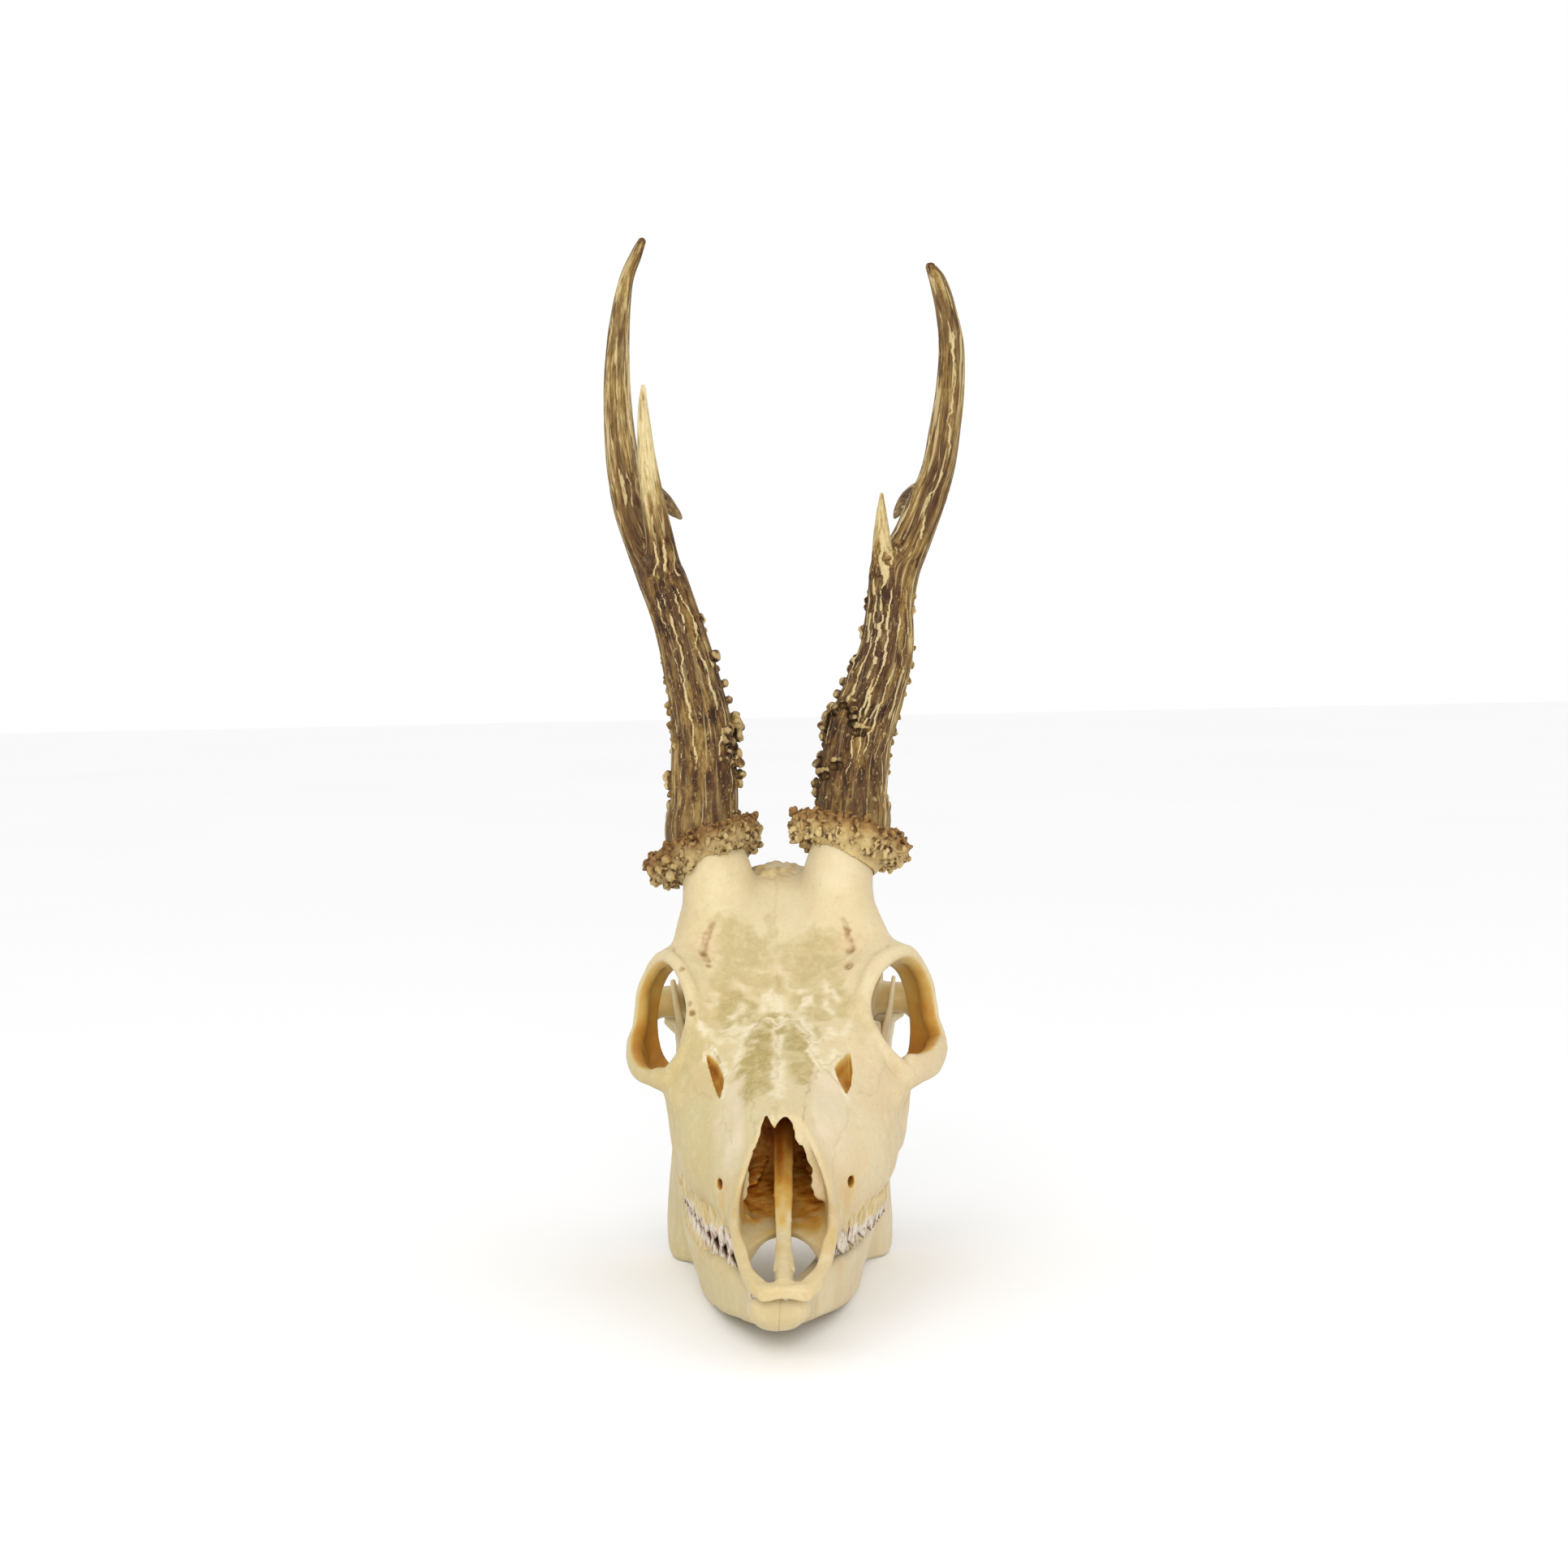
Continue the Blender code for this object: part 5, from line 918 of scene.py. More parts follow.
def cranium_marks(v, n, field):
    """Relief and colour marks of the cranium: corners moved, and one value per corner of each mark."""
    f, lo, step = field
    up = np.clip((n[:, 2] - 0.1) / 0.3, 0, 1) * np.clip((v[:, 1] - 42) / 4, 0, 1)
    wob = np.stack([noise(v, 2.4, 11), noise(v, 2.4, 12), noise(v, 2.4, 13)], 1) * 0.55
    wob += np.stack([noise(v, 1.1, 14), noise(v, 1.1, 15), noise(v, 1.1, 16)], 1) * 0.22
    w = v + wob
    seam = np.exp(-((to_lines(w, SEAMS, 2) / 0.26) ** 2)) * up * np.clip(0.45 + 0.55 * noise(v, 6, 17), 0, 1) * (1 - 0.7 * np.exp(-(((v[:, 1] - 134) / 18) ** 2)))
    cheek = np.exp(-((to_lines(w * [0, 1, 1], [[(0, a, b) for a, b in run] for run in CHEEK_SEAMS]) / 0.32) ** 2))
    cheek *= np.clip((np.abs(n[:, 0]) - 0.45) / 0.2, 0, 1) * (np.abs(v[:, 0]) > 13) * 0.35
    seam = np.clip(np.maximum(seam, cheek), 0, 1)
    q = v + np.stack([noise(v, 5.0, 21), noise(v, 5.0, 22), 0 * v[:, 0]], 1) * 2.2 + np.stack([noise(v, 1.9, 23), noise(v, 1.9, 24), 0 * v[:, 0]], 1) * 0.9
    olive = np.zeros(len(v))
    for c, r, a in PATCHES:
        olive = np.maximum(olive, a * np.clip(1.25 * blob(q, c, r), 0, 1))
    broad = 1.2 + 0.6 * np.clip((112 - v[:, 1]) / 14, 0, 1)
    web = np.exp(-((to_lines(v + 1.9 * wob, WEB, 2) / broad) ** 2)) * np.clip(0.45 + 0.9 * noise(v, 3.6, 27), 0, 0.85) * np.clip((v[:, 1] * -1 + 122) / 12, 0.25, 1)
    d = to_lines(v + 2.2 * wob, SEAMS[1:3], 2)
    web = np.maximum(web, np.exp(-(((d - 0.7) / 0.8) ** 2)) * np.clip(0.6 + 0.8 * noise(v, 3, 28), 0, 1))
    d = to_lines(v + 1.6 * wob, [[(x, y) for x, y in run] for run in EDGES], 2)
    web = np.maximum(web, 0.8 * np.exp(-((d / 0.9) ** 2)) * np.clip(0.7 + 0.7 * noise(v, 3, 29), 0, 1))
    olive = np.clip(olive - 0.65 * web, 0, 1.2)
    olive *= np.clip((n[:, 2] - 0.15) / 0.25, 0, 1) * np.clip((v[:, 1] - 50) / 8, 0, 1)
    stalk = np.clip(1.4 * near(v, (17.5, 148, 82), 17), 0, 1) * (0.55 + 0.3 * noise(v, 6, 30))
    web = np.maximum(web, np.maximum(stalk, 0.22 * np.clip(1.5 * near(v, (0, 138, 72), 17), 0, 1)))
    # painted shade: the insides of the grooves and pits above the orbits are darkened
    runs = [curve(run, 4)[:, :3] for run in GROOVES]
    groove = np.minimum(to_lines(v, runs[:1]), to_lines(v, runs[1:]))
    pit = np.clip(1.3 - groove / 1.0 + 0.4 * noise(v, 1.3, 46), 0, 1)
    for c, r in PITS:
        pit = np.maximum(pit, np.clip(near(v, c, r + 0.7) * 2.2, 0, 1))
    blush = np.zeros(len(v))
    lobe = np.clip((np.abs(v[:, 0] + 0.6) - 8.6 - 0.6 * noise(v, 3, 48)) / 1.2, 0, 1) * np.clip((20.0 - np.abs(v[:, 0])) / 5, 0, 1) * np.clip((v[:, 1] - 46) / 8, 0, 1) * np.clip((77 - v[:, 1]) / 2, 0, 1) * up
    for c, r, a in (((-21.5, 124.5, 63.0), 6.0, 0.9), ((-20.5, 120.0, 60.5), 4.5, 0.8), ((20.2, 124.5, 64.0), 6.0, 1.0), ((19.3, 116.2, 58.6), 4.4, 0.8), ((-21.5, 127.0, 65.5), 5.0, 0.8), ((26, 100, 8), 13, 0.15), ((-16.2, 50, 12.5), 5.0, 0.8), ((17.0, 50, 13.5), 5.5, 0.9), ((17.5, 146, 84), 7, 0.4), ((-17.5, 148, 84), 7, 0.6)):
        blush = np.maximum(blush, a * near(w, c, r))
    # brown-gold tint inside the orbit's plate, the nose, the slits and wherever the bone is deeply hollow: partly the
    # bone's own stain, partly painted shade that darkens these hollows
    a = np.abs(v[:, 0] - LEAN)
    e = np.stack([33.0 - a, 118.0 - v[:, 1], 44.0 - v[:, 2]], 1)
    dist = np.linalg.norm(e, axis=1)
    facing = (n * np.stack([e[:, 0] * np.sign(v[:, 0]), e[:, 1], e[:, 2]], 1)).sum(1) / (dist + 1e-9)
    orbit = np.clip(facing * 1.8 - 0.1, 0, 1) * (dist < 27) * np.clip((v[:, 1] - 103) / 8, 0, 1) * (a > 20) * (v[:, 2] < 61)
    side = np.clip((a - 30) / 5, 0, 1)
    cup = np.clip((45 - v[:, 2]) / 14, 0, 1) * side * np.clip((v[:, 1] - 108) / 8, 0, 1)
    # the orbit's inner plate, and more its lower cup, is tinted brown-gold: partly stain, partly painted shade
    tint_and_shade = orbit * (0.20 + 0.2 * side + 0.07 * noise(v, 6, 31)) + orbit * cup * 0.32
    X, Y, Z = v[:, 0][:, None, None], v[:, 1][:, None, None], v[:, 2][:, None, None]
    in_nose = nose_hollow(np.abs(X), Y, Z)[:, 0, 0]
    inside = np.clip((0.7 - in_nose) / 0.6, 0, 1) * (v[:, 1] < 92) * np.clip((v[:, 1] - 26) / 16, 0, 1)
    inside *= np.clip(((ZTOP(v[:, 1]) - v[:, 2]) * 0.62 - 0.7) / 1.6, 0.0, 1)
    plate = (np.abs(v[:, 1] - PLATE_AT(v[:, 2])) < 1.4) & (v[:, 2] > 8.2) & (np.abs(v[:, 0] - LEAN) > 3.2) & (v[:, 1] < 56)
    inside = np.where(plate, 0.1 * inside, inside)
    wall = np.clip((v[:, 1] - 42) / 22, 0, 1)
    floor = np.clip((n[:, 2] - 0.4) / 0.3, 0, 1)
    # the brown-gold grows deeper into the nose and stays paler on the upward-facing floor near the front: painted shade
    # and painted light over the bone's own stain
    tint_and_shade = np.maximum(tint_and_shade, inside * (0.40 + 0.34 * wall - 0.14 * floor * (1 - wall) + 0.18 * noise(v, 4, 33)))
    lit = inside * wall
    bar = (np.abs(v[:, 0]) < 3.4) * (in_nose < -0.8) * (v[:, 1] < 90)
    core = np.clip(1.6 - np.abs(v[:, 0] + 0.6) / 0.9, 0, 1) * np.clip((v[:, 1] - 48) / 6, 0, 1)
    tint_and_shade = np.where(bar, np.clip((v[:, 1] - 20) / 38, 0, 1) * (0.62 + 0.45 * core + 0.4 * np.clip((v[:, 1] - 60) / 16, 0, 1)) + 0.14 * noise(v, (2, 7, 3), 36), tint_and_shade)
    lit = np.where(bar, 0, lit)
    deep = hollowness(f, lo, step, v, n, 2.2)
    flat = np.minimum(*[flat_distance(np.array(e)[:, :2], v[:, 0][:, None], v[:, 1][:, None])[:, 0] for e in SLITS])
    slit = np.clip(0.6 - flat / 0.8, 0, 1) * (v[:, 2] > 24) * (v[:, 2] < 46)
    sunk = np.clip((SLIT_TOP(v) - v[:, 2] - 0.4) / 1.2, 0, 1)
    # painted shade: the bone below the surface inside the slits is darkened
    tint_and_shade = np.maximum(tint_and_shade, slit * sunk * (0.62 + 0.2 * noise(v, 3, 34)))
    # painted shade: darker inside the holes for the nerves of the lip, where the bone is hollow
    holes = np.maximum(near(v, (-15.6, 55, 13.4), 7.0), near(v, (17.2, 55, 13.4), 7.0)) * np.clip(deep * 2.4 - 0.3, 0, 1) * 2.0
    tint_and_shade = np.maximum(tint_and_shade, np.clip(holes, 0, 1) * 0.62)
    # warm tan along the tooth row and under the orbit
    row = np.clip((9 - v[:, 2]) / 9, 0, 1) * np.clip((v[:, 1] - 40) / 10, 0, 1) * np.clip((112 - v[:, 1]) / 8, 0, 1) * np.clip((np.abs(n[:, 0]) - 0.3) / 0.3, 0, 1)
    tan = np.clip(row * (0.6 + 0.5 * noise(v, 7, 35)), 0, 1)
    tan = np.maximum(tan, 0.5 * np.clip(noise(v, (16, 22, 16), 37) - 0.15, 0, 1))
    bars = np.clip((v[:, 1] - 13) / 6, 0, 1) * np.clip((50 - v[:, 1]) / 8, 0, 1) * (np.abs(v[:, 0] - LEAN) > 6.5) * np.clip(n[:, 2] + 0.4, 0, 1)
    tan = np.maximum(tan, bars * (0.65 + 0.5 * noise(v, 5, 38)))
    for c, r in (((-16.8, 50, 9.5), 9.0), ((18.2, 50, 10.0), 10.0)):
        tan = np.maximum(tan, np.clip(near(v, c, r) * 1.6, 0, 1) * (0.9 + 0.3 * noise(v, 4, 40)))
    lump = 0.26 * noise(v, 17, 41) + 0.12 * noise(v, 7, 42) + 0.05 * noise(v, 3.2, 43)
    wrinkle = np.maximum(near(v, (-18.6, 121.0, 60.6), 5.0), near(v, (18.0, 118.5, 59.6), 4.0)) * 0.22 * np.sin(2.4 * (v[:, 1] - 0.35 * v[:, 0] * np.sign(v[:, 0])) + 1.5 * noise(v, 3, 45))
    dent = -0.2 * seam - 0.16 * olive * np.clip(0.5 + noise(v, 1.6, 44), 0, 1) + 0.12 * web * up + wrinkle
    calm = np.clip(1 - tint_and_shade, 0.25, 1)
    sockets = np.clip(1 - np.abs(v[:, 2] - MARGIN(v[:, 1]) - 1.6) / 4.2, 0, 1) * (v[:, 1] > 48) * (v[:, 1] < 110) * np.clip((np.abs(n[:, 0]) - 0.2) / 0.3, 0, 1)
    dent = dent + 0.5 * sockets * noise(v, (3.0, 3.0, 5.0), 49)
    v = v + n * ((lump * calm + dent)[:, None])
    rill = np.exp(-((to_lines(v + 1.5 * wob, RILLS) / 0.5) ** 2)) * np.clip(0.5 + 0.8 * noise(v, 5, 39), 0, 1)
    seam = np.maximum(seam, 0.7 * rill)
    crest = np.clip(1.2 - ((v[:, 0] / 12) ** 2 + ((v[:, 1] - 155) / 7) ** 2), 0, 1) * (v[:, 2] > 70) * np.clip(0.5 + noise(v, 2.6, 47), 0, 1)
    v = v + n * (np.clip(crest * 1.6, 0, 1) * (0.55 * noise(v, 2.4, 53) + 0.25 * noise(v, 1.1, 54)))[:, None]
    pit = np.maximum(pit, 0.5 * np.clip(crest * 1.5, 0, 1) * np.clip(2 * noise(v, 1.3, 56) - 0.5, 0, 1))
    tint_and_shade = np.maximum(tint_and_shade, 0.26 * crest)
    for c, r in (((-16.8, 49.5, 9.5), 8.0), ((18.0, 49.5, 10.0), 9.0)):
        tint_and_shade = np.maximum(tint_and_shade, 0.22 * np.clip(near(v, c, r) * 1.5, 0, 1) * np.clip(0.8 + 0.4 * noise(v, 4, 50), 0, 1))
    streak = bars * np.clip(0.25 + 1.1 * noise(v, (1.8, 11, 3), 51), 0, 1)
    tint_and_shade = np.maximum(tint_and_shade, 0.24 * streak)
    arch = np.clip((np.abs(v[:, 0]) - 24) / 3, 0, 1) * np.clip((v[:, 1] - 142) / 6, 0, 1) * np.clip((168 - v[:, 1]) / 5, 0, 1) * np.clip((v[:, 2] - 28) / 4, 0, 1) * np.clip((52 - v[:, 2]) / 6, 0, 1) * np.clip(0.3 - n[:, 1], 0, 1)
    tint_and_shade = np.maximum(tint_and_shade, 0.28 * arch)
    return v, {"seam": seam, "olive": olive, "web": np.clip(web * up, 0, 1), "lobe": np.clip(lobe, 0, 1), "lit": np.clip(lit, 0, 1), "pit": pit, "blush": blush, "tint_and_shade": np.clip(tint_and_shade, 0, 1.4), "tan": tan, "deep": np.clip(deep, -1, 1)}


def bone_jaws(cran):
    full, lo, cstep = cran
    step = STEP["jaw"]
    for s, name in ((-1, "mandible_right"), (1, "mandible_left")):
        j = jaw(step)
        jx, jy, jz = j.axes
        src = jx[:, None] + s * SHIFT(jz)[None, :]
        head = full if s > 0 else full[::-1]
        head = read_at(head, [lo[0], lo[1], lo[2]], cstep, (None, jy, jz))
        d = np.maximum(j.d, F(0.55) - along_z(head, lo[0], cstep, src))
        a = math.radians(NOD)
        d = np.maximum(d, F(FLOOR + 0.05) - (jz[None, None, :] * F(math.cos(a)) + jy[None, :, None] * F(math.sin(a))))
        d = seal(d)
        at = [k[0] for k in j.axes]
        v, q, n = skin(d, at, step)
        deep = hollowness(d, at, step, v, n, 2.0)
        rough = 0.16 * noise(v + s * 50, 12, 51) + 0.07 * noise(v + s * 50, 5, 52)
        low = v[:, 2] * math.cos(a) + v[:, 1] * math.sin(a) - FLOOR
        edge = np.clip(low / 2.5, 0, 1)
        v = v + n * (rough * edge)[:, None]
        row = np.clip(1 - np.abs(v[:, 2] + 9.5) / 5, 0, 1) * (v[:, 1] > 46) * (v[:, 1] < 112)
        tan = np.clip(0.55 * row + 0.35 * np.clip(noise(v, 13, 53), 0, 1), 0, 1)
        hole = near(v, (5.4, 27.5, -11.5), 3.0)
        v[:, 0] = v[:, 0] + s * SHIFT(v[:, 2])
        if s < 0:
            v, q = v * [-1, 1, 1], q[:, ::-1]
        # brown-gold on the jaws: painted shade in the hollows and round the nerve hole of the chin, with a faint tint
        # towards the chin
        yield name, v, q, {"tan": tan, "tint_and_shade": np.clip(np.maximum(0.5 * deep + hole, 0.07 * np.clip((30 - v[:, 1]) / 14, 0, 1)), 0, 1), "deep": np.clip(deep, -1, 1),
            "web": np.clip((0.42 if s > 0 else 0.1) + 0.25 * np.clip((30 - v[:, 1]) / 14, 0, 1), 0, 0.45) * np.clip(0.7 + 0.6 * noise(v, 9, 55), 0, 1)}


def read_at(field, lo, step, places):
    """The field, read on another grid whose axes are given; None leaves that axis alone."""
    for ax, p in enumerate(places):
        if p is None:
            continue
        f = np.clip((p - lo[ax]) / step, 0, field.shape[ax] - 1.001)
        k = f.astype(int)
        t = (f - k).astype(F).reshape([-1 if i == ax else 1 for i in range(3)])
        field = np.take(field, k, ax) * (1 - t) + np.take(field, k + 1, ax) * t
    return field


# ---- teeth ----


def crown(g, x_out, x_in, y, half, tip, root, slope_x=0.0, first=False, last=False):
    """One lobe of a cheek tooth: an outer crescent wall and an inner cone with a crease between them."""
    s = 1 if tip < root else -1            # the way the crown grows
    top = root + s * 1.0
    mid_x = (x_out + x_in) / 2
    w = abs(x_out - x_in)
    # outer wall, bowed, drawn to a point
    n = 7
    pts = []
    for i in range(n):
        t = -1 + 2 * i / (n - 1)
        yy = y + half * 0.99 * t
        xx = x_out - 0.55 - 0.95 * t * t + slope_x * (yy - y)
        peak = tip + s * 2.9 * abs(t) ** 1.2
        pts.append((xx, yy, peak))
    for (xa, ya, za), (xb, yb, zb) in zip(pts[:-1], pts[1:]):
        g.add(strap((xa, ya, (za + top) / 2), (xb, yb, (zb + top) / 2), (0.04, 0, 1), abs(top - za) / 2 + 0.25, 0.78, abs(top - zb) / 2 + 0.25, 0.78), 0.35)
    # inner cone
    g.add(rod((x_in + 1.5, y + 0.2, top), (x_in + 1.9 + 0.12 * w, y, tip + s * 0.8), 1.75, 0.62), 0.4)
    g.add(strap((x_in + 1.5, y - half * 0.45, (tip + root) / 2), (x_in + 1.5, y + half * 0.45, (tip + root) / 2), (0, 0, 1), abs(tip - root) / 2 - 0.6, 0.9), 0.5)
    # the body below the crease
    g.add(ball((mid_x, y, root - s * 0.4), (w * 0.46, half * 1.04, abs(tip - root) * 0.56)), 0.6)
    # ribs between the lobes
    g.add(rod((x_out - 0.75 + slope_x * half, y + half * 0.97, top), (x_out - 1.0, y + half * 0.97, tip + s * 1.3), 0.72, 0.42), 0.3)
    g.add(rod((x_out - 0.55, y, top), (x_out - 0.5, y, tip + s * 0.8), 0.55, 0.3), 0.3)


def teeth(s, upper):
    """The cheek teeth of one side, in the skull's frame before it is turned."""
    step = STEP["teeth"]
    rows = UP if upper else LOW
    g = Grid((6, 46, -9 if upper else -16), (34, 114, 6 if upper else -1), step)
    for y, L, xo, w, n in rows:
        hl = L / n
        for i in range(n):
            yy = y - L / 2 + hl * (i + 0.5)
            xx = xo + 0.22 * (yy - y)
            if upper:
                crown(g, xx, xx - w, yy, hl * 0.5, -6.7 + 0.5 * abs((yy - 78) / 30), 3.0, 0.1)
            else:
                tip = -4.4 + 0.04 * (54 - min(yy, 80)) - 0.15
                crown(g, xx, xx - w - 0.3, yy, hl * 0.5, tip, -13.0, 0.1)
    y, L, xo, w, n = rows[-1]
    g.add(ball((xo - w * 0.5, y + L * 0.5, -1.2 if upper else -8.6), (w * 0.36, 1.5, 4.4 if upper else 3.4)), 1.2)
    # one wall behind the lobes, without gaps
    for (y0, L0, x0, w0, n0), (y1, L1, x1, w1, n1) in zip(rows[:-1], rows[1:]):
        if upper:
            g.add(strap((x0 - 1.7, y0, -0.6), (x1 - 1.7, y1, -0.6), (0, 0, 1), 4.0, 0.9), 0.4)
        else:
            g.add(strap((x0 - 1.7, y0, -9.0), (x1 - 1.7, y1, -9.0), (0, 0, 1), 3.0, 0.9), 0.4)
    return g


def bone_teeth(cran):
    full, lo, cstep = cran
    for s, side in ((-1, "right"), (1, "left")):
        for upper in (True, False):
            g = teeth(s, upper)
            x, y, z = g.axes
            if upper:
                d = g.d
            else:
                head = read_at(full if s > 0 else full[::-1], [lo[0], lo[1], lo[2]], cstep, (None, y, z))
                d = np.maximum(g.d, F(0.2) - along_z(head, lo[0], cstep, x[:, None] + s * SHIFT(z)[None, :]))
            d = seal(d)
            at = [k[0] for k in g.axes]
            v, q = nets(d, at, g.step)
            v = relax(v, q, 0.5)
            v = settle_on(v, d, at, g.step, 1)
            n = normals(v, q)
            deep = np.clip(hollowness(d, at, g.step, v, n, 1.0), -1, 1)
            bare = ease([50, 58, 68, 80, 104], [0.6, -0.6, -2.2, -2.7, -3.0])(v[:, 1]) + 0.9 * noise(v + 7 * s, (3, 3, 9), 62) + (0.0 if s > 0 else -0.04) * np.clip(v[:, 1] - 62, 0, 40)
            way = np.clip((v[:, 2] - bare) / 1.3, 0, 1) if upper else np.clip((-8.2 - v[:, 2]) / 2.0, 0, 1)
            v = v + n * (0.07 * noise(v + 9 * s, (1.0, 1.0, 5.0), 61) + way * (0.22 * noise(v + 5 * s, (2.2, 2.2, 2.6), 63) + 0.10 * noise(v, (0.9, 0.9, 1.4), 64)))[:, None]
            if upper:
                a = v[:, 0] * s
                v = np.stack([a + lean(a, v[:, 1]), v[:, 1], v[:, 2]], 1)
                q = q if s > 0 else q[:, ::-1]
            else:
                v[:, 0] = v[:, 0] + s * SHIFT(v[:, 2])
                if s < 0:
                    v, q = v * [-1, 1, 1], q[:, ::-1]
            yield "%s_cheek_teeth_%s" % ("upper" if upper else "lower", side), v, q, {"deep": deep, "root": way}


def bone_incisors():
    """The front teeth of the lower jaw: spoon-shaped crowns that lean forwards."""
    step = STEP["teeth"]
    for s, side in ((-1, "right"), (1, "left")):
        g = Grid((-1, 3, -11), (14, 20, 2), step)
        for i, (x, y, a) in enumerate(((1.9, 8.8, 0), (4.6, 9.6, 12), (6.3, 11.6, 28), (7.0, 14.0, 42))):
            sn, cs = math.sin(math.radians(a)), math.cos(math.radians(a))
            wide = 1.72 - 0.16 * i
            g.add(strap((x * 0.9, y + 3.6, -7.0), (x * 0.97, y + 1.2, -3.6), (cs, sn, 0), 1.15, 1.2, 1.2, 1.0), 0.5)
            g.add(strap((x * 0.97, y + 1.3, -3.8), (x, y + 0.2, -1.9 + 0.25 * i), (cs, sn, 0), 1.1, 0.85, wide, 0.55), 0.5)
        g.d = np.maximum(g.d, F(0.25) - g.axes[0][:, None, None])
        d = seal(g.d)
        at = [k[0] for k in g.axes]
        v, q = nets(d, at, step)
        v = relax(v, q, 0.5)
        n = normals(v, q)
        deep = np.clip(0.4 * hollowness(d, at, step, v, n, 1.0), -1, 1)
        root = np.clip((-4.2 - v[:, 2]) / 2, 0, 1)
        v[:, 0] = v[:, 0] + s * SHIFT(v[:, 2])
        if s < 0:
            v, q = v * [-1, 1, 1], q[:, ::-1]
        yield "front_teeth_%s" % side, v, q, {"deep": deep, "root": root}


# ---- antlers ----


class Stem:
    """A run of an antler with its own lengthwise and crosswise directions."""

    def __init__(self, rows, ahead):
        C = curve(rows, 6)
        self.c, self.r = C[:, :3], np.maximum(C[:, 3], 0.4)
        t = np.gradient(self.c, axis=0)
        t /= np.linalg.norm(t, axis=1)[:, None]
        u = np.array(ahead, float) - (t @ np.array(ahead, float))[:, None] * t
        u /= np.linalg.norm(u, axis=1)[:, None]
        self.t, self.u, self.v = t, u, np.cross(t, u)
        self.s = np.concatenate([[0], np.cumsum(np.linalg.norm(np.diff(self.c, axis=0), axis=1))])

    def nearest(self, p):
        """For each row of p: distance past the surface, length along, angle around, radius there."""
        best = np.full(len(p), 1e9)
        out = np.zeros((len(p), 4))
        for i in range(len(self.c) - 1):
            a, e = self.c[i], self.c[i + 1] - self.c[i]
            L = e @ e
            t = np.clip(((p - a) @ e) / L, 0, 1)
            w = p - a - t[:, None] * e
            r = self.r[i] * (1 - t) + self.r[i + 1] * t
            d = np.sqrt((w * w).sum(1)) - r
            m = d < best
            if m.any():
                best[m] = d[m]
                u = self.u[i] * (1 - t[m])[:, None] + self.u[i + 1] * t[m][:, None]
                v = self.v[i] * (1 - t[m])[:, None] + self.v[i + 1] * t[m][:, None]
                out[m, 0] = d[m]
                out[m, 1] = self.s[i] + t[m] * math.sqrt(L)
                out[m, 2] = np.arctan2((w[m] * v).sum(1), (w[m] * u).sum(1))
                out[m, 3] = r[m]
        return out

    def place(self, z, angle, out=0.0):
        """A point on the surface at height z and an angle around in degrees, moved out by some millimetres."""
        i = int(np.argmin(np.abs(self.c[:, 2] - z)))
        a = math.radians(angle)
        return self.c[i] + (self.u[i] * math.cos(a) + self.v[i] * math.sin(a)) * (self.r[i] + out)


# knobs on the beams: height, angle around (0 faces the front, 90 the animal's left), how far out, radius
KNOBS = {
    -1: [
        (143.5, 36, -0.2, 1.15), (139.0, 78, 0.9, 1.6), (137.2, 70, 0.5, 1.1), (134.5, 66, 0.1, 0.9), (131.6, 88, 0.9, 1.2), (129.4, 84, 0.9, 1.1), (126.6, 92, 1.0, 1.2),
        (126.0, 84, 0.6, 0.8), (124.2, 33, 0.1, 1.15), (121.6, 88, 1.3, 1.7), (119.4, 84, 1.6, 2.1), (117.0, 88, 1.2, 1.8), (115.4, 40, 0.4, 1.2), (115.8, 50, 0.6, 1.4),
        (114.4, 60, 0.6, 1.5), (112.6, 78, 1.0, 1.6), (109.8, 44, 0.4, 1.0), (110.6, 50, 0.4, 0.9), (109.6, 30, 0.2, 0.7), (109.0, 72, 1.0, 1.9), (106.0, 84, 1.0, 1.6),
        (103.0, 78, 0.8, 1.3), (101.0, 46, 0.2, 0.7), (99.4, 40, 0.2, 0.8), (128.4, -84, 0.3, 0.9), (116.5, -70, 0.2, 0.6), (107.0, -86, 1.0, 1.5), (103.4, -88, 0.7, 1.2),
        (100.6, -80, 0.3, 0.9), (125.0, -55, 0.1, 0.6), (110.5, -22, 0.1, 0.6), (100.8, -12, 0.2, 0.6), (136.0, -72, 0.1, 0.6), (142.0, -70, 0.0, 0.6), (113.4, -40, 0.1, 0.5),
    ],
    1: [
        (119.4, -92, 1.2, 1.7), (120.6, -80, 1.0, 1.4), (121.6, -66, 0.7, 1.0), (122.6, -54, 0.5, 0.9), (122.8, -42, 0.4, 0.8), (122.4, -32, 0.4, 0.8), (121.2, -24, 0.4, 0.8),
        (119.0, -20, 0.4, 0.8), (118.2, -12, 0.5, 1.0), (117.4, -2, 0.4, 0.8), (117.6, 8, 0.3, 0.7), (117.0, -88, 1.5, 1.6), (114.6, -94, 0.9, 1.3), (128.4, -86, 0.6, 1.2),
        (125.6, -92, 0.8, 1.2), (110.8, -92, 0.5, 1.2), (107.4, -86, 1.1, 1.5), (106.6, -74, 0.8, 1.0), (106.2, -62, 0.6, 0.9), (106.2, -50, 0.5, 0.8), (106.8, -38, 0.4, 0.8),
        (108.0, -28, 0.3, 0.7), (103.6, -96, 0.9, 1.5), (100.6, -90, 0.8, 1.3), (113.0, 30, 0.2, 0.7), (116.6, 38, 0.3, 0.8), (118.6, 34, 0.3, 0.8), (104.4, 36, 0.2, 0.7),
        (131.0, 84, 0.2, 0.7), (126.0, 88, 0.2, 0.8), (121.0, 86, 0.2, 0.8), (117.4, 90, 0.2, 0.7), (112.6, 84, 0.2, 0.6), (108.0, 88, 0.2, 0.6), (140.0, 84, 0.1, 0.6),
        (123.6, -4, 0.1, 0.8), (112.0, -60, 0.0, 0.6),
    ],
}
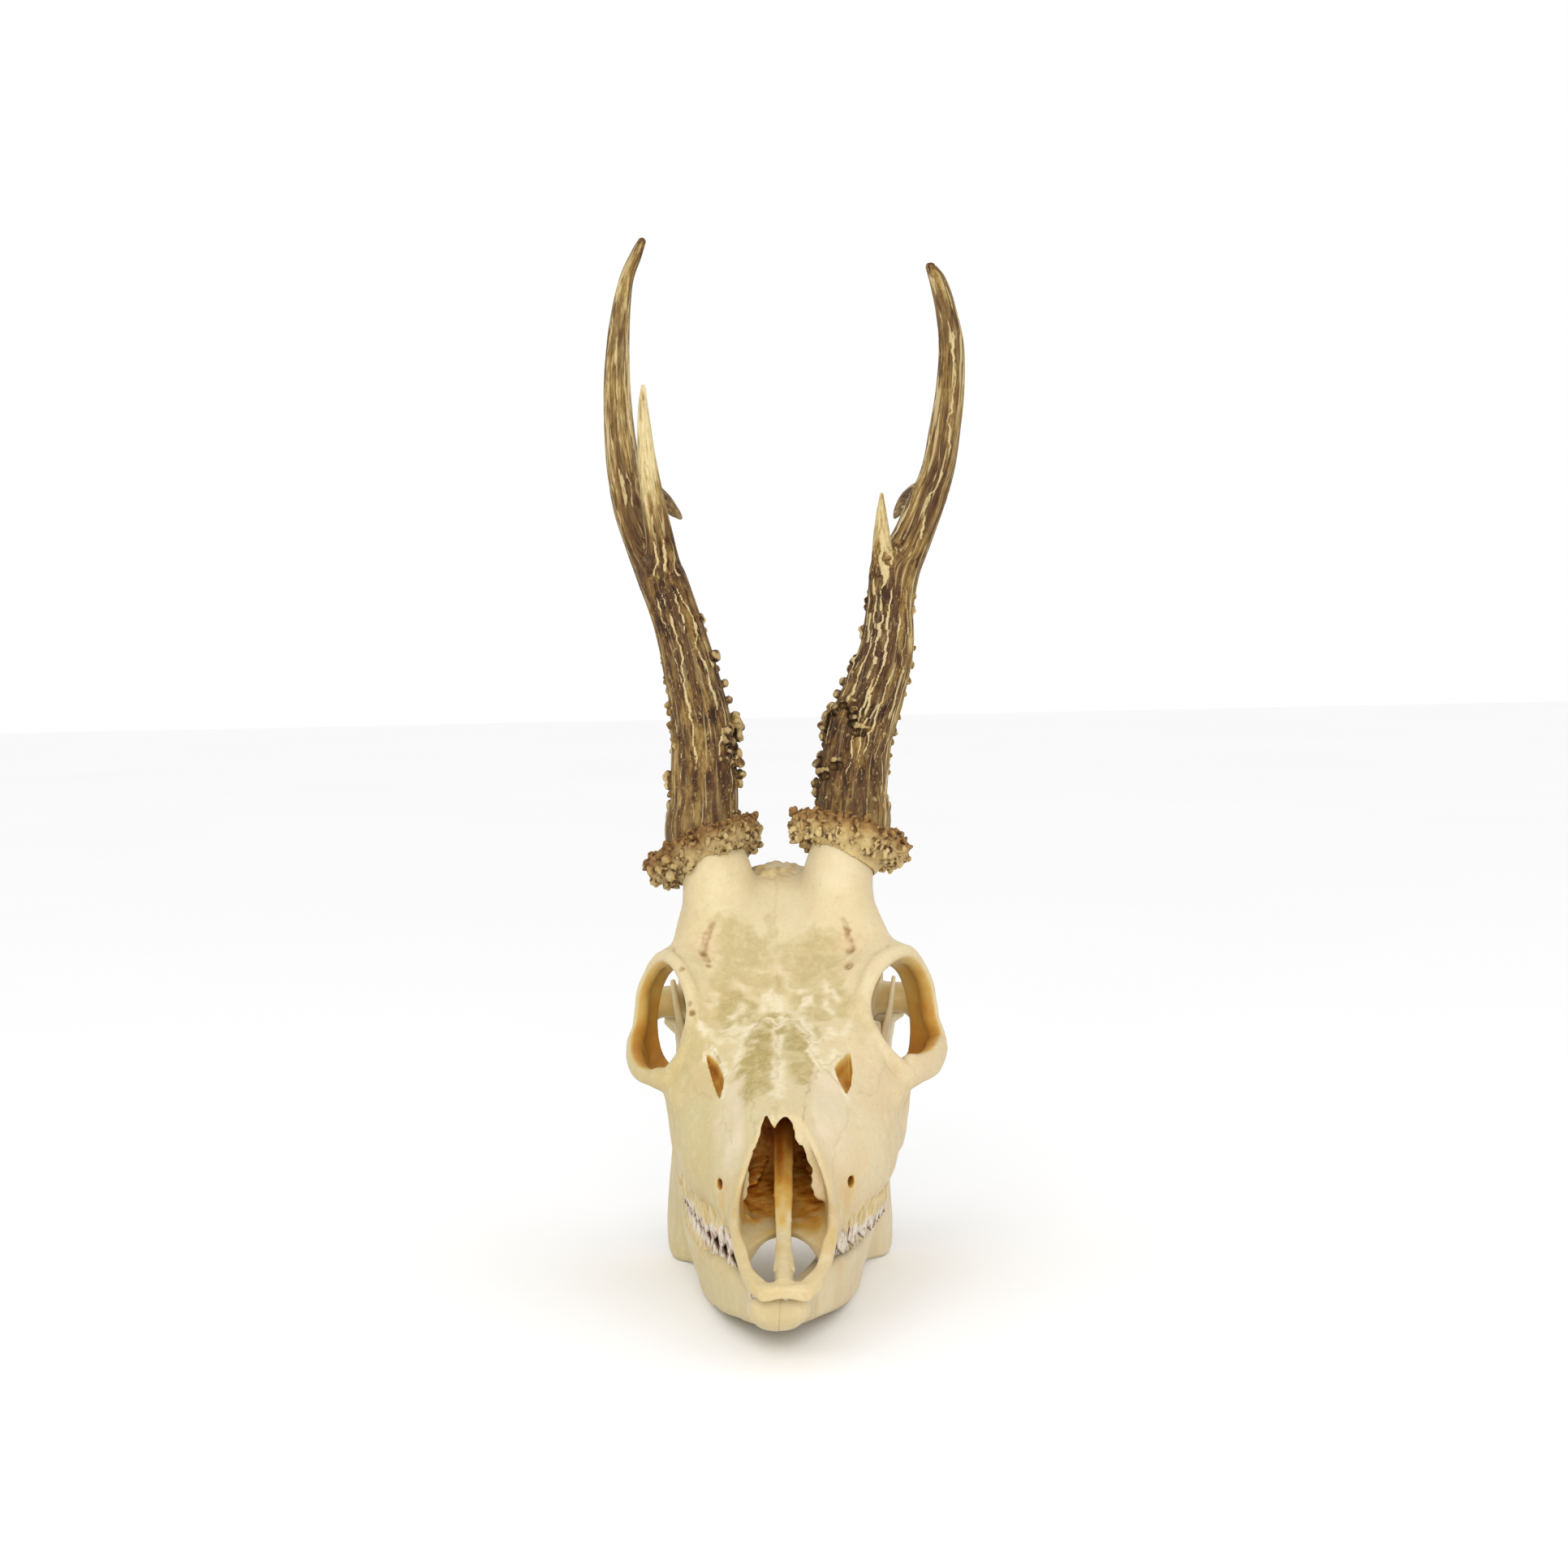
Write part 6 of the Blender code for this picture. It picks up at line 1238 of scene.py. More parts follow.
# shelves that stand out across the beam: height, angle, how far out, thickness
LEDGES = {
    -1: [[(121.6, 88, 0.6, 0.9), (119.4, 74, 0.5, 0.8), (117.0, 62, 0.4, 0.8), (115.6, 50, 0.3, 0.7), (113.6, 42, 0.2, 0.5)], [(110.6, 84, 0.6, 0.8), (109.4, 70, 0.4, 0.8), (108.6, 58, 0.3, 0.6)]],
    1: [
        [(119.0, -98, 1.2, 1.4), (120.6, -82, 1.0, 1.2), (121.8, -68, 0.7, 0.9), (122.6, -54, 0.6, 0.8), (122.6, -42, 0.5, 0.8), (121.8, -32, 0.5, 0.8), (119.6, -24, 0.5, 0.8), (118.2, -14, 0.6, 0.9), (117.4, -2, 0.5, 0.7), (117.6, 8, 0.3, 0.6)],
        [(107.2, -98, 1.0, 1.2), (106.6, -82, 0.8, 0.9), (106.2, -68, 0.6, 0.8), (106.2, -54, 0.5, 0.7), (106.8, -42, 0.4, 0.7), (108.4, -32, 0.3, 0.6), (110.0, -26, 0.2, 0.5)],
    ],
}
# pale lengthwise ridges: stem, from and to along it, angles at both ends, strength, half width
RIDGES = {
    -1: [
        ("beam", 22, 78, 34, 32, 1.0, 0.42), ("beam", 18, 78, -14, -10, 0.8, 0.3), ("beam", 40, 80, -24, -30, 0.6, 0.26), ("beam", 10, 62, 56, 60, 0.6, 0.3),
        ("beam", 12, 56, -44, -50, 0.45, 0.26), ("beam", 8, 40, 12, 14, 0.4, 0.24), ("beam", 60, 90, 8, 20, 0.7, 0.3), ("beam", 14, 80, 118, 110, 0.8, 0.4), ("beam", 10, 80, 150, 156, 0.7, 0.35),
        ("beam", 14, 80, -100, -96, 0.6, 0.3), ("beam", 10, 84, -136, -140, 0.7, 0.35), ("beam", 16, 80, 180, 176, 0.6, 0.3),
        ("front", 0, 34, 20, 10, 0.9, 0.5), ("front", 0, 26, -30, -20, 0.7, 0.35), ("front", 0, 30, 60, 50, 0.6, 0.35), ("front", 0, 28, 130, 140, 0.7, 0.4), ("front", 0, 28, -110, -120, 0.7, 0.4),
        ("beam", 84, 170, 70, 60, 0.5, 0.5), ("beam", 84, 180, -60, -50, 0.4, 0.4), ("beam", 84, 170, 160, 150, 0.5, 0.5),
    ],
    1: [
        ("beam", 44, 84, -26, -24, 1.0, 0.62), ("beam", 30, 84, -52, -50, 0.9, 0.42), ("beam", 34, 80, -4, -2, 0.8, 0.32), ("beam", 22, 76, 14, 16, 0.6, 0.3), ("beam", 36, 78, -38, -42, 0.8, 0.34),
        ("beam", 20, 80, 34, 36, 0.6, 0.28), ("beam", 10, 78, 52, 54, 0.6, 0.3), ("beam", 10, 50, -14, -10, 0.6, 0.3), ("beam", 8, 44, 2, 6, 0.5, 0.26), ("beam", 10, 78, 74, 76, 0.6, 0.3),
        ("beam", 24, 80, -72, -70, 0.7, 0.36), ("beam", 14, 80, -110, -104, 0.8, 0.4), ("beam", 12, 80, -150, -146, 0.7, 0.36), ("beam", 12, 80, 110, 116, 0.6, 0.34), ("beam", 14, 82, 150, 154, 0.7, 0.36),
        ("front", -2, 24, 0, -4, 1.0, 0.75), ("front", 0, 20, 60, 60, 0.7, 0.4), ("front", 0, 20, -80, -84, 0.6, 0.4), ("front", 0, 22, 150, 150, 0.7, 0.4),
        ("beam", 84, 170, 10, 6, 0.5, 0.5), ("beam", 84, 176, -70, -64, 0.5, 0.5), ("beam", 84, 170, 140, 130, 0.5, 0.5),
    ],
}
# how pale the horn is along each stem: 0 dark brown, 0.5 tan, 1 ivory
PALE = {
    (-1, "beam"): ([0, 14, 26, 60, 84, 94, 104, 120, 150, 172, 186, 194], [0.30, 0.28, 0.24, 0.20, 0.20, 0.30, 0.40, 0.42, 0.44, 0.46, 0.40, 0.30]),
    (-1, "front"): ([0, 10, 18, 26, 36, 44, 62], [0.10, 0.12, 0.24, 0.50, 0.74, 0.86, 0.92]),
    (-1, "rear"): ([0, 12, 26, 46], [0.2, 0.3, 0.42, 0.5]),
    (1, "beam"): ([0, 12, 24, 50, 66, 76, 86, 96, 120, 150, 172, 184, 190], [0.28, 0.22, 0.16, 0.16, 0.18, 0.24, 0.32, 0.36, 0.34, 0.36, 0.42, 0.42, 0.36]),
    (1, "front"): ([0, 5, 10, 16, 22, 31], [0.12, 0.14, 0.34, 0.66, 0.88, 0.92]),
    (1, "rear"): ([0, 12, 26, 46], [0.3, 0.36, 0.44, 0.5]),
}


def horn(s, cran):
    """One antler above its burr: one run of horn with its forks, knobs and ridges."""
    step = STEP["antler"]
    A = ANT[s]
    stems = {"beam": Stem(A["beam"], (0, -1, 0)), "front": Stem(A["front"], (0, -1, 0)), "rear": Stem(A["rear"], (0, 0, 1))}
    lo = (-62, 128, 74) if s < 0 else (-4, 128, 74)
    hi = (4, 244, 268) if s < 0 else (66, 244, 268)
    g = Grid(lo, hi, step)
    for name in ("beam", "front", "rear"):
        one = g if name == "beam" else Grid(lo, hi, step)
        C = curve(A[name], 6)
        for a, b in zip(C[:-1], C[1:]):
            one.add(rod(a[:3], b[:3], max(a[3], 0.4), max(b[3], 0.4)))
        if one is not g:
            g.d = smin(g.d, one.d, 2.4)
    B = stems["beam"]
    rs = np.random.RandomState(70 + s)
    knobs = [(B.place(z, a, out), r) for z, a, out, r in KNOBS[s]]
    for _ in range(150):
        z = 96 + 62 * rs.rand() ** 1.5
        a = rs.uniform(-180, 180)
        back = 0.5 - 0.5 * math.cos(math.radians(a))
        side = math.exp(-(((abs(a) - 95) / 30) ** 2))
        if rs.rand() > 0.18 + 0.55 * side + 0.4 * back:
            continue
        r = rs.uniform(0.45, 0.8) + 0.5 * side * rs.rand()
        knobs.append((B.place(z, a, 0.25 * r), r))
    for c, r in knobs:
        long = rs.uniform(1.0, 1.4)
        if r < 0.75:
            g.add(ball(c, (r, r, r * long)), 0.5)
            continue
        g.add(ball(c, (r * 0.85, r * 0.85, r * long * 0.85)), 0.7)
        for _ in range(int(3 + 3 * r)):
            t = rs.normal(size=3)
            t /= np.linalg.norm(t)
            m = r * rs.uniform(0.28, 0.5)
            g.add(ball(c + t * r * 0.75, (m, m, m * rs.uniform(0.8, 1.5))), 0.3)
    for run in LEDGES[s]:
        P = np.array([B.place(z, a, out) for z, a, out, r in run])
        for i in range(len(P) - 1):
            for t in (0.0, 0.33, 0.67):
                m = P[i] * (1 - t) + P[i + 1] * t
                r = run[i][3] * (1 - t) + run[i + 1][3] * t
                g.add(ball(m + rs.normal(size=3) * 0.18, (r * rs.uniform(0.85, 1.3), r * rs.uniform(0.85, 1.3), r * rs.uniform(0.6, 1.0))), 0.35)
            under = P[i] - np.array([0, 0, 1.9 * run[i][3] + 0.6])
            g.cut(ball(under, (1.3, 1.3, 1.1)), 0.6)
    # the foot widens into the burr
    c, n, u, w = burr_frame(s)
    g.add(rod(c + n * 1.0, c + n * 6.5, 10.8 if s < 0 else 11.2, 9.6), 3)
    d = g.d
    X, Y, Z = [a.reshape([-1 if i == k else 1 for k in range(3)]) for i, a in enumerate(g.axes)]
    d = np.maximum(d, F(1.2) - plane(X, Y, Z, c, n))
    d = seal(d)
    at = [a[0] for a in g.axes]
    v, q, nrm = skin(d, at, step, 0.5)
    deep = hollowness(d, at, step, v, nrm, 1.6)
    # lengthwise and crosswise places
    near_ = {k: st.nearest(v) for k, st in stems.items()}
    names = ("beam", "front", "rear")
    D = np.stack([near_[k][:, 0] for k in names], 1)
    which = D.argmin(1)
    pick = np.stack([near_[k] for k in names], 1)[np.arange(len(v)), which]
    along, angle, rad = pick[:, 1], pick[:, 2], np.maximum(pick[:, 3], 0.5)
    share = np.exp(-np.clip(D - D.min(1)[:, None], 0, 20) / 1.3)
    share /= share.sum(1)[:, None]
    middle = np.zeros((len(v), 2))
    for i, k in enumerate(names[:2]):
        c = stems[k].c
        o = np.argsort(c[:, 2])
        for m in range(2):
            middle[:, m] += (share[:, i] + (0.5 * share[:, 2])) * np.interp(v[:, 2], c[o, 2], c[o, m])
    grain = np.stack([v[:, 0] - middle[:, 0], v[:, 1] - middle[:, 1], v[:, 2] * 1.05 - 0.35 * share[:, 2] * v[:, 1]], 1)
    back = near_["rear"]
    own = np.stack([back[:, 3] * np.cos(back[:, 2]), back[:, 3] * np.sin(back[:, 2]), 40 + back[:, 1]], 1)
    w2 = (np.clip((share[:, 2] - 0.5) / 0.4, 0, 1) * np.clip((back[:, 1] - 3) / 4, 0, 1))[:, None]
    grain = grain * (1 - w2) + own * w2
    pale = np.zeros(len(v))
    ridge = np.zeros(len(v))
    rise = np.zeros(len(v))
    for i, k in enumerate(names):
        m = which == i
        if not m.any():
            continue
        for stem, s0, s1, a0, a1, amp, half in RIDGES[s]:
            if stem != k:
                continue
            t = np.clip((along[m] - s0) / (s1 - s0), 0, 1)
            a = np.radians(a0 + (a1 - a0) * t)
            line = np.stack([along[m], 0 * t + a0 * 3.1, 0 * t], 1)
            a = a + (0.11 * noise(line, 8.0, 81) + 0.07 * noise(line, 3.0, 82) + 0.03 * noise(line, 1.2, 80)) * 6 / rad[m]
            gap = np.angle(np.exp(1j * (angle[m] - a))) * rad[m]
            ends = np.clip((along[m] - s0) / 3, 0, 1) * np.clip((s1 - along[m]) / 5, 0, 1)
            broken = np.clip(1.35 + 1.1 * noise(line, 7.0, 83), 0, 1)
            width = half * (0.7 + 0.55 * noise(line, 3.0, 84))
            width = np.maximum(width, 0.15)
            here = amp * ends * broken
            ridge[m] = np.maximum(ridge[m], here * np.exp(-((gap / width) ** 2)))
            rise[m] = np.maximum(rise[m], here * np.exp(-((gap / (width + 0.3)) ** 2)))
    for i, k in enumerate(names):
        xs, ys = PALE[s, k]
        pale += share[:, i] * ease(xs, ys)(near_[k][:, 1])
    streak = fractal(grain, (2.6, 2.6, 34), 85)
    fine = fractal(grain, (1.1, 1.1, 16), 88)
    lower = np.clip((96 - along) / 20, 0, 1) * (which == 0)
    upper = 1 - np.clip((170 - v[:, 2]) / 14, 0, 1)
    smooth = np.clip((pale - 0.55) / 0.4, 0, 1)
    v = v + nrm * ((0.34 * rise * (1 - 0.6 * upper) + (0.26 * streak + 0.1 * fine) * (1 - 0.75 * smooth))[:, None])
    tip = np.zeros(len(v))
    out = pick[:, 0]
    for c, r in knobs:
        dd = np.sqrt(((v - c) ** 2).sum(1))
        tip = np.maximum(tip, np.clip(2.0 - dd / (r * 0.98), 0, 1) * np.clip((out - 0.35 * r) / (0.6 * r + 0.2), 0, 1))
    tip = np.clip(tip * (0.75 + 0.6 * noise(v, 1.3, 96)), 0, 1)
    edge = np.clip((angle * (-s) - 0.9) * 0.9, 0, 1) * lower      # the outer side of the lower beam is lighter
    if s < 0:
        edge = np.clip((-angle - 0.75) * 1.1, 0, 1) * lower * 0.8
    else:
        edge = np.clip((angle - 0.1) * 0.9, 0, 1) * lower
    foot = np.clip((20 - along) / 14, 0, 1) * (which == 0)
    marks = {"pale": pale + 0.30 * edge, "ridge": np.clip(ridge, 0, 1), "tip": np.clip(tip, 0, 1), "deep": np.clip(deep, -1, 1), "foot": foot, "low": lower}
    return v, q, marks, grain


def burr_frame(s):
    c, n = np.array(SEAT[s][0]), np.array(SEAT[s][1])
    n = n / np.linalg.norm(n)
    u = np.cross(n, (0, 1, 0))
    u /= np.linalg.norm(u)
    return c + n * 3.0 + np.array(BURR[s]), n, u, np.cross(n, u)


def burr(s, cran):
    """The knotted collar at the foot of an antler: hundreds of small pearls on a ring."""
    step = STEP["burr"]
    c, n, u, w = burr_frame(s)
    g = Grid(c - 21, c + 21, step)
    rs = np.random.RandomState(90 + s)
    for i in range(40):
        a = 2 * math.pi * i / 40
        rr = 12.0 + 0.8 * math.sin(3 * a + 1) + 0.6 * math.sin(7 * a)
        p = c + u * rr * 1.08 * math.cos(a) + w * rr * 0.94 * math.sin(a) + n * (0.6 * math.sin(5 * a))
        g.add(ball(p, 3.7 + 0.5 * math.sin(11 * a)), 1.0)
    g.add(rod(c - n * 1.5, c + n * 2.6, 11.3, 10.0), 1.5)
    pearls = []
    for turn in range(1500):
        big = turn < 420
        a = rs.uniform(0, 2 * math.pi)
        b = rs.uniform(-2.2, 2.5)
        rr = 12.0 + 0.8 * math.sin(3 * a + 1) + 0.6 * math.sin(7 * a)
        t = 3.4 + 0.5 * math.sin(11 * a)
        o = u * 1.08 * math.cos(a) + w * 0.94 * math.sin(a)
        p = c + o * rr + n * (0.6 * math.sin(5 * a))
        o = o / np.linalg.norm(o)
        k = o * math.cos(b) + n * math.sin(b)
        r = rs.uniform(0.85, 1.55) if big else rs.uniform(0.4, 0.75)
        p = p + k * (t + (rs.uniform(-0.3, 0.9) if big else rs.uniform(-0.1, 0.7)))
        if all(((p - e) ** 2).sum() > (0.72 * (r + m)) ** 2 for e, m, _ in pearls):
            pearls.append((p, r, k))
    for p, r, k in pearls:
        long = rs.uniform(1.0, 1.7)
        t = np.cross(k, rs.normal(size=3))
        t /= np.linalg.norm(t)
        g.add(ball(p, (r, r * rs.uniform(0.55, 0.9), r * long), (t, np.cross(k, t), k)), 0.2)
        if r > 0.9:
            for _ in range(3):
                e = rs.normal(size=3)
                e /= np.linalg.norm(e)
                m = r * rs.uniform(0.3, 0.5)
                g.add(ball(p + e * r * 0.85 + k * 0.4, (m, m, m * 1.3)), 0.2)
    X, Y, Z = [a.reshape([-1 if i == k else 1 for k in range(3)]) for i, a in enumerate(g.axes)]
    full, lo, cstep = cran
    head = read_at(full, [lo[0], lo[1], lo[2]], cstep, g.axes)
    d = np.maximum(g.d, F(0.25) - head)
    d = np.maximum(d, plane(X, Y, Z, c, n) - F(8.0))
    d = seal(d)
    at = [a[0] for a in g.axes]
    v, q, nrm = skin(d, at, step, 0.5)
    deep = np.clip(hollowness(d, at, step, v, nrm, 1.1), -1, 1)
    wide = np.clip(hollowness(d, at, step, v, nrm, 2.6), -1, 1)
    high = np.clip(((v - c) @ n) / 8 + 0.5, 0, 1)
    v = v + nrm * (0.08 * noise(v, 1.1, 95))[:, None]
    out = np.sqrt((((v - c) - ((v - c) @ n)[:, None] * n) ** 2).sum(1))
    return v, q, {"deep": deep, "high": high, "wide": wide}


# ---- finishes ----


def lin(r, g, b, dim=0.80):
    """A colour as seen, 0 to 255, to the renderer's own scale, dimmed because the studio is brighter than white paper."""
    return tuple(dim * ((c / 255 / 12.92) if c <= 10 else ((c / 255 + 0.055) / 1.055) ** 2.4) for c in (r, g, b)) + (1.0,)


class Finish:
    """A small builder of shader nodes."""

    def __init__(self, name, rough, scatter=0.0, shine=0.35):
        self.m = bpy.data.materials.new(name)
        self.m.use_nodes = True
        self.t = self.m.node_tree
        self.b = self.t.nodes["Principled BSDF"]
        self.b.inputs["Metallic"].default_value = 0.0
        self.b.inputs["Roughness"].default_value = rough
        self.b.inputs["IOR"].default_value = 1.45
        self.b.inputs["Specular IOR Level"].default_value = shine
        if scatter:
            self.b.inputs["Subsurface Weight"].default_value = scatter
            self.b.inputs["Subsurface Radius"].default_value = (1.0, 0.62, 0.36)
            self.b.inputs["Subsurface Scale"].default_value = 0.0022
        self.coord = self.t.nodes.new("ShaderNodeTexCoord").outputs["Object"]

    def put(self, socket, v):
        if isinstance(v, (int, float)):
            socket.default_value = v
        elif isinstance(v, tuple):
            socket.default_value = v
        else:
            self.t.links.new(v, socket)

    def attr(self, name, what="Fac"):
        n = self.t.nodes.new("ShaderNodeAttribute")
        n.attribute_type = "GEOMETRY"
        n.attribute_name = name
        return n.outputs[what]

    def noise(self, scale, detail=3.0, rough=0.55, coord=None, warp=0.0):
        n = self.t.nodes.new("ShaderNodeTexNoise")
        n.inputs["Scale"].default_value = scale
        n.inputs["Detail"].default_value = detail
        n.inputs["Roughness"].default_value = rough
        n.inputs["Distortion"].default_value = warp
        self.t.links.new(coord or self.coord, n.inputs["Vector"])
        return n.outputs["Fac"]

    def stretch(self, coord, scale):
        n = self.t.nodes.new("ShaderNodeMapping")
        n.inputs["Scale"].default_value = scale
        self.t.links.new(coord, n.inputs["Vector"])
        return n.outputs["Vector"]

    def range(self, v, a, b, c=0.0, d=1.0):
        n = self.t.nodes.new("ShaderNodeMapRange")
        n.interpolation_type = "SMOOTHSTEP"
        self.t.links.new(v, n.inputs["Value"])
        for k, x in zip(("From Min", "From Max", "To Min", "To Max"), (a, b, c, d)):
            n.inputs[k].default_value = x
        return n.outputs["Result"]

    def math(self, op, a, b=0.0, clamp=False):
        n = self.t.nodes.new("ShaderNodeMath")
        n.operation = op
        n.use_clamp = clamp
        self.put(n.inputs[0], a)
        self.put(n.inputs[1], b)
        return n.outputs[0]

    def mix(self, fac, a, b, how="MIX"):
        n = self.t.nodes.new("ShaderNodeMix")
        n.data_type = "RGBA"
        n.blend_type = how
        n.clamp_factor = True
        self.put(n.inputs[0], fac)
        self.put(n.inputs[6], a)
        self.put(n.inputs[7], b)
        return n.outputs[2]

    def ramp(self, v, stops):
        n = self.t.nodes.new("ShaderNodeValToRGB")
        e = n.color_ramp.elements
        while len(e) < len(stops):
            e.new(0.5)
        for k, (p, c) in zip(e, stops):
            k.position, k.color = p, c
        self.t.links.new(v, n.inputs["Fac"])
        return n.outputs["Color"]

    def done(self, colour, height=None, strength=0.3, distance=0.0004, rough=None):
        self.t.links.new(colour, self.b.inputs["Base Color"])
        if height is not None:
            n = self.t.nodes.new("ShaderNodeBump")
            n.inputs["Strength"].default_value = strength
            n.inputs["Distance"].default_value = distance
            self.t.links.new(height, n.inputs["Height"])
            self.t.links.new(n.outputs["Normal"], self.b.inputs["Normal"])
        if rough is not None:
            self.t.links.new(rough, self.b.inputs["Roughness"])
        return self.m


def finish_bone():
    f = Finish("bone", 0.5, 0.1)
    wide = f.noise(38, 3, 0.5)
    mid = f.noise(150, 4, 0.6)
    small = f.noise(520, 4, 0.65)
    xyz = f.t.nodes.new("ShaderNodeSeparateXYZ")
    f.t.links.new(f.coord, xyz.inputs[0])
    side = f.range(xyz.outputs[0], -0.034, 0.026)
    top = f.range(xyz.outputs[2], 0.05, 0.10)
    left = f.mix(f.range(wide, 0.35, 0.68), lin(212, 196, 144), lin(206, 186, 128))
    right = f.mix(f.range(wide, 0.35, 0.68), lin(226, 208, 168), lin(224, 200, 156))
    c = f.mix(side, left, right)
    # painted light: higher up, the bone is mixed towards a brighter cream, as lit from above
    c = f.mix(f.math("MULTIPLY", top, f.range(mid, 0.25, 0.75, 1.0, 0.7)), c, lin(233, 215, 170))
    c = f.mix(f.math("MULTIPLY", f.range(mid, 0.48, 0.75), 0.4), c, lin(230, 200, 160))
    c = f.mix(f.math("MULTIPLY", f.range(small, 0.5, 0.72), 0.25), c, lin(200, 176, 122))
    c = f.mix(f.math("MULTIPLY", f.attr("tan"), f.range(mid, 0.3, 0.7, 0.25, 0.6)), c, lin(214, 180, 116))
    spots = f.range(f.noise(420, 4, 0.65), 0.34, 0.60, 0.55, 1.0)
    c = f.mix(f.math("MULTIPLY", f.attr("olive"), spots), c, lin(184, 164, 101))
    dots = f.math("MULTIPLY", f.range(f.noise(900, 3, 0.6), 0.50, 0.66), f.range(f.attr("olive"), 0.6, 1.1))
    c = f.mix(f.math("MULTIPLY", dots, 0.45), c, lin(160, 138, 80))
    c = f.mix(f.math("MULTIPLY", f.attr("lobe"), f.range(mid, 0.3, 0.7, 0.25, 0.6)), c, lin(240, 222, 196))
    c = f.mix(f.math("MULTIPLY", f.attr("web"), f.range(small, 0.3, 0.6, 0.5, 0.95)), c, lin(246, 234, 200))
    c = f.mix(f.math("MULTIPLY", f.attr("blush"), f.range(small, 0.3, 0.7, 0.3, 0.8)), c, lin(222, 184, 140))
    c = f.mix(f.math("MULTIPLY", f.attr("seam"), 0.55), c, lin(168, 138, 84))
    # painted shade: the bone is darkened where the surface is hollow
    hollow = f.range(f.attr("deep"), 0.2, 0.9)
    c = f.mix(f.math("MULTIPLY", hollow, 0.5), c, lin(168, 132, 72))
    # brown-gold ramp over the bone: its own stain, and painted shade in the orbits, the nose, the slits and the hollows
    tint_and_shade = f.attr("tint_and_shade")
    tint_and_shade_ramp = f.ramp(f.math("ADD", tint_and_shade, f.math("MULTIPLY", f.math("SUBTRACT", f.noise(260, 4, 0.65), 0.5), 0.4)), [
        (0.0, lin(220, 196, 132)), (0.35, lin(212, 172, 88)), (0.62, lin(196, 140, 56)), (1.0, lin(164, 92, 20))])
    tint_and_shade_ramp = f.mix(f.attr("lit"), tint_and_shade_ramp, f.ramp(f.noise(230, 5, 0.65), [(0.36, lin(160, 88, 14, 1.0)), (0.48, lin(224, 142, 34, 1.0)), (0.62, lin(248, 190, 92, 1.0))]))
    c = f.mix(f.range(tint_and_shade, 0.03, 0.42), c, tint_and_shade_ramp)
    # painted shade in the grooves and pits above the orbits; the spots on the crest are the bone's own
    c = f.mix(f.math("MULTIPLY", f.attr("pit"), f.range(small, 0.3, 0.7, 0.5, 1.0)), c, lin(152, 116, 62))
    flecks = f.range(f.noise(760, 4, 0.7, None, 0.6), 0.60, 0.70, 0.0, 0.30)
    c = f.mix(flecks, c, lin(176, 146, 92))
    light = f.range(f.noise(320, 5, 0.6, None, 0.8), 0.52, 0.68, 0.0, 0.2)
    c = f.mix(f.math("MULTIPLY", light, f.range(tint_and_shade, 0.3, 0.1)), c, lin(246, 232, 194))
    pores = f.range(f.noise(2300, 2, 0.5), 0.60, 0.70)
    c = f.mix(f.math("MULTIPLY", pores, f.range(f.attr("tan"), 0.1, 0.9, 0.10, 0.4)), c, lin(160, 126, 76))
    h = f.math("ADD", f.math("MULTIPLY", small, 0.6), f.math("MULTIPLY", f.noise(1700, 3, 0.6), 0.4))
    return f.done(c, h, 0.22, 0.0004, f.range(f.noise(300, 3), 0.3, 0.7, 0.42, 0.6))


def finish_teeth():
    f = Finish("teeth", 0.3, 0.05)
    grain = f.stretch(f.coord, (1.0, 1.0, 0.3))
    streaks = f.noise(700, 4, 0.6, grain)
    c = f.mix(f.range(streaks, 0.42, 0.66), lin(232, 222, 204), lin(214, 198, 168))
    stained = f.math("MULTIPLY", f.range(f.noise(430, 3, 0.7, f.stretch(f.coord, (1.0, 1.0, 0.45)), 0.6), 0.50, 0.60), 0.85)
    c = f.mix(stained, c, lin(152, 112, 84))
    c = f.mix(f.attr("root"), c, f.mix(f.range(streaks, 0.4, 0.65), lin(222, 202, 148), lin(206, 176, 116)))
    # painted shade: darker brown in the creases between the cusps and between the teeth
    crack = f.range(f.attr("deep"), 0.10, 0.42)
    c = f.mix(f.math("MULTIPLY", crack, f.range(f.attr("root"), 0.0, 0.8, 0.92, 0.28)), c, lin(104, 70, 48))
    lines = f.math("MULTIPLY", f.range(f.noise(1500, 3, 0.7, f.stretch(f.coord, (1.0, 1.0, 0.16))), 0.58, 0.66), f.range(f.attr("root"), 0.0, 0.8, 0.6, 0.12))
    c = f.mix(lines, c, lin(128, 92, 70))
    return f.done(c, streaks, 0.3, 0.0003)


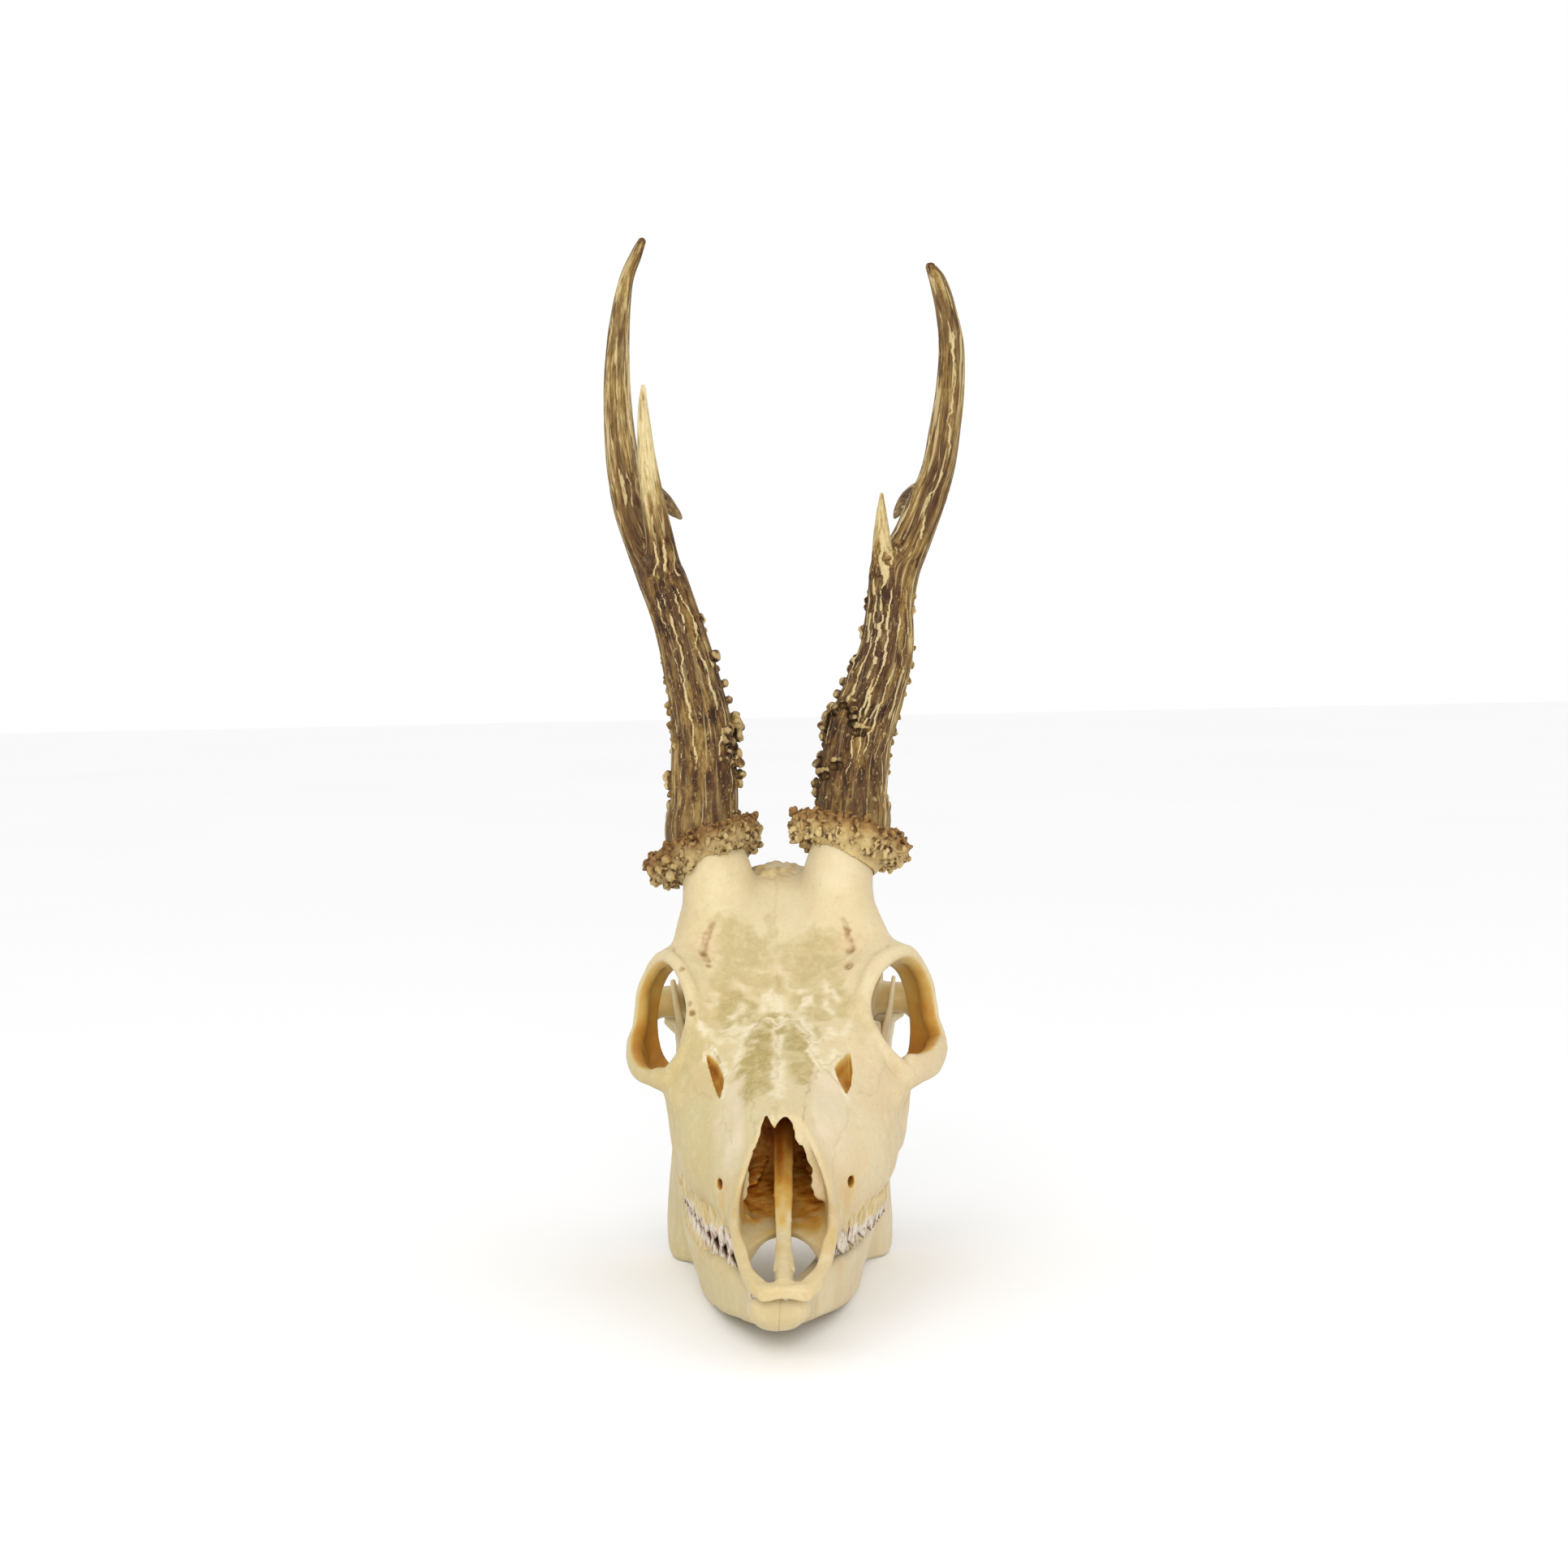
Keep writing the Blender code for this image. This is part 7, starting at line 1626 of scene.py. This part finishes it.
def finish_horn(s):
    f = Finish("antler_%s" % ("left" if s > 0 else "right"), 0.55, 0.0, 0.16)
    g = f.attr("grain", "Vector")
    long = f.noise(0.62, 5, 0.62, f.stretch(g, (1.0, 1.0, 0.06)), 0.35)
    fine = f.noise(2.1, 4, 0.62, f.stretch(g, (1.0, 1.0, 0.10)), 0.25)
    grit = f.noise(2.4, 3, 0.65, g)
    blot = f.noise(0.32, 3, 0.6, f.stretch(g, (1.0, 1.0, 0.45)))
    pale = f.attr("pale")
    low = f.attr("low")
    v = f.math("ADD", pale, f.math("MULTIPLY", f.math("SUBTRACT", long, 0.5), f.range(low, 0.0, 1.0, 1.9, 0.8)))
    v = f.math("ADD", v, f.math("MULTIPLY", f.math("SUBTRACT", fine, 0.5), f.range(low, 0.0, 1.0, 1.0, 0.6)))
    v = f.math("ADD", v, f.math("MULTIPLY", f.math("SUBTRACT", blot, 0.5), f.range(low, 0.0, 1.0, 0.55, 1.5)))
    v = f.math("ADD", v, f.math("MULTIPLY", f.math("SUBTRACT", grit, 0.5), 0.25), True)
    v = f.math("MULTIPLY", v, 0.84 if s > 0 else 0.95)
    c = f.ramp(v, [
        (0.0, lin(56, 36, 22)), (0.12, lin(94, 64, 34)), (0.30, lin(136, 104, 56)), (0.5, lin(168, 138, 80)), (0.7, lin(208, 184, 126)), (0.88, lin(232, 212, 158)), (1.0, lin(242, 224, 174))])
    c = f.mix(f.math("MULTIPLY", f.attr("foot"), f.range(blot, 0.35, 0.65, 0.1, 0.55)), c, lin(150, 122, 72))
    band = f.noise(0.42, 4, 0.55, f.stretch(g, (1.0, 1.0, 0.05)), 0.5)
    dark = f.math("MULTIPLY", f.range(band, 0.53, 0.58), f.range(pale, 0.25, 0.8, 0.85, 0.15))
    c = f.mix(dark, c, f.mix(f.range(fine, 0.4, 0.6), lin(76, 50, 32), lin(112, 82, 50)))
    patch = f.math("MULTIPLY", f.range(f.noise(0.16, 3, 0.6, f.stretch(g, (1.0, 1.0, 0.4))), 0.50, 0.60), f.range(pale, 0.3, 0.7, 0.5, 0.0))
    c = f.mix(patch, c, lin(78, 52, 38))
    vein = f.math("MULTIPLY", f.range(f.noise(0.75, 3, 0.5, f.stretch(g, (1.0, 1.0, 0.045)), 0.7), 0.585, 0.63), f.range(pale, 0.14, 0.45, 0.12, 0.8))
    c = f.mix(vein, c, lin(226, 204, 150))
    c = f.mix(f.math("MULTIPLY", f.range(f.attr("ridge"), 0.16, 0.46), f.range(grit, 0.3, 0.6, 0.65, 1.0)), c, lin(226, 204, 150))
    c = f.mix(f.math("MULTIPLY", f.math("MULTIPLY", low, f.range(f.noise(1.5, 3, 0.6, f.stretch(g, (1.0, 1.0, 0.5))), 0.60, 0.68)), 0.55), c, lin(206, 180, 122))
    c = f.mix(f.math("MULTIPLY", f.range(f.attr("tip"), 0.3, 0.9), 0.85), c, lin(204, 176, 122))
    # painted shade: near-black brown in the hollows between knobs, ridges and forks
    c = f.mix(f.range(f.attr("deep"), 0.3, 0.9, 0.0, 0.85), c, lin(40, 27, 18))
    h = f.math("ADD", f.math("MULTIPLY", long, 0.5), f.math("ADD", f.math("MULTIPLY", fine, 0.6), f.math("MULTIPLY", grit, 0.35)))
    return f.done(c, h, 0.6, 0.0007, f.range(v, 0.1, 0.9, 0.62, 0.42))


def finish_burr(s):
    f = Finish("burr_%s" % ("left" if s > 0 else "right"), 0.6, 0.0, 0.16)
    n = f.noise(420, 4, 0.65)
    m = f.noise(1300, 4, 0.65)
    c = f.mix(f.range(n, 0.35, 0.65), lin(204, 172, 106), lin(232, 206, 144))
    c = f.mix(f.math("MULTIPLY", f.range(f.attr("high"), 0.35, 0.85), f.range(n, 0.25, 0.65, 0.3, 1.0)), c, lin(156, 110, 60))
    # painted shade: browns darken the hollows between the pearls; the tops of the pearls and sharp edges are lighter,
    # partly pale worn tips, partly painted highlight
    c = f.mix(f.range(f.attr("wide"), 0.0, 0.6, 0.0, 0.7), c, lin(140, 98, 50))
    c = f.mix(f.range(f.attr("high"), 0.42, 0.12, 0.0, 0.6), c, lin(232, 208, 150))
    c = f.mix(f.range(f.attr("wide"), -0.1, -0.45, 0.0, 0.85), c, lin(244, 224, 172))
    c = f.mix(f.range(f.attr("deep"), 0.0, -0.5, 0.0, 0.5), c, lin(238, 216, 166))
    c = f.mix(f.range(f.attr("deep"), 0.2, 0.7, 0.0, 0.85), c, lin(84, 54, 28))
    c = f.mix(f.math("MULTIPLY", f.range(m, 0.5, 0.7), 0.35), c, lin(112, 82, 48))
    # more painted shade: extra brown in the hollows between the pearls
    brown = f.range(n, 0.3, 0.7, 0.05, 0.2) if s > 0 else f.range(n, 0.3, 0.7, 0.2, 0.45)
    c = f.mix(f.math("MULTIPLY", brown, f.range(f.attr("wide"), -0.35, 0.2)), c, lin(96, 66, 34))
    c = f.mix(f.range(f.attr("wide"), -0.15, -0.5, 0.0, 0.35), c, lin(242, 222, 164))
    return f.done(c, m, 0.4, 0.0004)


# ---- pieces ----


def settle(v):
    """From the skull's frame in millimetres to the resting pose in metres."""
    a = math.radians(NOD)
    y = v[:, 1] * math.cos(a) - v[:, 2] * math.sin(a) - CENTRE[1]
    z = v[:, 2] * math.cos(a) + v[:, 1] * math.sin(a) - FLOOR + LIFT
    return np.stack([v[:, 0] - CENTRE[0], y, z], 1) / 1000


def show(name, v, q, marks, material, nodes, grain=None):
    me = bpy.data.meshes.new(name)
    w = settle(v)
    w[:, 2] = np.maximum(w[:, 2], 0.00002)
    me.vertices.add(len(w))
    me.vertices.foreach_set("co", w.astype(np.float32).ravel())
    me.loops.add(4 * len(q))
    me.loops.foreach_set("vertex_index", q.astype(np.int32).ravel())
    me.polygons.add(len(q))
    me.polygons.foreach_set("loop_start", np.arange(0, 4 * len(q), 4, dtype=np.int32))
    me.update(calc_edges=True)
    me.validate()
    for k, values in marks.items():
        a = me.attributes.new(k, "FLOAT", "POINT")
        a.data.foreach_set("value", np.asarray(values, np.float32))
    if grain is not None:
        a = me.attributes.new("grain", "FLOAT_VECTOR", "POINT")
        a.data.foreach_set("vector", np.asarray(grain, np.float32).ravel())
    me.shade_smooth()
    ob = bpy.data.objects.new(name, me)
    bpy.context.scene.collection.objects.link(ob)
    me.materials.append(material)
    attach(ob, "root")
    if nodes:
        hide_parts(*nodes)
    print("%s: %d faces, %.0f s" % (name, len(q), time.time() - T0))
    return ob


def pieces():
    bone, tooth = finish_bone(), finish_teeth()
    field = bone_cranium()
    v, q, n = skin(*field)
    v, marks = cranium_marks(v, n, field)
    show("skull", v, q, marks, bone, ["cranium"])
    for name, v, q, marks in bone_jaws(field[:2] + (field[2],)):
        show(name.replace("mandible", "jaw"), v, q, marks, bone, [name])
    for name, v, q, marks in bone_teeth(field):
        show(name, v, q, marks, tooth, [])
    for name, v, q, marks in bone_incisors():
        show(name, v, q, marks, tooth, [])
    for s, side in ((-1, "right"), (1, "left")):
        v, q, marks, grain = horn(s, field)
        parts = ["antler_%s_%s" % (side, k) for k in ("beam_lower", "tine_front", "beam_middle", "tine_rear", "beam_upper")]
        show("horn_%s" % side, v, q, marks, finish_horn(s), parts, grain)
        v, q, marks = burr(s, field)
        show("collar_%s" % side, v, q, marks, finish_burr(s), ["antler_%s_burr" % side])


# ---- floor, light and camera ----


def lamp(name, at, aim, size, power, colour=(1, 1, 1)):
    L = bpy.data.lights.new(name, "AREA")
    L.shape, L.size, L.energy, L.color = "SQUARE", size, power, colour
    ob = bpy.data.objects.new(name, L)
    bpy.context.scene.collection.objects.link(ob)
    ob.location = at
    ob.rotation_euler = (Vector(aim) - Vector(at)).to_track_quat("-Z", "Y").to_euler()
    return ob


def studio():
    me = bpy.data.meshes.new("floor")
    me.from_pydata([(-4, -4, 0), (4, -4, 0), (4, 4, 0), (-4, 4, 0)], [], [(0, 1, 2, 3)])
    ground = bpy.data.objects.new("floor", me)
    bpy.context.scene.collection.objects.link(ground)
    f = Finish("floor", 0.9)
    c = f.mix(f.noise(3.0, 2), (0.93, 0.93, 0.93, 1), (0.96, 0.96, 0.96, 1))
    me.materials.append(f.done(c))
    world = bpy.data.worlds.new("studio")
    bpy.context.scene.world = world
    world.use_nodes = True
    back = world.node_tree.nodes["Background"]
    back.inputs["Color"].default_value = (1, 1, 1, 1)
    back.inputs["Strength"].default_value = WORLD
    lamp("key", (-0.35, -1.15, 0.75), (0, 0, 0.10), 0.5, KEY)
    lamp("fill", (0.9, -1.1, 0.5), (0, 0, 0.12), 0.7, FILL)
    lamp("front", (0.06, -0.98, 0.36), (0, 0, 0.06), 0.22, FRONT)
    sc = bpy.context.scene
    sc.view_settings.view_transform = "Standard"
    sc.view_settings.look = "None"
    sc.view_settings.exposure = 0.0
    sc.view_settings.gamma = 1.0


def camera():
    """The photo's place and direction, found from where the skull's features fall in the picture."""
    aim, away = np.array([2.31, 130, 108.23]), 900.0
    p, yaw, roll, nod = math.radians(9), math.radians(-0.19), math.radians(-1.21), math.radians(NOD)
    d = np.array([math.sin(yaw) * math.cos(p), math.cos(yaw) * math.cos(p), -math.sin(p)])
    r = np.array([math.cos(yaw), -math.sin(yaw), 0])
    u = np.cross(r, d)
    r2 = math.cos(roll) * r + math.sin(roll) * u
    u2 = -math.sin(roll) * r + math.cos(roll) * u
    turn = np.array([[1, 0, 0], [0, math.cos(nod), -math.sin(nod)], [0, math.sin(nod), math.cos(nod)]])
    M = Matrix.Identity(4)
    at = settle((aim - d * away)[None])[0]
    for i, a in enumerate((r2, u2, -d)):
        a = turn @ a
        for k in range(3):
            M[k][i] = a[k]
    for k in range(3):
        M[k][3] = at[k]
    cam = bpy.data.cameras.new("camera")
    cam.sensor_width, cam.lens = 36, 3911 * 36 / 1932
    cam.clip_start, cam.clip_end = 0.05, 50
    ob = bpy.data.objects.new("camera", cam)
    bpy.context.scene.collection.objects.link(ob)
    ob.matrix_world = M
    bpy.context.scene.camera = ob


T0 = time.time()
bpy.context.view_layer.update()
pieces()
studio()
camera()
bpy.context.view_layer.update()
